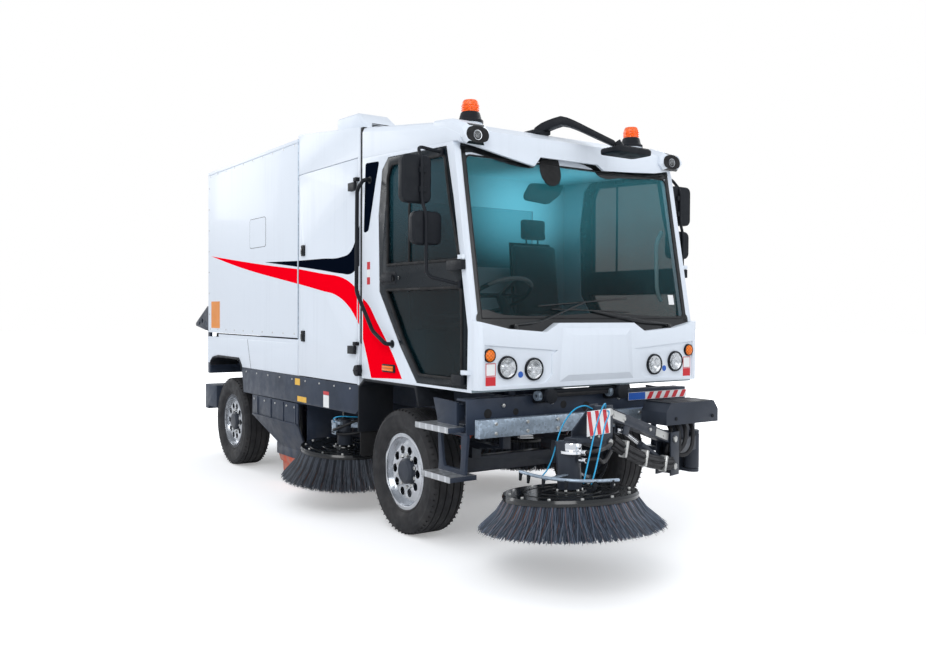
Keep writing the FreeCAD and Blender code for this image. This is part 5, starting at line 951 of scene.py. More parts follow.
def soften(node: str, coats: Sequence[Finish], width: float = 0.003, segments: int = 2, angle: float = 32.0,
           pick: Optional[Callable[[Vector, Vector], bool]] = None) -> None:
    """Stand for a CAD node with the same shape, its hard edges slightly rounded.

    Args:
        node: The CAD node.
        coats: Its finish and perhaps a second one.
        width: Width of the rounding.
        segments: Steps across the rounding.
        angle: Edges that turn by more than this many degrees are rounded.
        pick: True for a second finish's face, from its centre and its normal.
    """
    whole = bmesh.new()
    whole.from_mesh(frame["nodes"][node].data)
    bmesh.ops.remove_doubles(whole, verts=whole.verts, dist=1e-5)
    bmesh.ops.dissolve_limit(whole, angle_limit=math.radians(0.6), verts=whole.verts, edges=whole.edges)
    round_off(whole, creases(whole, angle), width, segments)
    choice = []
    if pick is not None:
        axle = Vector((AXLE_X, 0, 0))
        choice = [pick(face.calc_center_median() - axle, face.normal) for face in whole.faces]
    thing = finish(f"{node}_dressed", Form(whole), coats[0], frame["nodes"][node]["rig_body"], [node],
                   here=True)
    for coat in coats[1:]:
        thing.data.materials.append(coat.material())
    for face, second in zip(thing.data.polygons, choice):
        face.material_index = int(second)


def coat_node(node: str, *coats: Finish) -> bpy.types.Mesh:
    """Give a CAD node finishes in place of its plain material.

    Args:
        node: The CAD node's name.
        coats: The finishes, in the order of its material slots.

    Returns:
        The node's mesh.
    """
    mesh = frame["nodes"][node].data
    mesh.materials.clear()
    for coat in coats:
        mesh.materials.append(coat.material())
    log.info("%s: CAD node in %s", node, coats[0].name)
    return mesh


@dataclass
class Studio:
    """Floor, lamps, world and camera.

    Attributes:
        eye: Where the camera stands, from the front axle.
        look: Its direction.
        roll: Its turn about that direction, in degrees.
        lens: Its focal length in millimetres.
    """

    eye: Point = (5.271, -4.072, 1.540)
    look: Point = (-0.8243, 0.5658, -0.0194)
    roll: float = 0.3185
    lens: float = 34.455

    def build(self) -> None:
        """Set up everything that isn't part of the machine."""
        self.camera()
        self.world()
        self.floor()
        for name, place, aim, size, power in (
                ("key", (7.5, -9.0, 9.5), (-1.0, 0, 1.2), 7.0, 630.0),
                ("front", (10.5, 3.5, 4.5), (0, 0, 1.2), 5.0, 130.0),
                ("left", (-4.0, 11.0, 8.0), (-1.5, 0, 1.2), 7.0, 420.0),
                ("rear", (-12.0, -4.0, 6.0), (-3.0, 0, 1.5), 5.0, 220.0)):
            data = bpy.data.lights.new(name, "AREA")
            data.size, data.energy = size, power
            facing = (Vector(aim) - Vector(place)).to_track_quat("-Z", "Y").to_matrix()
            self.put(name, data, place, facing)
        bpy.context.scene.view_settings.view_transform = "Standard"

    def put(self, name: str, data: bpy.types.ID, place: Point, basis: Matrix) -> bpy.types.Object:
        """Add a lamp or camera at a point from the front axle, turned by a matrix.

        Args:
            name: Its name.
            data: The lamp or camera itself.
            place: Where it stands.
            basis: The turn.

        Returns:
            The object that carries it.
        """
        thing = bpy.data.objects.new(name, data)
        thing.matrix_world = Matrix.Translation(Vector(place) + Vector((AXLE_X, 0, 0))) @ basis.to_4x4()
        bpy.context.scene.collection.objects.link(thing)
        return thing

    def camera(self) -> None:
        """Make the camera."""
        ahead = Vector(self.look).normalized()
        right = ahead.cross(UP).normalized()
        up = right.cross(ahead)
        turn = math.radians(self.roll)
        across = right * math.cos(turn) + up * math.sin(turn)
        above = up * math.cos(turn) - right * math.sin(turn)
        data = bpy.data.cameras.new("camera")
        data.lens, data.sensor_width, data.clip_end = self.lens, 36.0, 200.0
        basis = Matrix((across, above, -ahead)).transposed()
        bpy.context.scene.camera = self.put("camera", data, self.eye, basis)

    def world(self) -> None:
        """White where the camera sees it, also through glass, and dimmer as a light."""
        world = bpy.data.worlds.new("studio")
        net = Net(world)
        path = [net.add("ShaderNodeLightPath", output=f"Is {kind} Ray")
                for kind in ("Camera", "Transmission")]
        light = net.add("ShaderNodeBackground", None, {"Color": (0.90, 0.94, 1.0), "Strength": 0.80})
        white = net.add("ShaderNodeBackground", None, {"Color": (1, 1, 1)})
        both = net.add("ShaderNodeMixShader", None, {0: path[0].math("MAXIMUM", path[1]), 1: light, 2: white})
        net.add("ShaderNodeOutputWorld", None, {"Surface": both})
        bpy.context.scene.world = world

    def floor(self) -> None:
        """Lay a pale floor that keeps the machine's shadow."""
        form = bmesh.new()
        bmesh.ops.create_grid(form, x_segments=1, y_segments=1, size=60)
        mesh = bpy.data.meshes.new("floor")
        form.to_mesh(mesh)
        form.free()
        material = bpy.data.materials.new("floor")
        net = Net(material).principled()
        seen = net.add("ShaderNodeLightPath", output="Is Camera Ray")
        x, y = net.axis("X"), net.axis("Y")
        far = (x * x + y * y).math("SQRT").ramp(3.0, 8.0, 0.30, 1.0)
        net.set(Base_Color=(0.92, 0.92, 0.92), Roughness=0.95, Specular_IOR_Level=0.0, Emission_Strength=1.0,
                Emission_Color=net.mix(seen * far, (0, 0, 0), (1, 1, 1)))
        mesh.materials.append(material)
        floor = bpy.data.objects.new("floor", mesh)
        bpy.context.scene.collection.objects.link(floor)


CAB_REAR = -0.555
SCREEN_FOOT, SCREEN_HEAD = (0.860, 1.480), (0.662, 2.545)
SCREEN_SLOPE = (SCREEN_FOOT[0] - SCREEN_HEAD[0]) / (SCREEN_HEAD[1] - SCREEN_FOOT[1])


def screen_x(height: float) -> float:
    """The windscreen's outer face at a height."""
    return SCREEN_FOOT[0] - SCREEN_SLOPE * (height - SCREEN_FOOT[1])


def on_screen(form: Form, proud: float) -> Form:
    """Lean a form drawn near x = 0 onto the windscreen, some way in front of the glass.

    Args:
        form: The form, drawn upright.
        proud: How far ahead of the glass its plane x = 0 lands, along X.

    Returns:
        The same form.
    """
    lean = Matrix.Identity(4)
    lean[0][2] = -SCREEN_SLOPE
    lean[0][3] = screen_x(0) + proud
    form.mesh.transform(lean)
    return form


def eaves(x: float) -> float:
    """Height of the joint between the cab and its roof, which climbs to the rear."""
    front, low, high = 0.640, 2.610, 2.667
    return low + (high - low) * (front - x) / (front - CAB_REAR)


def film(points: Sequence[Point]) -> Form:
    """A thin film on the right-hand skin."""
    return Form().decal(Plane.SIDE, points, FILM)


def proud_of_skin(centre: Vector, _: Vector) -> bool:
    """True for a face that stands out from the machine's sides."""
    return abs(centre.y) > BODY_HALF + 0.001


@dataclass
class Body:
    """White body panels behind the cab with their stripes, seams and fittings.

    Attributes:
        rear: Rear face of the hopper.
        seam: Joint between the hopper and the engine bay.
    """

    rear: float = REAR_AXLE - 0.661
    seam: float = -1.715

    def build(self) -> None:
        """Make every part of the body."""
        soften("hopper", [Trim.WHITE, Trim.DARK], 0.014, 3,
               pick=lambda c, n: (self.rear + 0.03 < c.x < self.seam - 0.03 and abs(c.y) < BODY_HALF - 0.045
                                  and 1.33 < c.z < 2.96))
        soften("hopper_door", [Trim.WHITE, Trim.DARK], 0.008, pick=lambda c, n: c.z > 2.94)
        soften("engine_bay", [Trim.WHITE, Trim.BLACK], 0.010, 3,
               pick=lambda c, n: proud_of_skin(c, n) or (-1.68 < c.x < -0.61 and abs(c.y) < BODY_HALF - 0.035
                                                         and 1.02 < c.z < 2.84))
        soften("lower_body", [Trim.WHITE], 0.006)
        soften("roof_intake", [Trim.WHITE], 0.030, 4)
        soften("engine_block", [Trim.GEAR], 0.02)
        soften("tip_brackets", [Trim.GEAR], 0.004)
        for tag, _ in HANDS:
            soften(f"bay_door_{tag}", [Trim.WHITE, Trim.BLACK], 0.004, pick=proud_of_skin)
        self.stripes()
        self.hopper_fittings()
        self.bay_fittings()
        self.lower_fittings()

    def hopper_fittings(self) -> None:
        """Screws, hatch, label, rain rail and rear door ribs."""
        span = self.seam - self.rear - 0.12
        spots = [(self.rear + 0.06 + span * step / 9, z) for step in range(10) for z in (1.345, 2.945)]
        spots += [(self.rear + 0.03, 1.50 + 0.22 * row) for row in range(7)]
        feet = [(x, SKIN + 0.002, z) for x, z in spots]
        screws = Form().studs(feet, (0, -0.006, 0), 0.010, 0.006, 10, 0)
        finish("hopper_screws", screws.both(), Trim.ZINC, "hopper")
        for name, edge, proud, corner, coat in (("seam", 0.0, 0.0012, 0.030, Trim.SEAL),
                                                ("lid", 0.004, 0.0016, 0.028, Trim.WHITE)):
            outline = rect((-2.813 + edge, 2.125 + edge), (-2.415 - edge, 2.399 - edge))
            hatch = Form().plate(Plane.SIDE, outline, SKIN - proud, SKIN + 0.001, corner=corner)
            finish(f"hatch_{name}", hatch.both(), coat, "hopper")
        label = film(rect((-3.909, 1.357), (-3.649, 1.633)))
        finish("hopper_label", label.both(), Trim.LABEL_ORANGE, "hopper")
        rim = Form().block((self.rear + 0.01, SKIN - 0.006, 2.958), (self.seam - 0.01, SKIN + 0.01, 2.972),
                           0.002)
        finish("hopper_rain_rail", rim.both(), Trim.WHITE, "hopper")
        ribs, seal = Form(), Form()
        face = self.rear - 0.041
        for z in (1.52, 2.18, 2.80):
            ribs.block((face - 0.030, -0.86, z - 0.035), (face + 0.004, 0.86, z + 0.035), 0.010)
        finish("hopper_door_ribs", ribs, Trim.WHITE, "hopper_door")
        for y in (-0.885, 0.885):
            seal.block((self.rear - 0.0065, y - 0.012, 1.42), (self.rear + 0.001, y + 0.012, 2.92))
        finish("hopper_door_seal", seal, Trim.SEAL, "hopper")

    def bay_fittings(self) -> None:
        """Gap strip, seam strip, intake grille and latch handles."""
        finish("gap_strip", Form().block((-0.594, -0.974, 1.30), (-0.557, 0.974, 2.90), 0.004), Trim.SEAL)
        strip = Form().block((-1.699, SKIN - 0.003, 1.30), (-1.689, SKIN + 0.004, 2.985), 0.001)
        finish("seam_strip", strip.both(), Trim.GALV)
        slats, pulls = Form(), Form()
        low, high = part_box("roof_intake")
        front = high.x - AXLE_X
        for number in range(4):
            z = low.z + 0.020 + 0.011 * number
            slats.block((front - 0.004, low.y + 0.04, z), (front + 0.004, high.y - 0.04, z + 0.005), 0.001)
        finish("intake_slats", slats, Trim.BLACK)
        for z in (1.33, 2.042):
            pulls.block((-1.613, SKIN - 0.020, z - 0.030), (-1.583, SKIN - 0.012, z + 0.018), 0.004)
            pulls.rod((-1.598, SKIN - 0.010, z + 0.030), (-1.598, SKIN - 0.018, z + 0.030), 0.008, sides=12)
        finish_pair("latch_pulls", pulls, Trim.GLOSS, "bay_door")

    def lower_fittings(self) -> None:
        """Coaming below the hopper, panel split and side labels."""
        coaming = Form().block((-3.70, SKIN + 0.004, 1.255), (-1.70, SKIN + 0.030, 1.296), 0.002)
        finish("hopper_coaming", coaming.both(), Trim.WHITE)
        rubber = Form().block((-3.90, -0.930, 1.250), (-1.72, -0.915, 1.303), 0.002)
        finish("hopper_rubber", rubber.both(), Trim.SEAL)
        split = film([(-2.875, 1.265, 1), (-2.870, 1.265, 1), (-2.774, 0.979, 1), (-2.779, 0.979, 1)])
        finish("panel_split", split.both(), Trim.SEAL)
        for name, x, z, wide, tall, coat in (
                ("sign_red", -1.205, 0.872, 0.10, 0.028, Trim.LABEL_RED),
                ("sign_white", -1.205, 0.772, 0.10, 0.098, Trim.LABEL_WHITE),
                ("yellow_front", -1.760, 0.912, 0.100, 0.055, Trim.LABEL_YELLOW),
                ("yellow_rear", -1.710, 0.775, 0.180, 0.045, Trim.LABEL_YELLOW)):
            finish(f"skirt_{name}", film(rect((x, z), (x + wide, z + tall))).both(), coat)

    def stripes(self) -> None:
        """Red and navy stripes, split where the panels part."""
        end = self.seam - 0.004
        for name, points, coat in (
                ("red", [(-3.909, 2.107, 1), (-2.435, 1.957), (end, 1.894, 1), (end, 1.770, 1),
                         (-2.976, 1.945)], Trim.RED),
                ("navy", [(-2.435, 1.982, 1), (end, 1.963, 1), (end, 1.914, 1)], Trim.NAVY)):
            finish(f"hopper_stripe_{name}", film(points).both(), coat, "hopper")
        for name, points, coat in (
                ("red", [(-1.686, 1.892, 1), (-1.234, 1.84), (-0.886, 1.799), (-0.737, 1.754),
                         (-0.634, 1.703, 1), (-0.634, 1.473, 1), (-0.677, 1.512), (-0.795, 1.592),
                         (-0.978, 1.663), (-1.233, 1.702), (-1.686, 1.767, 1)], Trim.RED),
                ("navy", [(-1.686, 1.963, 1), (-1.235, 1.959), (-0.887, 1.957), (-0.739, 1.99),
                          (-0.634, 2.105, 1), (-0.634, 1.858, 1), (-0.738, 1.822), (-0.887, 1.829),
                          (-1.234, 1.866), (-1.686, 1.912, 1)], Trim.NAVY)):
            finish_pair(f"door_stripe_{name}", film(points), coat, "bay_door")
        for name, heights, coat in (("red", (1.697, 1.688, 1.441, 1.460), Trim.RED),
                                    ("navy", (2.135, 2.175, 1.879, 1.866), Trim.NAVY)):
            post = [(x, z, 1) for x, z in zip((-0.620, -0.598, -0.598, -0.620), heights)]
            finish(f"post_stripe_{name}", film(post).both(), coat)
        cab = film([(-0.54, 1.633, 1), (-0.462, 1.593), (-0.326, 1.463), (-0.146, 1.29), (-0.067, 1.203),
                    (0.03, 1.077, 1), (-0.407, 1.056, 1), (-0.491, 1.241), (-0.538, 1.335, 1)])
        finish("cab_stripe", cab.both(), Trim.RED)


@dataclass
class Cab:
    """Cab shell, roof, apron and doors with their glass, seals and cabin fittings.

    Attributes:
        floor: Underside of the cab.
        deep: Thickness of its walls, with their rounding.
    """

    floor: float = 1.045
    deep: float = 0.028

    def inside(self, spot: Vector, _: Vector) -> bool:
        """True for a face on the inside of the cab's walls.

        Args:
            spot: The face's middle.
            _: The face's normal, which isn't needed.

        Returns:
            Whether it is an inside face.
        """
        return (CAB_REAR + self.deep < spot.x < screen_x(spot.z) - self.deep
                and abs(spot.y) < BODY_HALF - self.deep
                and self.floor + self.deep < spot.z < eaves(spot.x) - self.deep)

    def build(self) -> None:
        """Make the cab."""
        soften("cab_shell", [Trim.WHITE, Trim.CABIN], 0.012, 3, pick=self.inside)
        soften("cab_roof", [Trim.WHITE, Trim.GLOSS], 0.012, 3, 14,
               pick=lambda c, n: c.z > 2.58 and abs(abs(c.y) - 0.872) < 0.05 and 0.72 < c.x < 0.759)
        soften("front_apron", [Trim.WHITE], 0.010, 3, 20)
        for tag, _ in HANDS:
            soften(f"door_{tag}", [Trim.FRAME, Trim.BLACK], 0.004, pick=proud_of_skin)
            coat_node(f"door_glass_{tag}", Trim.DOOR_PANE)
        glass = coat_node("cab_glass", Trim.PANE, Trim.REAR_PANE)
        for face in glass.polygons:
            face.material_index = int(face.center.x < AXLE_X - 0.4)
        self.screen_trim()
        self.door_trim()
        self.apron_trim()
        self.side_trim()
        self.interior()

    def screen_trim(self) -> None:
        """Black bands round the windscreen, its seal, the pods' lamps and the sticker."""
        foot = [(-0.931, 1.415, 1), (-0.931, 1.532), (-0.728, 1.522), (-0.468, 1.515), (-0.233, 1.522),
                (0.148, 1.540), (0.487, 1.522), (0.878, 1.520), (0.931, 1.532), (0.931, 1.415, 1)]
        head = [(-0.931, 2.600, 1), (-0.931, 2.555), (-0.84, 2.548), (-0.631, 2.512), (-0.413, 2.490),
                (-0.359, 2.498), (-0.302, 2.545), (0.16, 2.545), (0.238, 2.490), (0.443, 2.498),
                (0.801, 2.528), (0.931, 2.555), (0.931, 2.600, 1)]
        bands = Form().decal(Plane.FRONT, foot, 0.0).decal(Plane.FRONT, head, 0.0)
        for y in (-0.916, 0.916):
            bands.block((-0.0006, y - 0.016, 1.47), (0.0006, y + 0.016, 2.58))
        face = [(-0.952, 2.620), (-0.952, 2.664), (-0.922, 2.688), (-0.822, 2.688), (-0.792, 2.664),
                (-0.792, 2.620), (-0.822, 2.600), (-0.922, 2.600)]
        finish("pod_faces", Form().decal(Plane.FRONT, face, 0.7608).both(), Trim.SEAL)
        patch = [(-0.300, 2.60, 1), (-0.130, 2.60, 1), (-0.150, 2.41), (-0.270, 2.41)]
        finish("mirror_frit", on_screen(Form().decal(Plane.FRONT, patch, 0.0), 0.0016), Trim.SEAL)
        finish("screen_bands", on_screen(bands, 0.0022), Trim.GLOSS)
        loop = [(0, y, z) for y, z, _ in rect((-0.903, 1.5), (0.903, 2.529))]
        loop.append(loop[0])
        finish("screen_seal", on_screen(Form().pipe(loop, 0.006, 0.04), -0.001), Trim.SEAL)
        sticker = on_screen(Form().block((0, 0.775, 1.60), (0.0006, 0.83, 1.67)), -0.0036)
        finish("screen_sticker", sticker, Trim.LABEL_WHITE)

    def door_trim(self) -> None:
        """Window seals, door handles and locks."""
        seals = Form()
        middle = Vector((0.28, 2.2))
        pane = [Vector(corner) for corner in ((-0.172, 1.866), (0.728, 1.866), (0.606, 2.256), (0.550, 2.532),
                                              (-0.121, 2.564), (-0.175, 2.483))]
        upper = [corner + (corner - middle).normalized() * 0.002 for corner in pane]
        lower = [(-0.190, 1.690), (0.748, 1.690), (0.754, 1.429), (0.754, 1.120), (0.256, 1.120),
                 (0.048, 1.350)]
        for loop in (upper, lower):
            points = [(x, SKIN - 0.001, z) for x, z in loop]
            seals.pipe(points + points[:1], 0.010, 0.03)
        seals.pipe([(0.10, SKIN + 0.012, z) for z in (1.872, 2.545)], 0.009)
        finish_pair("door_seals", seals, Trim.SEAL, "door")
        cup = Form().plate(Plane.SIDE, rect((-0.262, 1.728), (-0.055, 1.815)), SKIN - 0.0025, SKIN + 0.001,
                           0.001, corner=0.02)
        finish_pair("door_handle_cup", cup, Trim.BLACK, "door")
        lever = Form().block((-0.262, SKIN - 0.016, 1.750), (-0.075, SKIN - 0.001, 1.782), 0.005)
        finish_pair("door_lever", lever, Trim.GLOSS, "door")
        lock = Form().rod((-0.015, SKIN + 0.001, 1.772), (-0.015, SKIN - 0.006, 1.772), 0.013, bevel=0.002)
        finish_pair("door_lock", lock, Trim.GLOSS, "door")

    def apron_trim(self) -> None:
        """Stickers and dots on the apron."""
        panel = NOSE - 0.010
        for name, half, low, high, proud, coat in (
                ("border", 0.038, 1.146, 1.226, 0.0010, Trim.LABEL_RED),
                ("white", 0.033, 1.151, 1.221, 0.0016, Trim.LABEL_WHITE),
                ("red", 0.038, 1.088, 1.143, 0.0010, Trim.LABEL_RED)):
            form = Form().block((panel - 0.001, -0.876 - half, low), (panel + proud, -0.876 + half, high))
            finish(f"apron_sticker_{name}", form.both(), coat)
        dots = Form()
        for y in (-0.644, 0.644):
            dots.rod((panel - 0.001, y, 1.150), (panel + 0.0015, y, 1.150), 0.020, sides=28)
        finish("apron_dots", dots, Trim.LABEL_BLUE)

    def side_trim(self) -> None:
        """Quarter panes, filler cap, marker lamps and rear pillar labels."""
        quarter = [(-0.502, 2.622), (-0.301, 2.610), (-0.353, 2.463), (-0.458, 2.125), (-0.526, 2.116)]
        pane = Form().plate(Plane.SIDE, quarter, SKIN - 0.003, SKIN + 0.001, 0.001, corner=0.02)
        finish("quarter_panes", pane.both(), Trim.NAVY)
        cap = Form().rod((-0.59, SKIN + 0.03, 1.10), (-0.59, SKIN - 0.035, 1.10), 0.042, sides=32,
                         bevel=0.006)
        cap.block((-0.62, SKIN - 0.042, 1.094), (-0.56, SKIN - 0.034, 1.106), 0.002)
        finish("filler_cap", cap.both(), Trim.BLACK)
        base = Form().block((-0.236, SKIN - 0.010, 1.112), (-0.058, SKIN + 0.001, 1.168), 0.005)
        finish("marker_base", base.both(), Trim.BLACK)
        lens = Form().block((-0.220, SKIN - 0.020, 1.122), (-0.074, SKIN - 0.009, 1.158), 0.004)
        finish("marker_lens", lens.both(), Trim.AMBER)
        for name, low, high, coat in (("red_high", 1.845, 1.900, Trim.LABEL_RED),
                                      ("white", 1.790, 1.843, Trim.LABEL_WHITE),
                                      ("red_low", 1.735, 1.788, Trim.LABEL_RED)):
            finish(f"pillar_{name}", film(rect((-0.478, low), (-0.432, high))).both(), coat)

    def interior(self) -> None:
        """Dashboard, cabin mirror, grab handle and the steering column's shroud."""
        soften("dashboard", [Trim.DASH, Trim.BLACK], 0.012, 3, pick=lambda c, n: c.x < 0.60 and c.z > 1.47)
        stalk = [(-0.225, 2.60), (-0.055, 2.60), (-0.075, 2.41), (-0.195, 2.41)]
        glass = [(-0.39, 2.285), (-0.20, 2.270), (-0.085, 2.345), (-0.045, 2.415), (-0.33, 2.405),
                 (-0.395, 2.32)]
        top = Form().plate(Plane.FRONT, stalk, -0.070, -0.050, 0.004, corner=0.02)
        top.plate(Plane.FRONT, glass, -0.075, -0.045, 0.008, corner=0.03)
        finish("cabin_mirror", on_screen(top, -0.02), Trim.BLACK)
        bar = [(0.60, y, z) for y, z in ((0.945, 1.63), (0.900, 1.70), (0.885, 2.06), (0.945, 2.15))]
        finish("grab_handle", Form().pipe(bar, 0.015, 0.05), Trim.PALE, "door_left")
        column = Form().rod((0.60, -0.48, 1.47), (0.50, -0.48, 1.63), 0.045, 0.032, bevel=0.004)
        finish("steering_shroud", column, Trim.BLACK)


@dataclass
class Seats:
    """Two sprung seats with stuffed cushions.

    Attributes:
        out: Middle of a seat from the middle of the cab.
        half: Half the width of a cushion.
        voxel: Grid of the cushions' remeshing.
        frames: Length of the cloth simulation.
    """

    out: float = 0.48
    half: float = 0.235
    voxel: float = 0.012
    frames: int = 20

    def build(self) -> None:
        """Make both seats."""
        cushion = [(-0.21, 1.42), (0.205, 1.41), (0.222, 1.485), (-0.20, 1.515)]
        back = [(-0.330, 1.45), (-0.245, 1.52), (-0.325, 2.09), (-0.395, 2.09)]
        rest = [(-0.388, 2.125), (-0.328, 2.125), (-0.340, 2.29), (-0.395, 2.29)]
        shell = [(-0.345, 1.402), (-0.335, 1.402), (-0.402, 2.10), (-0.412, 2.10)]
        half = self.half
        for side, tag in ((-1, "driver"), (1, "passenger")):
            y = side * self.out
            for name, outline, wide, bevel, reach, nodes in (
                    ("cushion", cushion, half, 0.035, 0.012, [f"{tag}_seat"]),
                    ("back", back, half * 0.95, 0.030, 0.012, []),
                    ("headrest", rest, 0.12, 0.022, 0.008, [])):
                form = Form().plate(Plane.SIDE, outline, y - wide, y + wide, bevel, 3)
                self.stuff(finish(f"{tag}_{name}", form, Trim.CLOTH, replaces=nodes, smooth=60), reach)
            rack = Form().plate(Plane.SIDE, shell, y - half * 0.9, y + half * 0.9, 0.003)
            rack.block((-0.22, y - half * 0.92, 1.401), (0.20, y + half * 0.92, 1.418), 0.004)
            for offset in (-0.06, 0.06):
                rack.rod((-0.372, y + offset, 2.06), (-0.376, y + offset, 2.16), 0.006, sides=10)
            finish(f"{tag}_seat_frame", rack, Trim.BLACK)

    def stuff(self, thing: bpy.types.Object, reach: float) -> None:
        """Swell a piece with a short cloth simulation and keep its result.

        Args:
            thing: The piece.
            reach: How far any point may move.
        """
        remesh = thing.modifiers.new("remesh", "REMESH")
        remesh.mode, remesh.voxel_size = "VOXEL", self.voxel
        self.settle(thing)
        before = [vertex.co.copy() for vertex in thing.data.vertices]
        cloth = thing.modifiers.new("cloth", "CLOTH")
        cloth.settings.use_pressure = True
        cloth.settings.uniform_pressure_force = 4.0
        cloth.settings.effector_weights.gravity = 0.0
        cloth.point_cache.frame_start, cloth.point_cache.frame_end = 1, self.frames
        for step in range(1, self.frames + 1):
            bpy.context.scene.frame_set(step)
        self.settle(thing)
        bpy.context.scene.frame_set(1)
        for vertex, start in zip(thing.data.vertices, before):
            move = vertex.co - start
            if move.length > reach:
                vertex.co = start + move.normalized() * reach
        smooth = thing.modifiers.new("smooth", "SUBSURF")
        smooth.levels = smooth.render_levels = 1

    def settle(self, thing: bpy.types.Object) -> None:
        """Apply a piece's modifiers.

        Args:
            thing: The piece, which keeps its first finish.
        """
        seen = thing.evaluated_get(bpy.context.evaluated_depsgraph_get())
        shape = bpy.data.meshes.new_from_object(seen)
        thing.modifiers.clear()
        coat = thing.data.materials[0]
        thing.data = shape
        shape.materials.clear()
        shape.materials.append(coat)
        shape.shade_smooth()


@dataclass
class Lamps:
    """Headlamps, indicators, beacons, roof lamps and rear clusters.

    Attributes:
        spots: Middles (y, z) of the left-hand headlamps.
        foot: Middle of the left-hand beacon's foot.
        back: Rear face of the bumper.
    """

    spots: Sequence[Point] = ((0.751, 1.197), (0.540, 1.181))
    foot: Point = (0.48, 0.735, 2.787)
    back: float = REAR_AXLE - 0.805 - 0.035 - 0.0003

    def build(self) -> None:
        """Make every lamp."""
        lenses, bowls, bezels, amber = Form(), Form(), Form(), Form()
        pods = Form().lathe([(0.0, -0.016), (0.014, -0.015), (0.026, -0.008), (0.031, 0.0), (0.029, 0.0),
                             (0.0, -0.010)], (0.762, -0.872, 2.640), AHEAD)
        for _, side in HANDS:
            for y, z in self.spots:
                at = (NOSE, side * y, z)
                bezels.lathe([(0.0715, -0.028), (0.0715, 0.004), (0.066, 0.009), (0.061, 0.004),
                              (0.061, -0.020), (0.0, -0.028)], at, AHEAD)
                bowls.lathe([(0.0, -0.024), (0.020, -0.022), (0.045, -0.012), (0.060, 0.001), (0.058, 0.001),
                             (0.043, -0.010), (0.018, -0.019), (0.014, 0.0), (0.0, 0.003)], at, AHEAD)
                lenses.lathe([(0.0, 0.014), (0.03, 0.0125), (0.052, 0.008), (0.061, 0.003), (0.060, 0.001),
                              (0.0, 0.011)], at, AHEAD)
            at = (NOSE, side * 0.888, 1.274)
            bezels.lathe([(0.0415, -0.028), (0.0415, 0.004), (0.038, 0.006), (0.036, 0.0), (0.0, -0.026)], at,
                         AHEAD)
            amber.lathe([(0.0, 0.013), (0.02, 0.011), (0.033, 0.006), (0.037, 0.0), (0.0, -0.01)], at, AHEAD)
            at = (0.760, side * 0.872, 2.644)
            bezels.lathe([(0.0, -0.0295), (0.0458, -0.0295), (0.0458, 0.001), (0.041, 0.002), (0.039, -0.014),
                          (0.0, -0.018)], at, AHEAD)
            lenses.lathe([(0.0, 0.003), (0.022, 0.002), (0.039, -0.003), (0.0, -0.006)], at, AHEAD)
        finish("lamp_bezels", bezels, Trim.BLACK, replaces=["lamps"])
        finish("pod_bowls", pods.both(), Trim.STEEL)
        finish("lamp_bowls", bowls, Trim.CHROME)
        finish("lamp_lenses", lenses, Trim.CLEAR)
        finish("lamp_indicators", amber, Trim.AMBER)
        self.beacons()
        self.rear()

    def beacons(self) -> None:
        """Two rotating beacons: black foot, faceted orange dome."""
        feet, domes = Form(), Form()
        x, out, z = self.foot
        for _, side in HANDS:
            at = (x, side * out, z)
            feet.lathe([(0.0, -0.012), (0.086, -0.012), (0.086, 0.004), (0.074, 0.014), (0.064, 0.052),
                        (0.058, 0.060), (0.0, 0.060)], at)
            domes.lathe([(0.0, 0.060), (0.056, 0.060), (0.056, 0.112), (0.050, 0.130), (0.044, 0.138),
                         (0.0, 0.144)], at, sides=16)
            for level in (0.072, 0.086, 0.100):
                domes.lathe([(0.045, level - 0.0025), (0.0595, level - 0.0015), (0.0595, level + 0.0015),
                             (0.045, level + 0.0025), (0.045, level - 0.0025)], at, sides=28)
        finish("beacon_feet", feet, Trim.BLACK)
        finish("beacon_domes", domes, Trim.ORANGE, smooth=20)

    def rear(self) -> None:
        """Rear clusters on the bumper."""
        housings, red, amber, clear = Form(), Form(), Form(), Form()
        for low, high in ((-0.93, -0.75), (0.75, 0.93)):
            housings.block((self.back - 0.020, low, 0.560), (self.back, high, 0.690), 0.008, 3)
            for number, form in enumerate((red, amber, clear)):
                y = low + 0.008 + number * 0.056
                form.block((self.back - 0.028, y, 0.572), (self.back - 0.018, y + 0.050, 0.678), 0.006, 3)
        finish("tail_housings", housings, Trim.BLACK)
        for name, form, coat in (("red", red, Trim.TAIL), ("amber", amber, Trim.AMBER),
                                 ("clear", clear, Trim.CLEAR)):
            finish(f"tail_lens_{name}", form, coat)


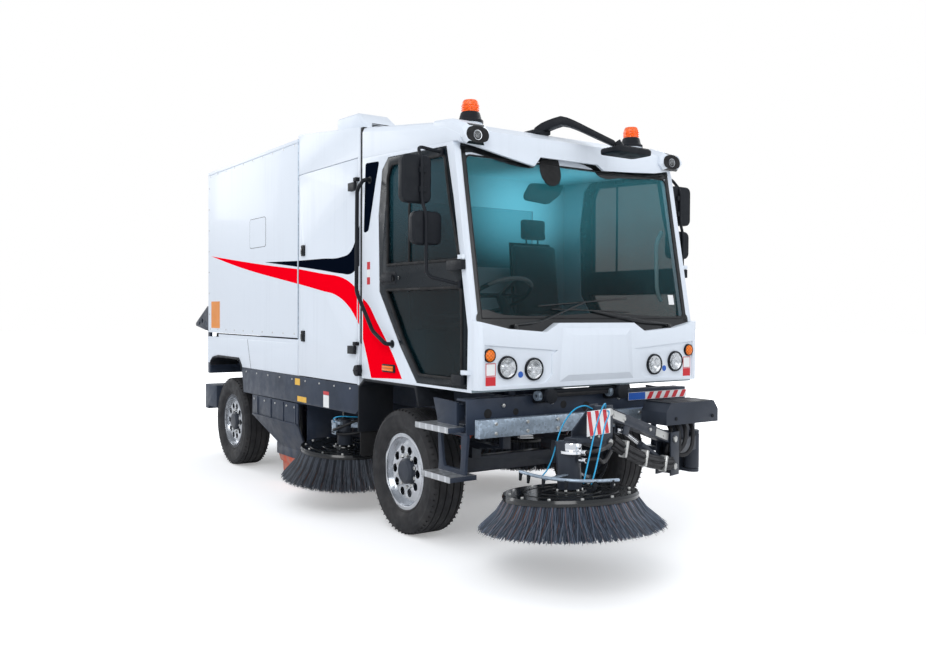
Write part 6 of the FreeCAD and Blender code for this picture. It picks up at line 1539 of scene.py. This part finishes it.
@dataclass
class Outriggers:
    """Side mirrors, grab rails, roof mirror and wipers.

    Attributes:
        out: Outer edge of the mirrors.
        wide: Width of a mirror.
    """

    out: float = BODY_HALF + 0.320
    wide: float = 0.212

    def build(self) -> None:
        """Make every outrigger."""
        arm = Form().pipe([(0.515, -0.985, 2.556), (0.500, -1.150, 2.580), (0.581, -1.168, 2.480),
                           (0.582, -1.168, 2.230), (0.618, -1.160, 2.140), (0.618, -1.155, 1.760),
                           (0.722, -0.985, 1.712)], 0.0110, 0.04)
        for x, z in ((0.515, 2.556), (0.722, 1.712)):
            arm.block((x - 0.028, -0.997, z - 0.024), (x + 0.028, -0.9803, z + 0.024), 0.004)
        for z in (2.30, 2.42, 2.06):
            arm.block((0.545, -1.185, z - 0.018), (0.585, -1.135, z + 0.018), 0.004)
        finish_pair("mirror_arm", arm, Trim.BLACK, "door", replaces=["mirror"])
        heads, faces = Form(), Form()
        for x, shift, low, tall in ((0.508, 0.0, 2.215, 0.300), (0.545, 0.055, 1.955, 0.210)):
            near, far, high = shift - self.out, shift - self.out + self.wide, low + tall
            heads.plate(Plane.FRONT, rect((near, low), (far, high)), x, x + 0.062, 0.014, 4, 0.045)
            inner = rect((near + 0.012, low + 0.012), (far - 0.012, high - 0.012))
            faces.plate(Plane.FRONT, inner, x - 0.001, x + 0.004, 0.001, 2, 0.036)
        finish_pair("mirror_head", heads, Trim.BLACK, "door")
        finish_pair("mirror_face", faces, Trim.CHROME, "door")
        self.rails()
        self.roof_mirror()
        self.wipers()

    def rails(self) -> None:
        """Grab rails behind the doors."""
        rail = Form().pipe([(-0.433, -0.9803, 2.492), (-0.433, -1.035, 2.492), (-0.533, -1.035, 2.430),
                            (-0.538, -1.035, 1.684), (-0.290, -1.035, 1.400), (-0.102, -1.035, 1.313),
                            (-0.102, -0.9803, 1.313)], 0.0145, 0.03)
        for x, z in ((-0.433, 2.492), (-0.102, 1.313)):
            rail.rod((x, -0.980, z), (x, -0.986, z), 0.028, bevel=0.002)
        finish("grab_rails", rail.both(), Trim.BLACK, replaces=["cab_rails"])

    def roof_mirror(self) -> None:
        """The roof mirror on its arched arm."""
        top, under = [], []
        for number in range(13):
            share = number / 12
            half = 1 - 0.4 * share
            spine = (0.088 * math.sin(math.pi * min(1.0, share * 1.6) * 0.55) ** 0.7
                     - 0.19 * max(0.0, share - 0.35) / 0.65)
            top.append((share * 0.55, spine + 0.030 * half))
            under.append((share * 0.55, spine - 0.034 * half))
        arm = Form().plate(Plane.SIDE, top + under[::-1], -0.050, 0.050, 0.006)
        arm.turn(37, UP).shift((0.50, -0.20, 2.768))
        arm.block((0.44, -0.27, 2.752), (0.58, -0.13, 2.782), 0.008)
        arm.plate(Plane.TOP, rect((0.890, 0.02), (1.085, 0.34)), 2.590, 2.628, 0.010, 3, 0.04)
        for number in range(6):
            x = 0.912 + number * 0.029
            arm.block((x, 0.045, 2.624), (x + 0.012, 0.315, 2.635), 0.003)
        arm.rod((0.965, 0.17, 2.61), (0.940, 0.13, 2.68), 0.034, bevel=0.003)
        finish("roof_mirror", arm, Trim.BLACK)

    def wipers(self) -> None:
        """Two wipers: spindle boss, flat arm, bridge and blade."""
        form = Form()
        for pivot, y0, z0, y1, z1 in ((-0.665, -0.457, 1.579, 0.344, 1.640),
                                      (0.715, 0.345, 1.545, -0.345, 1.560)):
            form.rod((0.892, pivot, 1.4353), (0.892, pivot, 1.466), 0.017, 0.014, bevel=0.003)
            y, z = (y0 + y1) / 2, (z0 + z1) / 2
            tip = (screen_x(z) + 0.022, y, z)
            knee = (0.905, pivot + (y - pivot) * 0.3, 1.478)
            form.pipe([(0.892, pivot, 1.462), knee, tip], 0.0065, 0.05, 3)
            first, last = (Vector((screen_x(up) + 0.012, out, up)) for out, up in ((y0, z0), (y1, z1)))
            form.rod(first, last, 0.0055, sides=10)
            for share in (0.2, 0.8):
                form.pipe([first.lerp(last, share) + Vector((0.004, 0, 0.004)), tip], 0.0045, 0.02, 2)
        finish("wiper_arms", form, Trim.GLOSS, replaces=["wipers"])


@dataclass
class Wheels:
    """Four road wheels: steel rims with nuts and a dark cap, ribbed tyres.

    Attributes:
        radius: Outer radius of a tyre.
        bead: Radius where the tyre sits on its rim.
        half: Half the tyre's width.
        nuts: Wheel nuts on each wheel.
        sipes: Cuts in each shoulder.
    """

    radius: float = 0.4335
    bead: float = 0.262
    half: float = 0.1325
    nuts: int = 10
    sipes: int = 60

    def build(self) -> None:
        """Make all wheels."""
        for end in ("front", "rear"):
            for side, hand in HANDS:
                tag = f"{end}_{side}"
                middle = middle_of(f"tyre_{tag}") - Vector((AXLE_X, 0, 0))
                self.tyre(tag, middle)
                soften(f"rim_{tag}", [Trim.STEEL, Trim.ARM], 0.003,
                       pick=lambda c, n, m=middle: math.hypot(c.x - m.x, c.z - m.z) < 0.089)
                foot = (middle.x, middle.y + hand * 0.062, middle.z + 0.112)
                nuts = Form().studs([foot], (0, hand * 0.024, 0), 0.0145, 0.013).ring(self.nuts, LEFT, middle)
                finish(f"wheel_nuts_{tag}", nuts, Trim.ZINC, f"wheel_{tag}")

    def tyre(self, tag: str, middle: Vector) -> None:
        """One tyre with four grooves, rounded shoulders and a ringed sidewall.

        Args:
            tag: The wheel it is on, such as front_left.
            middle: The tyre's middle.
        """
        r, h = self.radius, self.half
        wall = [(self.bead + up, h * share) for up, share in (
            (0, 0.78), (0.012, 0.84), (0.020, 0.83), (0.045, 0.95), (0.050, 0.965), (0.056, 0.965),
            (0.061, 0.98))]
        wall += [(r - down, h * share) for down, share in (
            (0.075, 0.995), (0.050, 0.98), (0.044, 0.99), (0.038, 0.97), (0.018, 0.90), (0.008, 0.82),
            (0.003, 0.74))]
        groove = ((0, 0.016), (0, 0.005), (0.012, 0.003), (0.012, -0.003), (0, -0.005))
        crown = [(r - down, h * (0.62 - 0.413 * row) + step) for row in range(4) for down, step in groove]
        other = [(radius, -along) for radius, along in reversed(wall)]
        inner = [(self.bead - 0.004, -h * 0.70), (self.bead - 0.004, h * 0.70), wall[0]]
        form = Form().lathe(wall + crown + other + inner, middle, LEFT, 72)
        finish(f"tyre_{tag}_dressed", form, Trim.TYRE, f"wheel_{tag}", replaces=[f"tyre_{tag}"], smooth=24)
        sipes = Form()
        for edge in (-h * 0.80, h * 0.80):
            sipes.block((middle.x - 0.0015, middle.y + edge - 0.014, middle.z + r - 0.014),
                        (middle.x + 0.0015, middle.y + edge + 0.014, middle.z + r - 0.0035))
        sipes.ring(self.sipes, LEFT, middle)
        finish(f"tyre_{tag}_sipes", sipes, Trim.SEAL, f"wheel_{tag}")


@dataclass
class Underbody:
    """Chassis, axles, bumper, steps, skirts, arches and the broom housing.

    Attributes:
        beam: Front face of the front cross beam.
    """

    beam: float = 0.812

    def build(self) -> None:
        """Make everything below the body."""
        for node, coat, width in (
                ("chassis_frame", Trim.DARK, 0.004), ("axles", Trim.GEAR, 0.006),
                ("knuckle_right", Trim.GEAR, 0.005), ("knuckle_left", Trim.GEAR, 0.005),
                ("rear_bumper", Trim.DARK, 0.012),
                ("side_skirts", Trim.DARK, 0.003), ("wheel_arches", Trim.BLACK, 0.005),
                ("sweep_housing", Trim.DARK, 0.003), ("lift_barrels", Trim.GEAR, 0.004),
                ("lift_rods", Trim.CHROME, 0.002)):
            soften(node, [coat], width)
        soften("front_rail", [Trim.GALV, Trim.BLACK], 0.005, pick=lambda c, n: c.z > 0.93)
        soften("cab_steps", [Trim.DARK, Trim.CHECKER], 0.004,
               pick=lambda c, n: (abs(n.z) > 0.7 and c.x < 0.81
                                  and (0.795 < c.z < 0.835 or 0.495 < c.z < 0.535)))
        coat_node("sweep_skirt", Trim.CURTAIN)
        self.front()
        self.board()
        self.steps()
        self.sides()

    def front(self) -> None:
        """Slide rail bolts, black discs painted as the shade in the beam's holes, and bump stops."""
        feet = [(0.950, -0.86 + 0.2457 * number, z) for number in range(8) for z in (0.800, 0.858)]
        bolts = Form().studs(feet, (0.010, 0, 0), 0.013)
        feet = [(self.beam, y, z) for y in (-0.70, -0.30, 0.30) for z in (0.83, 0.95)]
        finish("rail_bolts", bolts.studs(feet, (0.010, 0, 0), 0.014), Trim.ZINC)
        hole_shades, stops, rings = Form(), Form(), Form()
        for y, z, radius in ((-0.82, 0.905, 0.030), (-0.60, 0.905, 0.022), (-0.20, 0.930, 0.026),
                             (0.0, 0.905, 0.034), (0.62, 0.86, 0.022), (0.80, 0.875, 0.026)):
            # Painted shade: thin black discs on the beam's face stand for the dark inside of its holes.
            hole_shades.rod((self.beam - 0.004, y, z), (self.beam + 0.0012, y, z), radius, sides=28)
        finish("beam_hole_shades", hole_shades, Trim.SEAL)
        hub = self.beam + 0.062
        for low, high in ((-0.465, -0.380), (0.156, 0.250)):
            stops.block((self.beam - 0.002, low, 0.954), (self.beam + 0.05, high, 1.046), 0.006)
            stops.rod((hub, low + 0.006, 1.002), (hub, high - 0.006, 1.002), 0.034, bevel=0.008)
            rings.lathe([(0.012, 0.002), (0.030, 0.002), (0.032, 0.012), (0.032, 0.03), (0.012, 0.03),
                         (0.012, 0.002)], (hub, low - 0.022, 1.004), LEFT, 32)
        finish("bump_stops", stops, Trim.BLACK)
        tube = Form().rod((self.beam + 0.055, -0.382, 1.010), (self.beam + 0.055, 0.158, 1.010), 0.019,
                          bevel=0.002)
        finish("bump_tube", tube, Trim.HOSE)
        finish("bump_rollers", rings, Trim.GALV)

    def board(self) -> None:
        """The chevron board beside the front arm."""
        board = Form().block((self.beam + 0.020, 0.375, 0.928), (self.beam + 0.024, 0.966, 0.982), 0.001)
        for y in (0.42, 0.88):
            board.block((self.beam - 0.001, y, 0.940), (self.beam + 0.022, y + 0.04, 0.970))
        finish("chevron_board", board, Trim.LABEL_WHITE)
        front = self.beam + 0.0243
        blue = Form().decal(Plane.FRONT, rect((0.377, 0.930), (0.540, 0.980)), front)
        finish("chevron_blue", blue, Trim.LABEL_BLUE)
        bars = Form()
        for number in range(5):
            y = 0.556 + number * 0.084
            bars.decal(Plane.FRONT, [(y, 0.930, 1), (y + 0.042, 0.930, 1), (y + 0.074, 0.980, 1),
                                     (y + 0.032, 0.980, 1)], front)
        finish("chevron_bars", bars, Trim.LABEL_RED)

    def steps(self) -> None:
        """Checkered step nosings and the splash guards behind the front wheels."""
        noses = Form()
        for low, high, z in ((0.400, 0.790, 0.830), (0.480, 0.815, 0.530)):
            noses.block((low + 0.004, -1.102, z - 0.034), (high - 0.004, -1.096, z + 0.004), 0.002)
        finish("step_noses", noses.both(), Trim.CHECKER)
        flap = Form().plate(Plane.FRONT, rect((-0.960, 0.450), (-0.700, 0.760)), -0.616, -0.6088, 0.002,
                            corner=0.03)
        finish("mud_flaps", flap.both(), Trim.SEAL)

    def sides(self) -> None:
        """Skirt screws, housing ribs and the curtain's flap along the sides."""
        feet = [(-0.74 - number * 0.27, SKIN + 0.001, 0.955) for number in range(9)]
        screws = Form().studs(feet, (0, -0.006, 0), 0.009, 0.007, 12, 0)
        feet = [(x, -0.974, 0.715) for x in (-2.70, -2.45, -2.2, -1.95, -1.78)]
        finish("skirt_screws", screws.studs(feet, (0, -0.007, 0), 0.011, 0.009, bevel=0).both(), Trim.ZINC)
        ribs = Form()
        for x in (-2.62, -2.30, -2.02, -1.76):
            ribs.block((x - 0.008, -0.982, 0.570), (x + 0.008, -0.972, 0.742), 0.002)
        ribs.block((-2.740, -0.986, 0.560), (-1.716, -0.972, 0.575), 0.003)
        finish("housing_ribs", ribs.both(), Trim.DARK)
        outline = [(-2.350, 0.260), (-1.800, 0.260), (-1.840, 0.185), (-2.295, 0.185)]
        flap = Form().plate(Plane.SIDE, outline, -0.884, -0.876, 0.002, corner=0.02)
        finish("curtain_flap", flap.both(), Trim.CURTAIN)
        strip = Form().block((-2.36, -0.893, 0.243), (-1.76, -0.884, 0.345), 0.002)
        finish("curtain_strip", strip.both(), Trim.DARK)


def wire(form: Form, rows: Sequence[Sequence[Point]], own: float) -> None:
    """Add one bristle wire of triangular section.

    Args:
        form: Where it is added, with a "strand" layer.
        rows: Its sections from root to tip, of three points each.
        own: The wire's own shade, from 0 to 1.
    """
    shade = form.mesh.verts.layers.float["strand"]
    rings = [[form.mesh.verts.new(spot) for spot in row] for row in rows]
    for ring in rings:
        for vertex in ring:
            vertex[shade] = own
    for above, below in zip(rings, rings[1:]):
        for number in range(3):
            after = (number + 1) % 3
            form.mesh.faces.new((above[number], below[number], below[after], above[after]))
    form.mesh.faces.new(rings[-1][::-1])


def strands() -> Form:
    """An empty form whose points can hold a wire's own shade.

    Returns:
        The form, with a layer for the shades.
    """
    form = Form()
    form.mesh.verts.layers.float.new("strand")
    return form


@dataclass
class RoundBrush:
    """One disc brush: glossy disc, clamp rings, bolts and drooping bristles.

    Attributes:
        name: The piece's name, also that of its CAD node and body.
        at: The tip circle's centre, on the brush's axis.
        lean: Its turn about Y, in degrees.
        tips: Radius at the tips.
        disc: Radius of its disc.
        high: Height of its disc above the tips.
        coat: The bristles' finish.
        seed: Seed of their scatter.
        wires: Wires in one sector.
        sectors: How often the sector is repeated.
        wave: Scatter of the tips.
    """

    name: str
    at: Point
    lean: float
    tips: float
    disc: float
    high: float
    coat: Finish
    seed: int
    wires: int = 150
    sectors: int = 36
    wave: float = 0.010

    def place(self, form: Form) -> Form:
        """Carry a form from the brush's own frame to the machine."""
        return form.turn(self.lean, LEFT).shift(self.at)

    def bristles(self) -> Form:
        """A ring of bristle wires about Z, their tips on the ground plane.

        Returns:
            The wires, with a shade of its own for each.
        """
        inner, root, tip, top = self.disc - 0.13, self.disc - 0.012, self.tips - 0.012, self.high - 0.026
        dice = random.Random(self.seed)
        arc = math.tau / self.sectors
        scatter = []
        for _ in range(self.wires):
            share = math.sqrt(dice.random())
            start = inner + (root - inner) * share
            angle = dice.random() * arc
            reach = start + (tip - root) * (0.55 + 0.45 * share) + dice.uniform(-self.wave, self.wave)
            lean = dice.uniform(-0.06, 0.06)
            scatter.append((start, angle, reach, lean, dice.random(), dice.uniform(0, 0.02)))
        form = strands()
        for sector in range(self.sectors):
            for start, angle, reach, lean, own, short in scatter:
                rows = []
                for share, wide in ((0.0, 0.0034), (0.45, 0.0030), (1.0, 0.0018)):
                    radius = start + (reach - start) * share ** 1.35
                    bend = angle + sector * arc + lean * share ** 2
                    height = top * (1 - share) + short * share
                    rows.append([(radius * math.cos(bend) + wide * math.cos(bend + third),
                                  radius * math.sin(bend) + wide * math.sin(bend + third), height)
                                 for third in (0.0, 2.094, 4.189)])
                wire(form, rows, own)
        return form

    def build(self) -> None:
        """Make the brush."""
        finish(f"{self.name}_bristles", self.place(self.bristles()), self.coat, self.name,
               replaces=[self.name], smooth=60)
        disc, high = self.disc, self.high
        foot, brim = high - 0.045, high + 0.008
        plate = Form().lathe([(0.020, foot), (disc - 0.10, foot), (disc - 0.004, high - 0.034),
                              (disc, high - 0.016), (disc - 0.008, high), (0.095, high), (0.090, brim),
                              (0.020, brim), (0.020, foot)], ORIGIN, sides=64)
        low, top = high - 0.002, high + 0.003
        for near in (0.16, 0.26):
            far = near + 0.02
            plate.lathe([(near, low), (near, top), (far, top), (far, low), (near, low)], ORIGIN)
        finish(f"{self.name}_disc", self.place(plate), Trim.GLOSS, self.name)
        bolts = Form().studs([(disc - 0.045, 0, high - 0.004)], (0, 0, 0.010), 0.010).ring(12, UP)
        inner = Form().studs([(0.070, 0, high)], (0, 0, 0.016), 0.010).ring(6, UP)
        finish(f"{self.name}_bolts", self.place(bolts.join(inner.mesh)), Trim.ZINC, self.name)


@dataclass
class SideSweep:
    """Side brushes with their arms, links, chains and hoses, and the roller broom.

    Attributes:
        pivot: Arm pivot (x, y) on the right.
        spin: Brush axis (x, y) on the right.
        half: Half the length of the roller's bristle field.
        wires: Wires on the roller.
    """

    pivot: Point = (-0.700, -0.620)
    spin: Point = (-1.102, -0.850)
    half: float = 0.705
    wires: int = 3600

    def build(self) -> None:
        """Make the side brushes and the roller."""
        x, y = self.spin
        for tag, side in HANDS:
            RoundBrush(f"side_brush_{tag}", (x, -side * y, 0.207), 4.6, 0.500, 0.352, 0.260,
                       Trim.BRISTLE_SIDE, 11).build()
            soften(f"side_arm_{tag}", [Trim.ARM, Trim.GALV], 0.005,
                   pick=lambda c, n: c.z > 0.60 and abs(c.y) < 0.84)
        self.fittings(x, y)
        self.roller()

    def fittings(self, x: float, y: float) -> None:
        """Links, hoses and chains of an arm whose brush turns at a point.

        Args:
            x: Where the brush turns, forward of the front axle.
            y: The same point, to the left.
        """
        links = Form().block((x - 0.075, y - 0.075, 0.640), (x + 0.075, y + 0.075, 0.668), 0.006)
        links.block((x - 0.035, y - 0.09, 0.560), (x + 0.035, y - 0.066, 0.655), 0.004)
        feet = [(x + dx, y + dy, 0.664) for dx in (-0.05, 0.05) for dy in (-0.05, 0.05)]
        links.studs(feet, (0, 0, 0.018), 0.012)
        links.rod((x + 0.02, y - 0.062, 0.60), (x + 0.02, y - 0.102, 0.60), 0.014, sides=12, bevel=0.002)
        finish_pair("side_arm_fittings", links, Trim.GALV, "side_arm")
        end_x, end_y = self.pivot
        black = Form().hose([(x + 0.02, y - 0.10, 0.60), (x + 0.10, y - 0.10, 0.62),
                             (x + 0.24, y + 0.06, 0.70), (end_x - 0.02, end_y - 0.03, 0.69)], 0.011)
        black.hose([(x - 0.02, y - 0.085, 0.58), (x + 0.10, y - 0.06, 0.57), (x + 0.26, y + 0.10, 0.61),
                    (end_x - 0.01, end_y - 0.045, 0.65)], 0.011)
        finish_pair("side_hoses", black, Trim.HOSE, "side_arm")
        blue = Form().hose([(x, y - 0.085, 0.66), (x + 0.06, y - 0.11, 0.70), (x + 0.20, y, 0.715),
                            (end_x - 0.03, end_y, 0.70)], 0.0045)
        finish_pair("side_spray_hose", blue, Trim.BLUE_HOSE, "side_arm")
        chain = Form()
        for number in range(11):
            z = 0.735 - number * 0.009
            chain.block((x - 0.052 - 0.003, y + 0.018, z), (x - 0.052 + 0.003, y + 0.026, z + 0.012), 0.001)
        finish_pair("side_chain", chain, Trim.ZINC, "side_arm")

    def roller(self) -> None:
        """Roller broom: core drum and bristle rows about its shaft."""
        at = middle_of("roller_broom") - Vector((AXLE_X, 0, 0))
        half = self.half
        end = half + 0.063
        core = Form().lathe([(0, -end), (0.022, -end), (0.022, -half - 0.03), (0.110, -half - 0.03),
                             (0.110, half + 0.03), (0.022, half + 0.03), (0.022, end), (0, end)], at, LEFT)
        finish("roller_core", core, Trim.BLACK, "roller")
        dice = random.Random(5)
        form = strands()
        for _ in range(self.wires):
            angle = math.tau * dice.randrange(24) / 24 + dice.uniform(-0.05, 0.05)
            along = dice.uniform(-half, half)
            reach = dice.uniform(0.285, 0.2985)
            own = dice.random()
            rows = []
            for radius, swing, wide in ((0.108, 0.0, 0.004), (reach, dice.uniform(-0.03, 0.03), 0.003)):
                turn = angle + swing
                rows.append([(at.x + radius * math.cos(turn) - part * wide * math.sin(turn),
                              at.y + along + other * wide,
                              at.z + radius * math.sin(turn) + part * wide * math.cos(turn))
                             for part, other in ((1, 0), (-0.5, 0.87), (-0.5, -0.87))])
            wire(form, rows, own)
        bmesh.ops.recalc_face_normals(form.mesh, faces=form.mesh.faces)
        finish("roller_bristles", form, Trim.BRISTLE_SIDE, "roller", replaces=["roller_broom"], smooth=60)


@dataclass
class FrontArm:
    """Carriage, turret, parallelogram boom and brush head, drawn along the boom from its root.

    Attributes:
        root: The boom's root, seen from above.
        yaw: The boom's direction.
        reach: Level distance between its pins.
        climb: How far its far pins stand above its root pins.
        lower: Height of the lower link's root pin.
        upper: Height of the upper link's root pin.
        tip: Level distance from its root to the brush's axis.
        tips_high: Height of the bristles' tip circle.
    """

    root: Point = (1.200, 0.365, 0.0)
    yaw: float = -76.7
    reach: float = 0.780
    climb: float = 0.240
    lower: float = 0.530
    upper: float = 0.710
    tip: float = 1.078
    tips_high: float = 0.305

    def place(self, form: Form) -> Form:
        """Carry a form drawn along +X from the boom's root to the machine."""
        return form.turn(self.yaw, UP).shift(self.root)

    def raise_to(self, form: Form, height: float) -> Form:
        """Carry a form drawn along +X to the boom's slope, from a pin's height."""
        slope = math.degrees(math.atan2(self.climb, self.reach))
        return self.place(form.turn(-slope, LEFT).shift((0, 0, height)))

    def build(self) -> None:
        """Make the whole front arm."""
        for node, coat, width in (
                ("carriage", Trim.ARM, 0.006), ("turret", Trim.ARM, 0.008), ("boom", Trim.ARM, 0.006),
                ("boom_link", Trim.ARM, 0.005), ("boom_barrel", Trim.ARM, 0.002),
                ("boom_rod", Trim.CHROME, 0.001), ("brush_head", Trim.ARM, 0.005)):
            soften(node, [coat], width)
        turn = math.radians(self.yaw)
        x, y, _ = self.root
        at = (x + self.tip * math.cos(turn), y + self.tip * math.sin(turn), self.tips_high)
        RoundBrush("front_brush", at, -4.8, 0.550, 0.393, 0.207, Trim.BRISTLE, 3).build()
        self.turret_fittings()
        self.boom_fittings()
        self.head_bolts_and_boards()
        self.head_hoses()

    def pin_bolts(self, x: float, heights: Sequence[float]) -> Form:
        """Hexagon heads on both ends of upright pins.

        Args:
            x: Where the pins stand.
            heights: Heights of the heads.

        Returns:
            The bolts.
        """
        bolts = Form()
        for z in heights:
            for hand in (-1, 1):
                bolts.studs([(x, hand * 0.058, z)], (0, hand * 0.014, 0), 0.024, bevel=0.002)
        return bolts

    def turret_fittings(self) -> None:
        """Pin bolts, the cover's lid and the hoses that hang under the cover."""
        finish("root_bolts", self.place(self.pin_bolts(0, (self.lower, self.upper))), Trim.ZINC, "turret")
        lid = Form().block((1.026, 0.345, 0.944), (1.242, 0.770, 0.9475), 0.001)
        for y in (0.40, 0.76):
            lid.rod((1.245, y, 0.84), (1.256, y, 0.84), 0.012, bevel=0.002)
        finish("cover_lid", lid, Trim.BLACK, "turret")
        hoses = Form()
        for number, (y, sag) in enumerate(((0.42, 0.06), (0.49, 0.09), (0.56, 0.05), (0.63, 0.08))):
            hoses.hose([(1.16, y, 0.805), (1.20, y - 0.01, 0.74), (1.215, y - 0.07, 0.68 - sag),
                        (1.19, 0.385 + number * 0.012, 0.60)], 0.014)
        finish("turret_hoses", hoses, Trim.HOSE, "turret")

    def boom_fittings(self) -> None:
        """Bolts and end plates on the upper link, and the hose bundle on the lower one."""
        length = math.hypot(self.reach, self.climb)
        upper, bundle, clamps = Form(), Form(), Form()
        for x in (0.12, 0.30, 0.62, 0.74):
            for hand in (-1, 1):
                upper.studs([(x, hand * 0.042, 0)], (0, hand * 0.009, 0), 0.013)
        for low, high in ((0.06, 0.22), (length - 0.20, length - 0.06)):
            upper.block((low, 0.040, -0.024), (high, 0.0465, 0.024), 0.002)
        finish("boom_bolts", self.raise_to(upper, self.upper), Trim.ZINC, "boom")
        for number in range(5):
            y = 0.062 + 0.011 * (number % 2)
            z = -0.030 + number * 0.016
            bundle.hose([(0.035, y - 0.008, z + 0.01), (0.16, y, z - 0.01),
                         (length * 0.5, y + 0.004, z - 0.028), (length - 0.16, y, z - 0.012),
                         (length - 0.035, y - 0.008, z + 0.012)], 0.0125)
        finish("hose_bundle", self.raise_to(bundle, self.lower), Trim.HOSE, "boom_link")
        for x, sag in ((0.16, 0.008), (length * 0.5, 0.02), (length - 0.16, 0.008)):
            clamps.block((x - 0.011, 0.040, -sag - 0.052), (x + 0.011, 0.092, 0.052 - sag), 0.006)
        finish("hose_clamps", self.raise_to(clamps, self.lower), Trim.ZINC, "boom_link")

    def head_bolts_and_boards(self) -> None:
        """Bolts and warning boards on the brush head."""
        reach, low = self.reach, self.lower + self.climb
        bolts = self.pin_bolts(reach, (low, self.upper + self.climb))
        bolts.studs([(reach + out, 0.058, low + 0.048) for out in (0.12, 0.20)], (0, 0.008, 0), 0.010)
        finish("head_bolts", self.place(bolts), Trim.ZINC, "brush_head")
        board = Form().block((reach + 0.02, 0.0735, low + 0.06), (reach + 0.26, 0.0775, low + 0.205), 0.001)
        board.block((reach + 0.05, 0.056, low + 0.09), (reach + 0.09, 0.074, low + 0.12))
        finish("head_board", self.place(board), Trim.LABEL_WHITE, "brush_head")
        bars = Form()
        foot, head = low + 0.062, low + 0.203
        for number in range(3):
            x = reach + 0.035 + number * 0.080
            bars.decal(Plane.SIDE, [(x, foot, 1), (x + 0.036, foot, 1), (x + 0.070, head, 1),
                                    (x + 0.034, head, 1)], 0.0779)
        finish("head_chevrons", self.place(bars), Trim.LABEL_RED, "brush_head")

    def head_hoses(self) -> None:
        """Motor fittings, hoses, spray bar and jets on the brush head."""
        tip, reach = self.tip, self.reach
        motor = Form().lathe([(0.0, 0.30), (0.052, 0.30), (0.056, 0.292), (0.056, 0.26), (0.072, 0.255),
                              (0.072, 0.24), (0.0, 0.24)], (tip, 0, self.tips_high + 0.19))
        black, blue, jets = Form(), Form(), Form()
        for z, rise in ((0.70, -0.02), (0.745, 0.01)):
            motor.rod((tip, 0.05, z), (tip, 0.098, z), 0.016, bevel=0.003)
            black.hose([(tip, 0.098, z), (tip - 0.03, 0.135, z + 0.01), (tip - 0.14, 0.120, z + rise),
                        (reach + 0.03, 0.088, z + 0.02)], 0.0125)
        finish("head_motor_fittings", self.place(motor), Trim.CHROME, "brush_head")
        finish("head_hoses", self.place(black), Trim.HOSE, "brush_head")
        for number, (out, top) in enumerate(((0.13, 1.01), (0.17, 0.96), (-0.09, 0.985))):
            start = self.upper + self.climb + 0.01
            blue.hose([(reach + 0.02, math.copysign(0.04, out), start), (reach + 0.10, out * 0.7, top),
                       (reach + 0.22, out, top - 0.06), (tip + 0.08, out * 1.25, 0.70 - 0.03 * number),
                       (tip + 0.13, out * 1.3, 0.60)], 0.0042)
        finish("head_spray_hoses", self.place(blue), Trim.BLUE_HOSE, "brush_head")
        bar = Form().pipe([(tip - 0.02, 0.30, 0.615), (tip + 0.20, 0.22, 0.625), (tip + 0.27, 0.0, 0.625),
                           (tip + 0.20, -0.22, 0.625)], 0.010, 0.12)
        bar.block((tip + 0.02, -0.012, 0.612), (tip + 0.27, 0.012, 0.620), 0.002)
        finish("spray_bar", self.place(bar), Trim.GALV, "brush_head")
        feet = [(tip + x, y, 0.620) for x, y in ((0.02, 0.286), (0.13, 0.246), (0.235, 0.13), (0.268, 0.0),
                                                 (0.235, -0.13), (0.20, -0.215))]
        jets.studs(feet, (0.006, 0, -0.045), 0.012, 0.008, 12)
        finish("spray_jets", self.place(jets), Trim.BLACK, "brush_head")


def main() -> None:
    """Dress the machine."""
    logging.basicConfig(level=logging.INFO, format="%(message)s")
    for assembly in (Studio(), Body(), Cab(), Seats(), Lamps(), Outriggers(), Wheels(), Underbody(),
                     SideSweep(), FrontArm()):
        assembly.build()


if __name__ == "__main__":
    main()
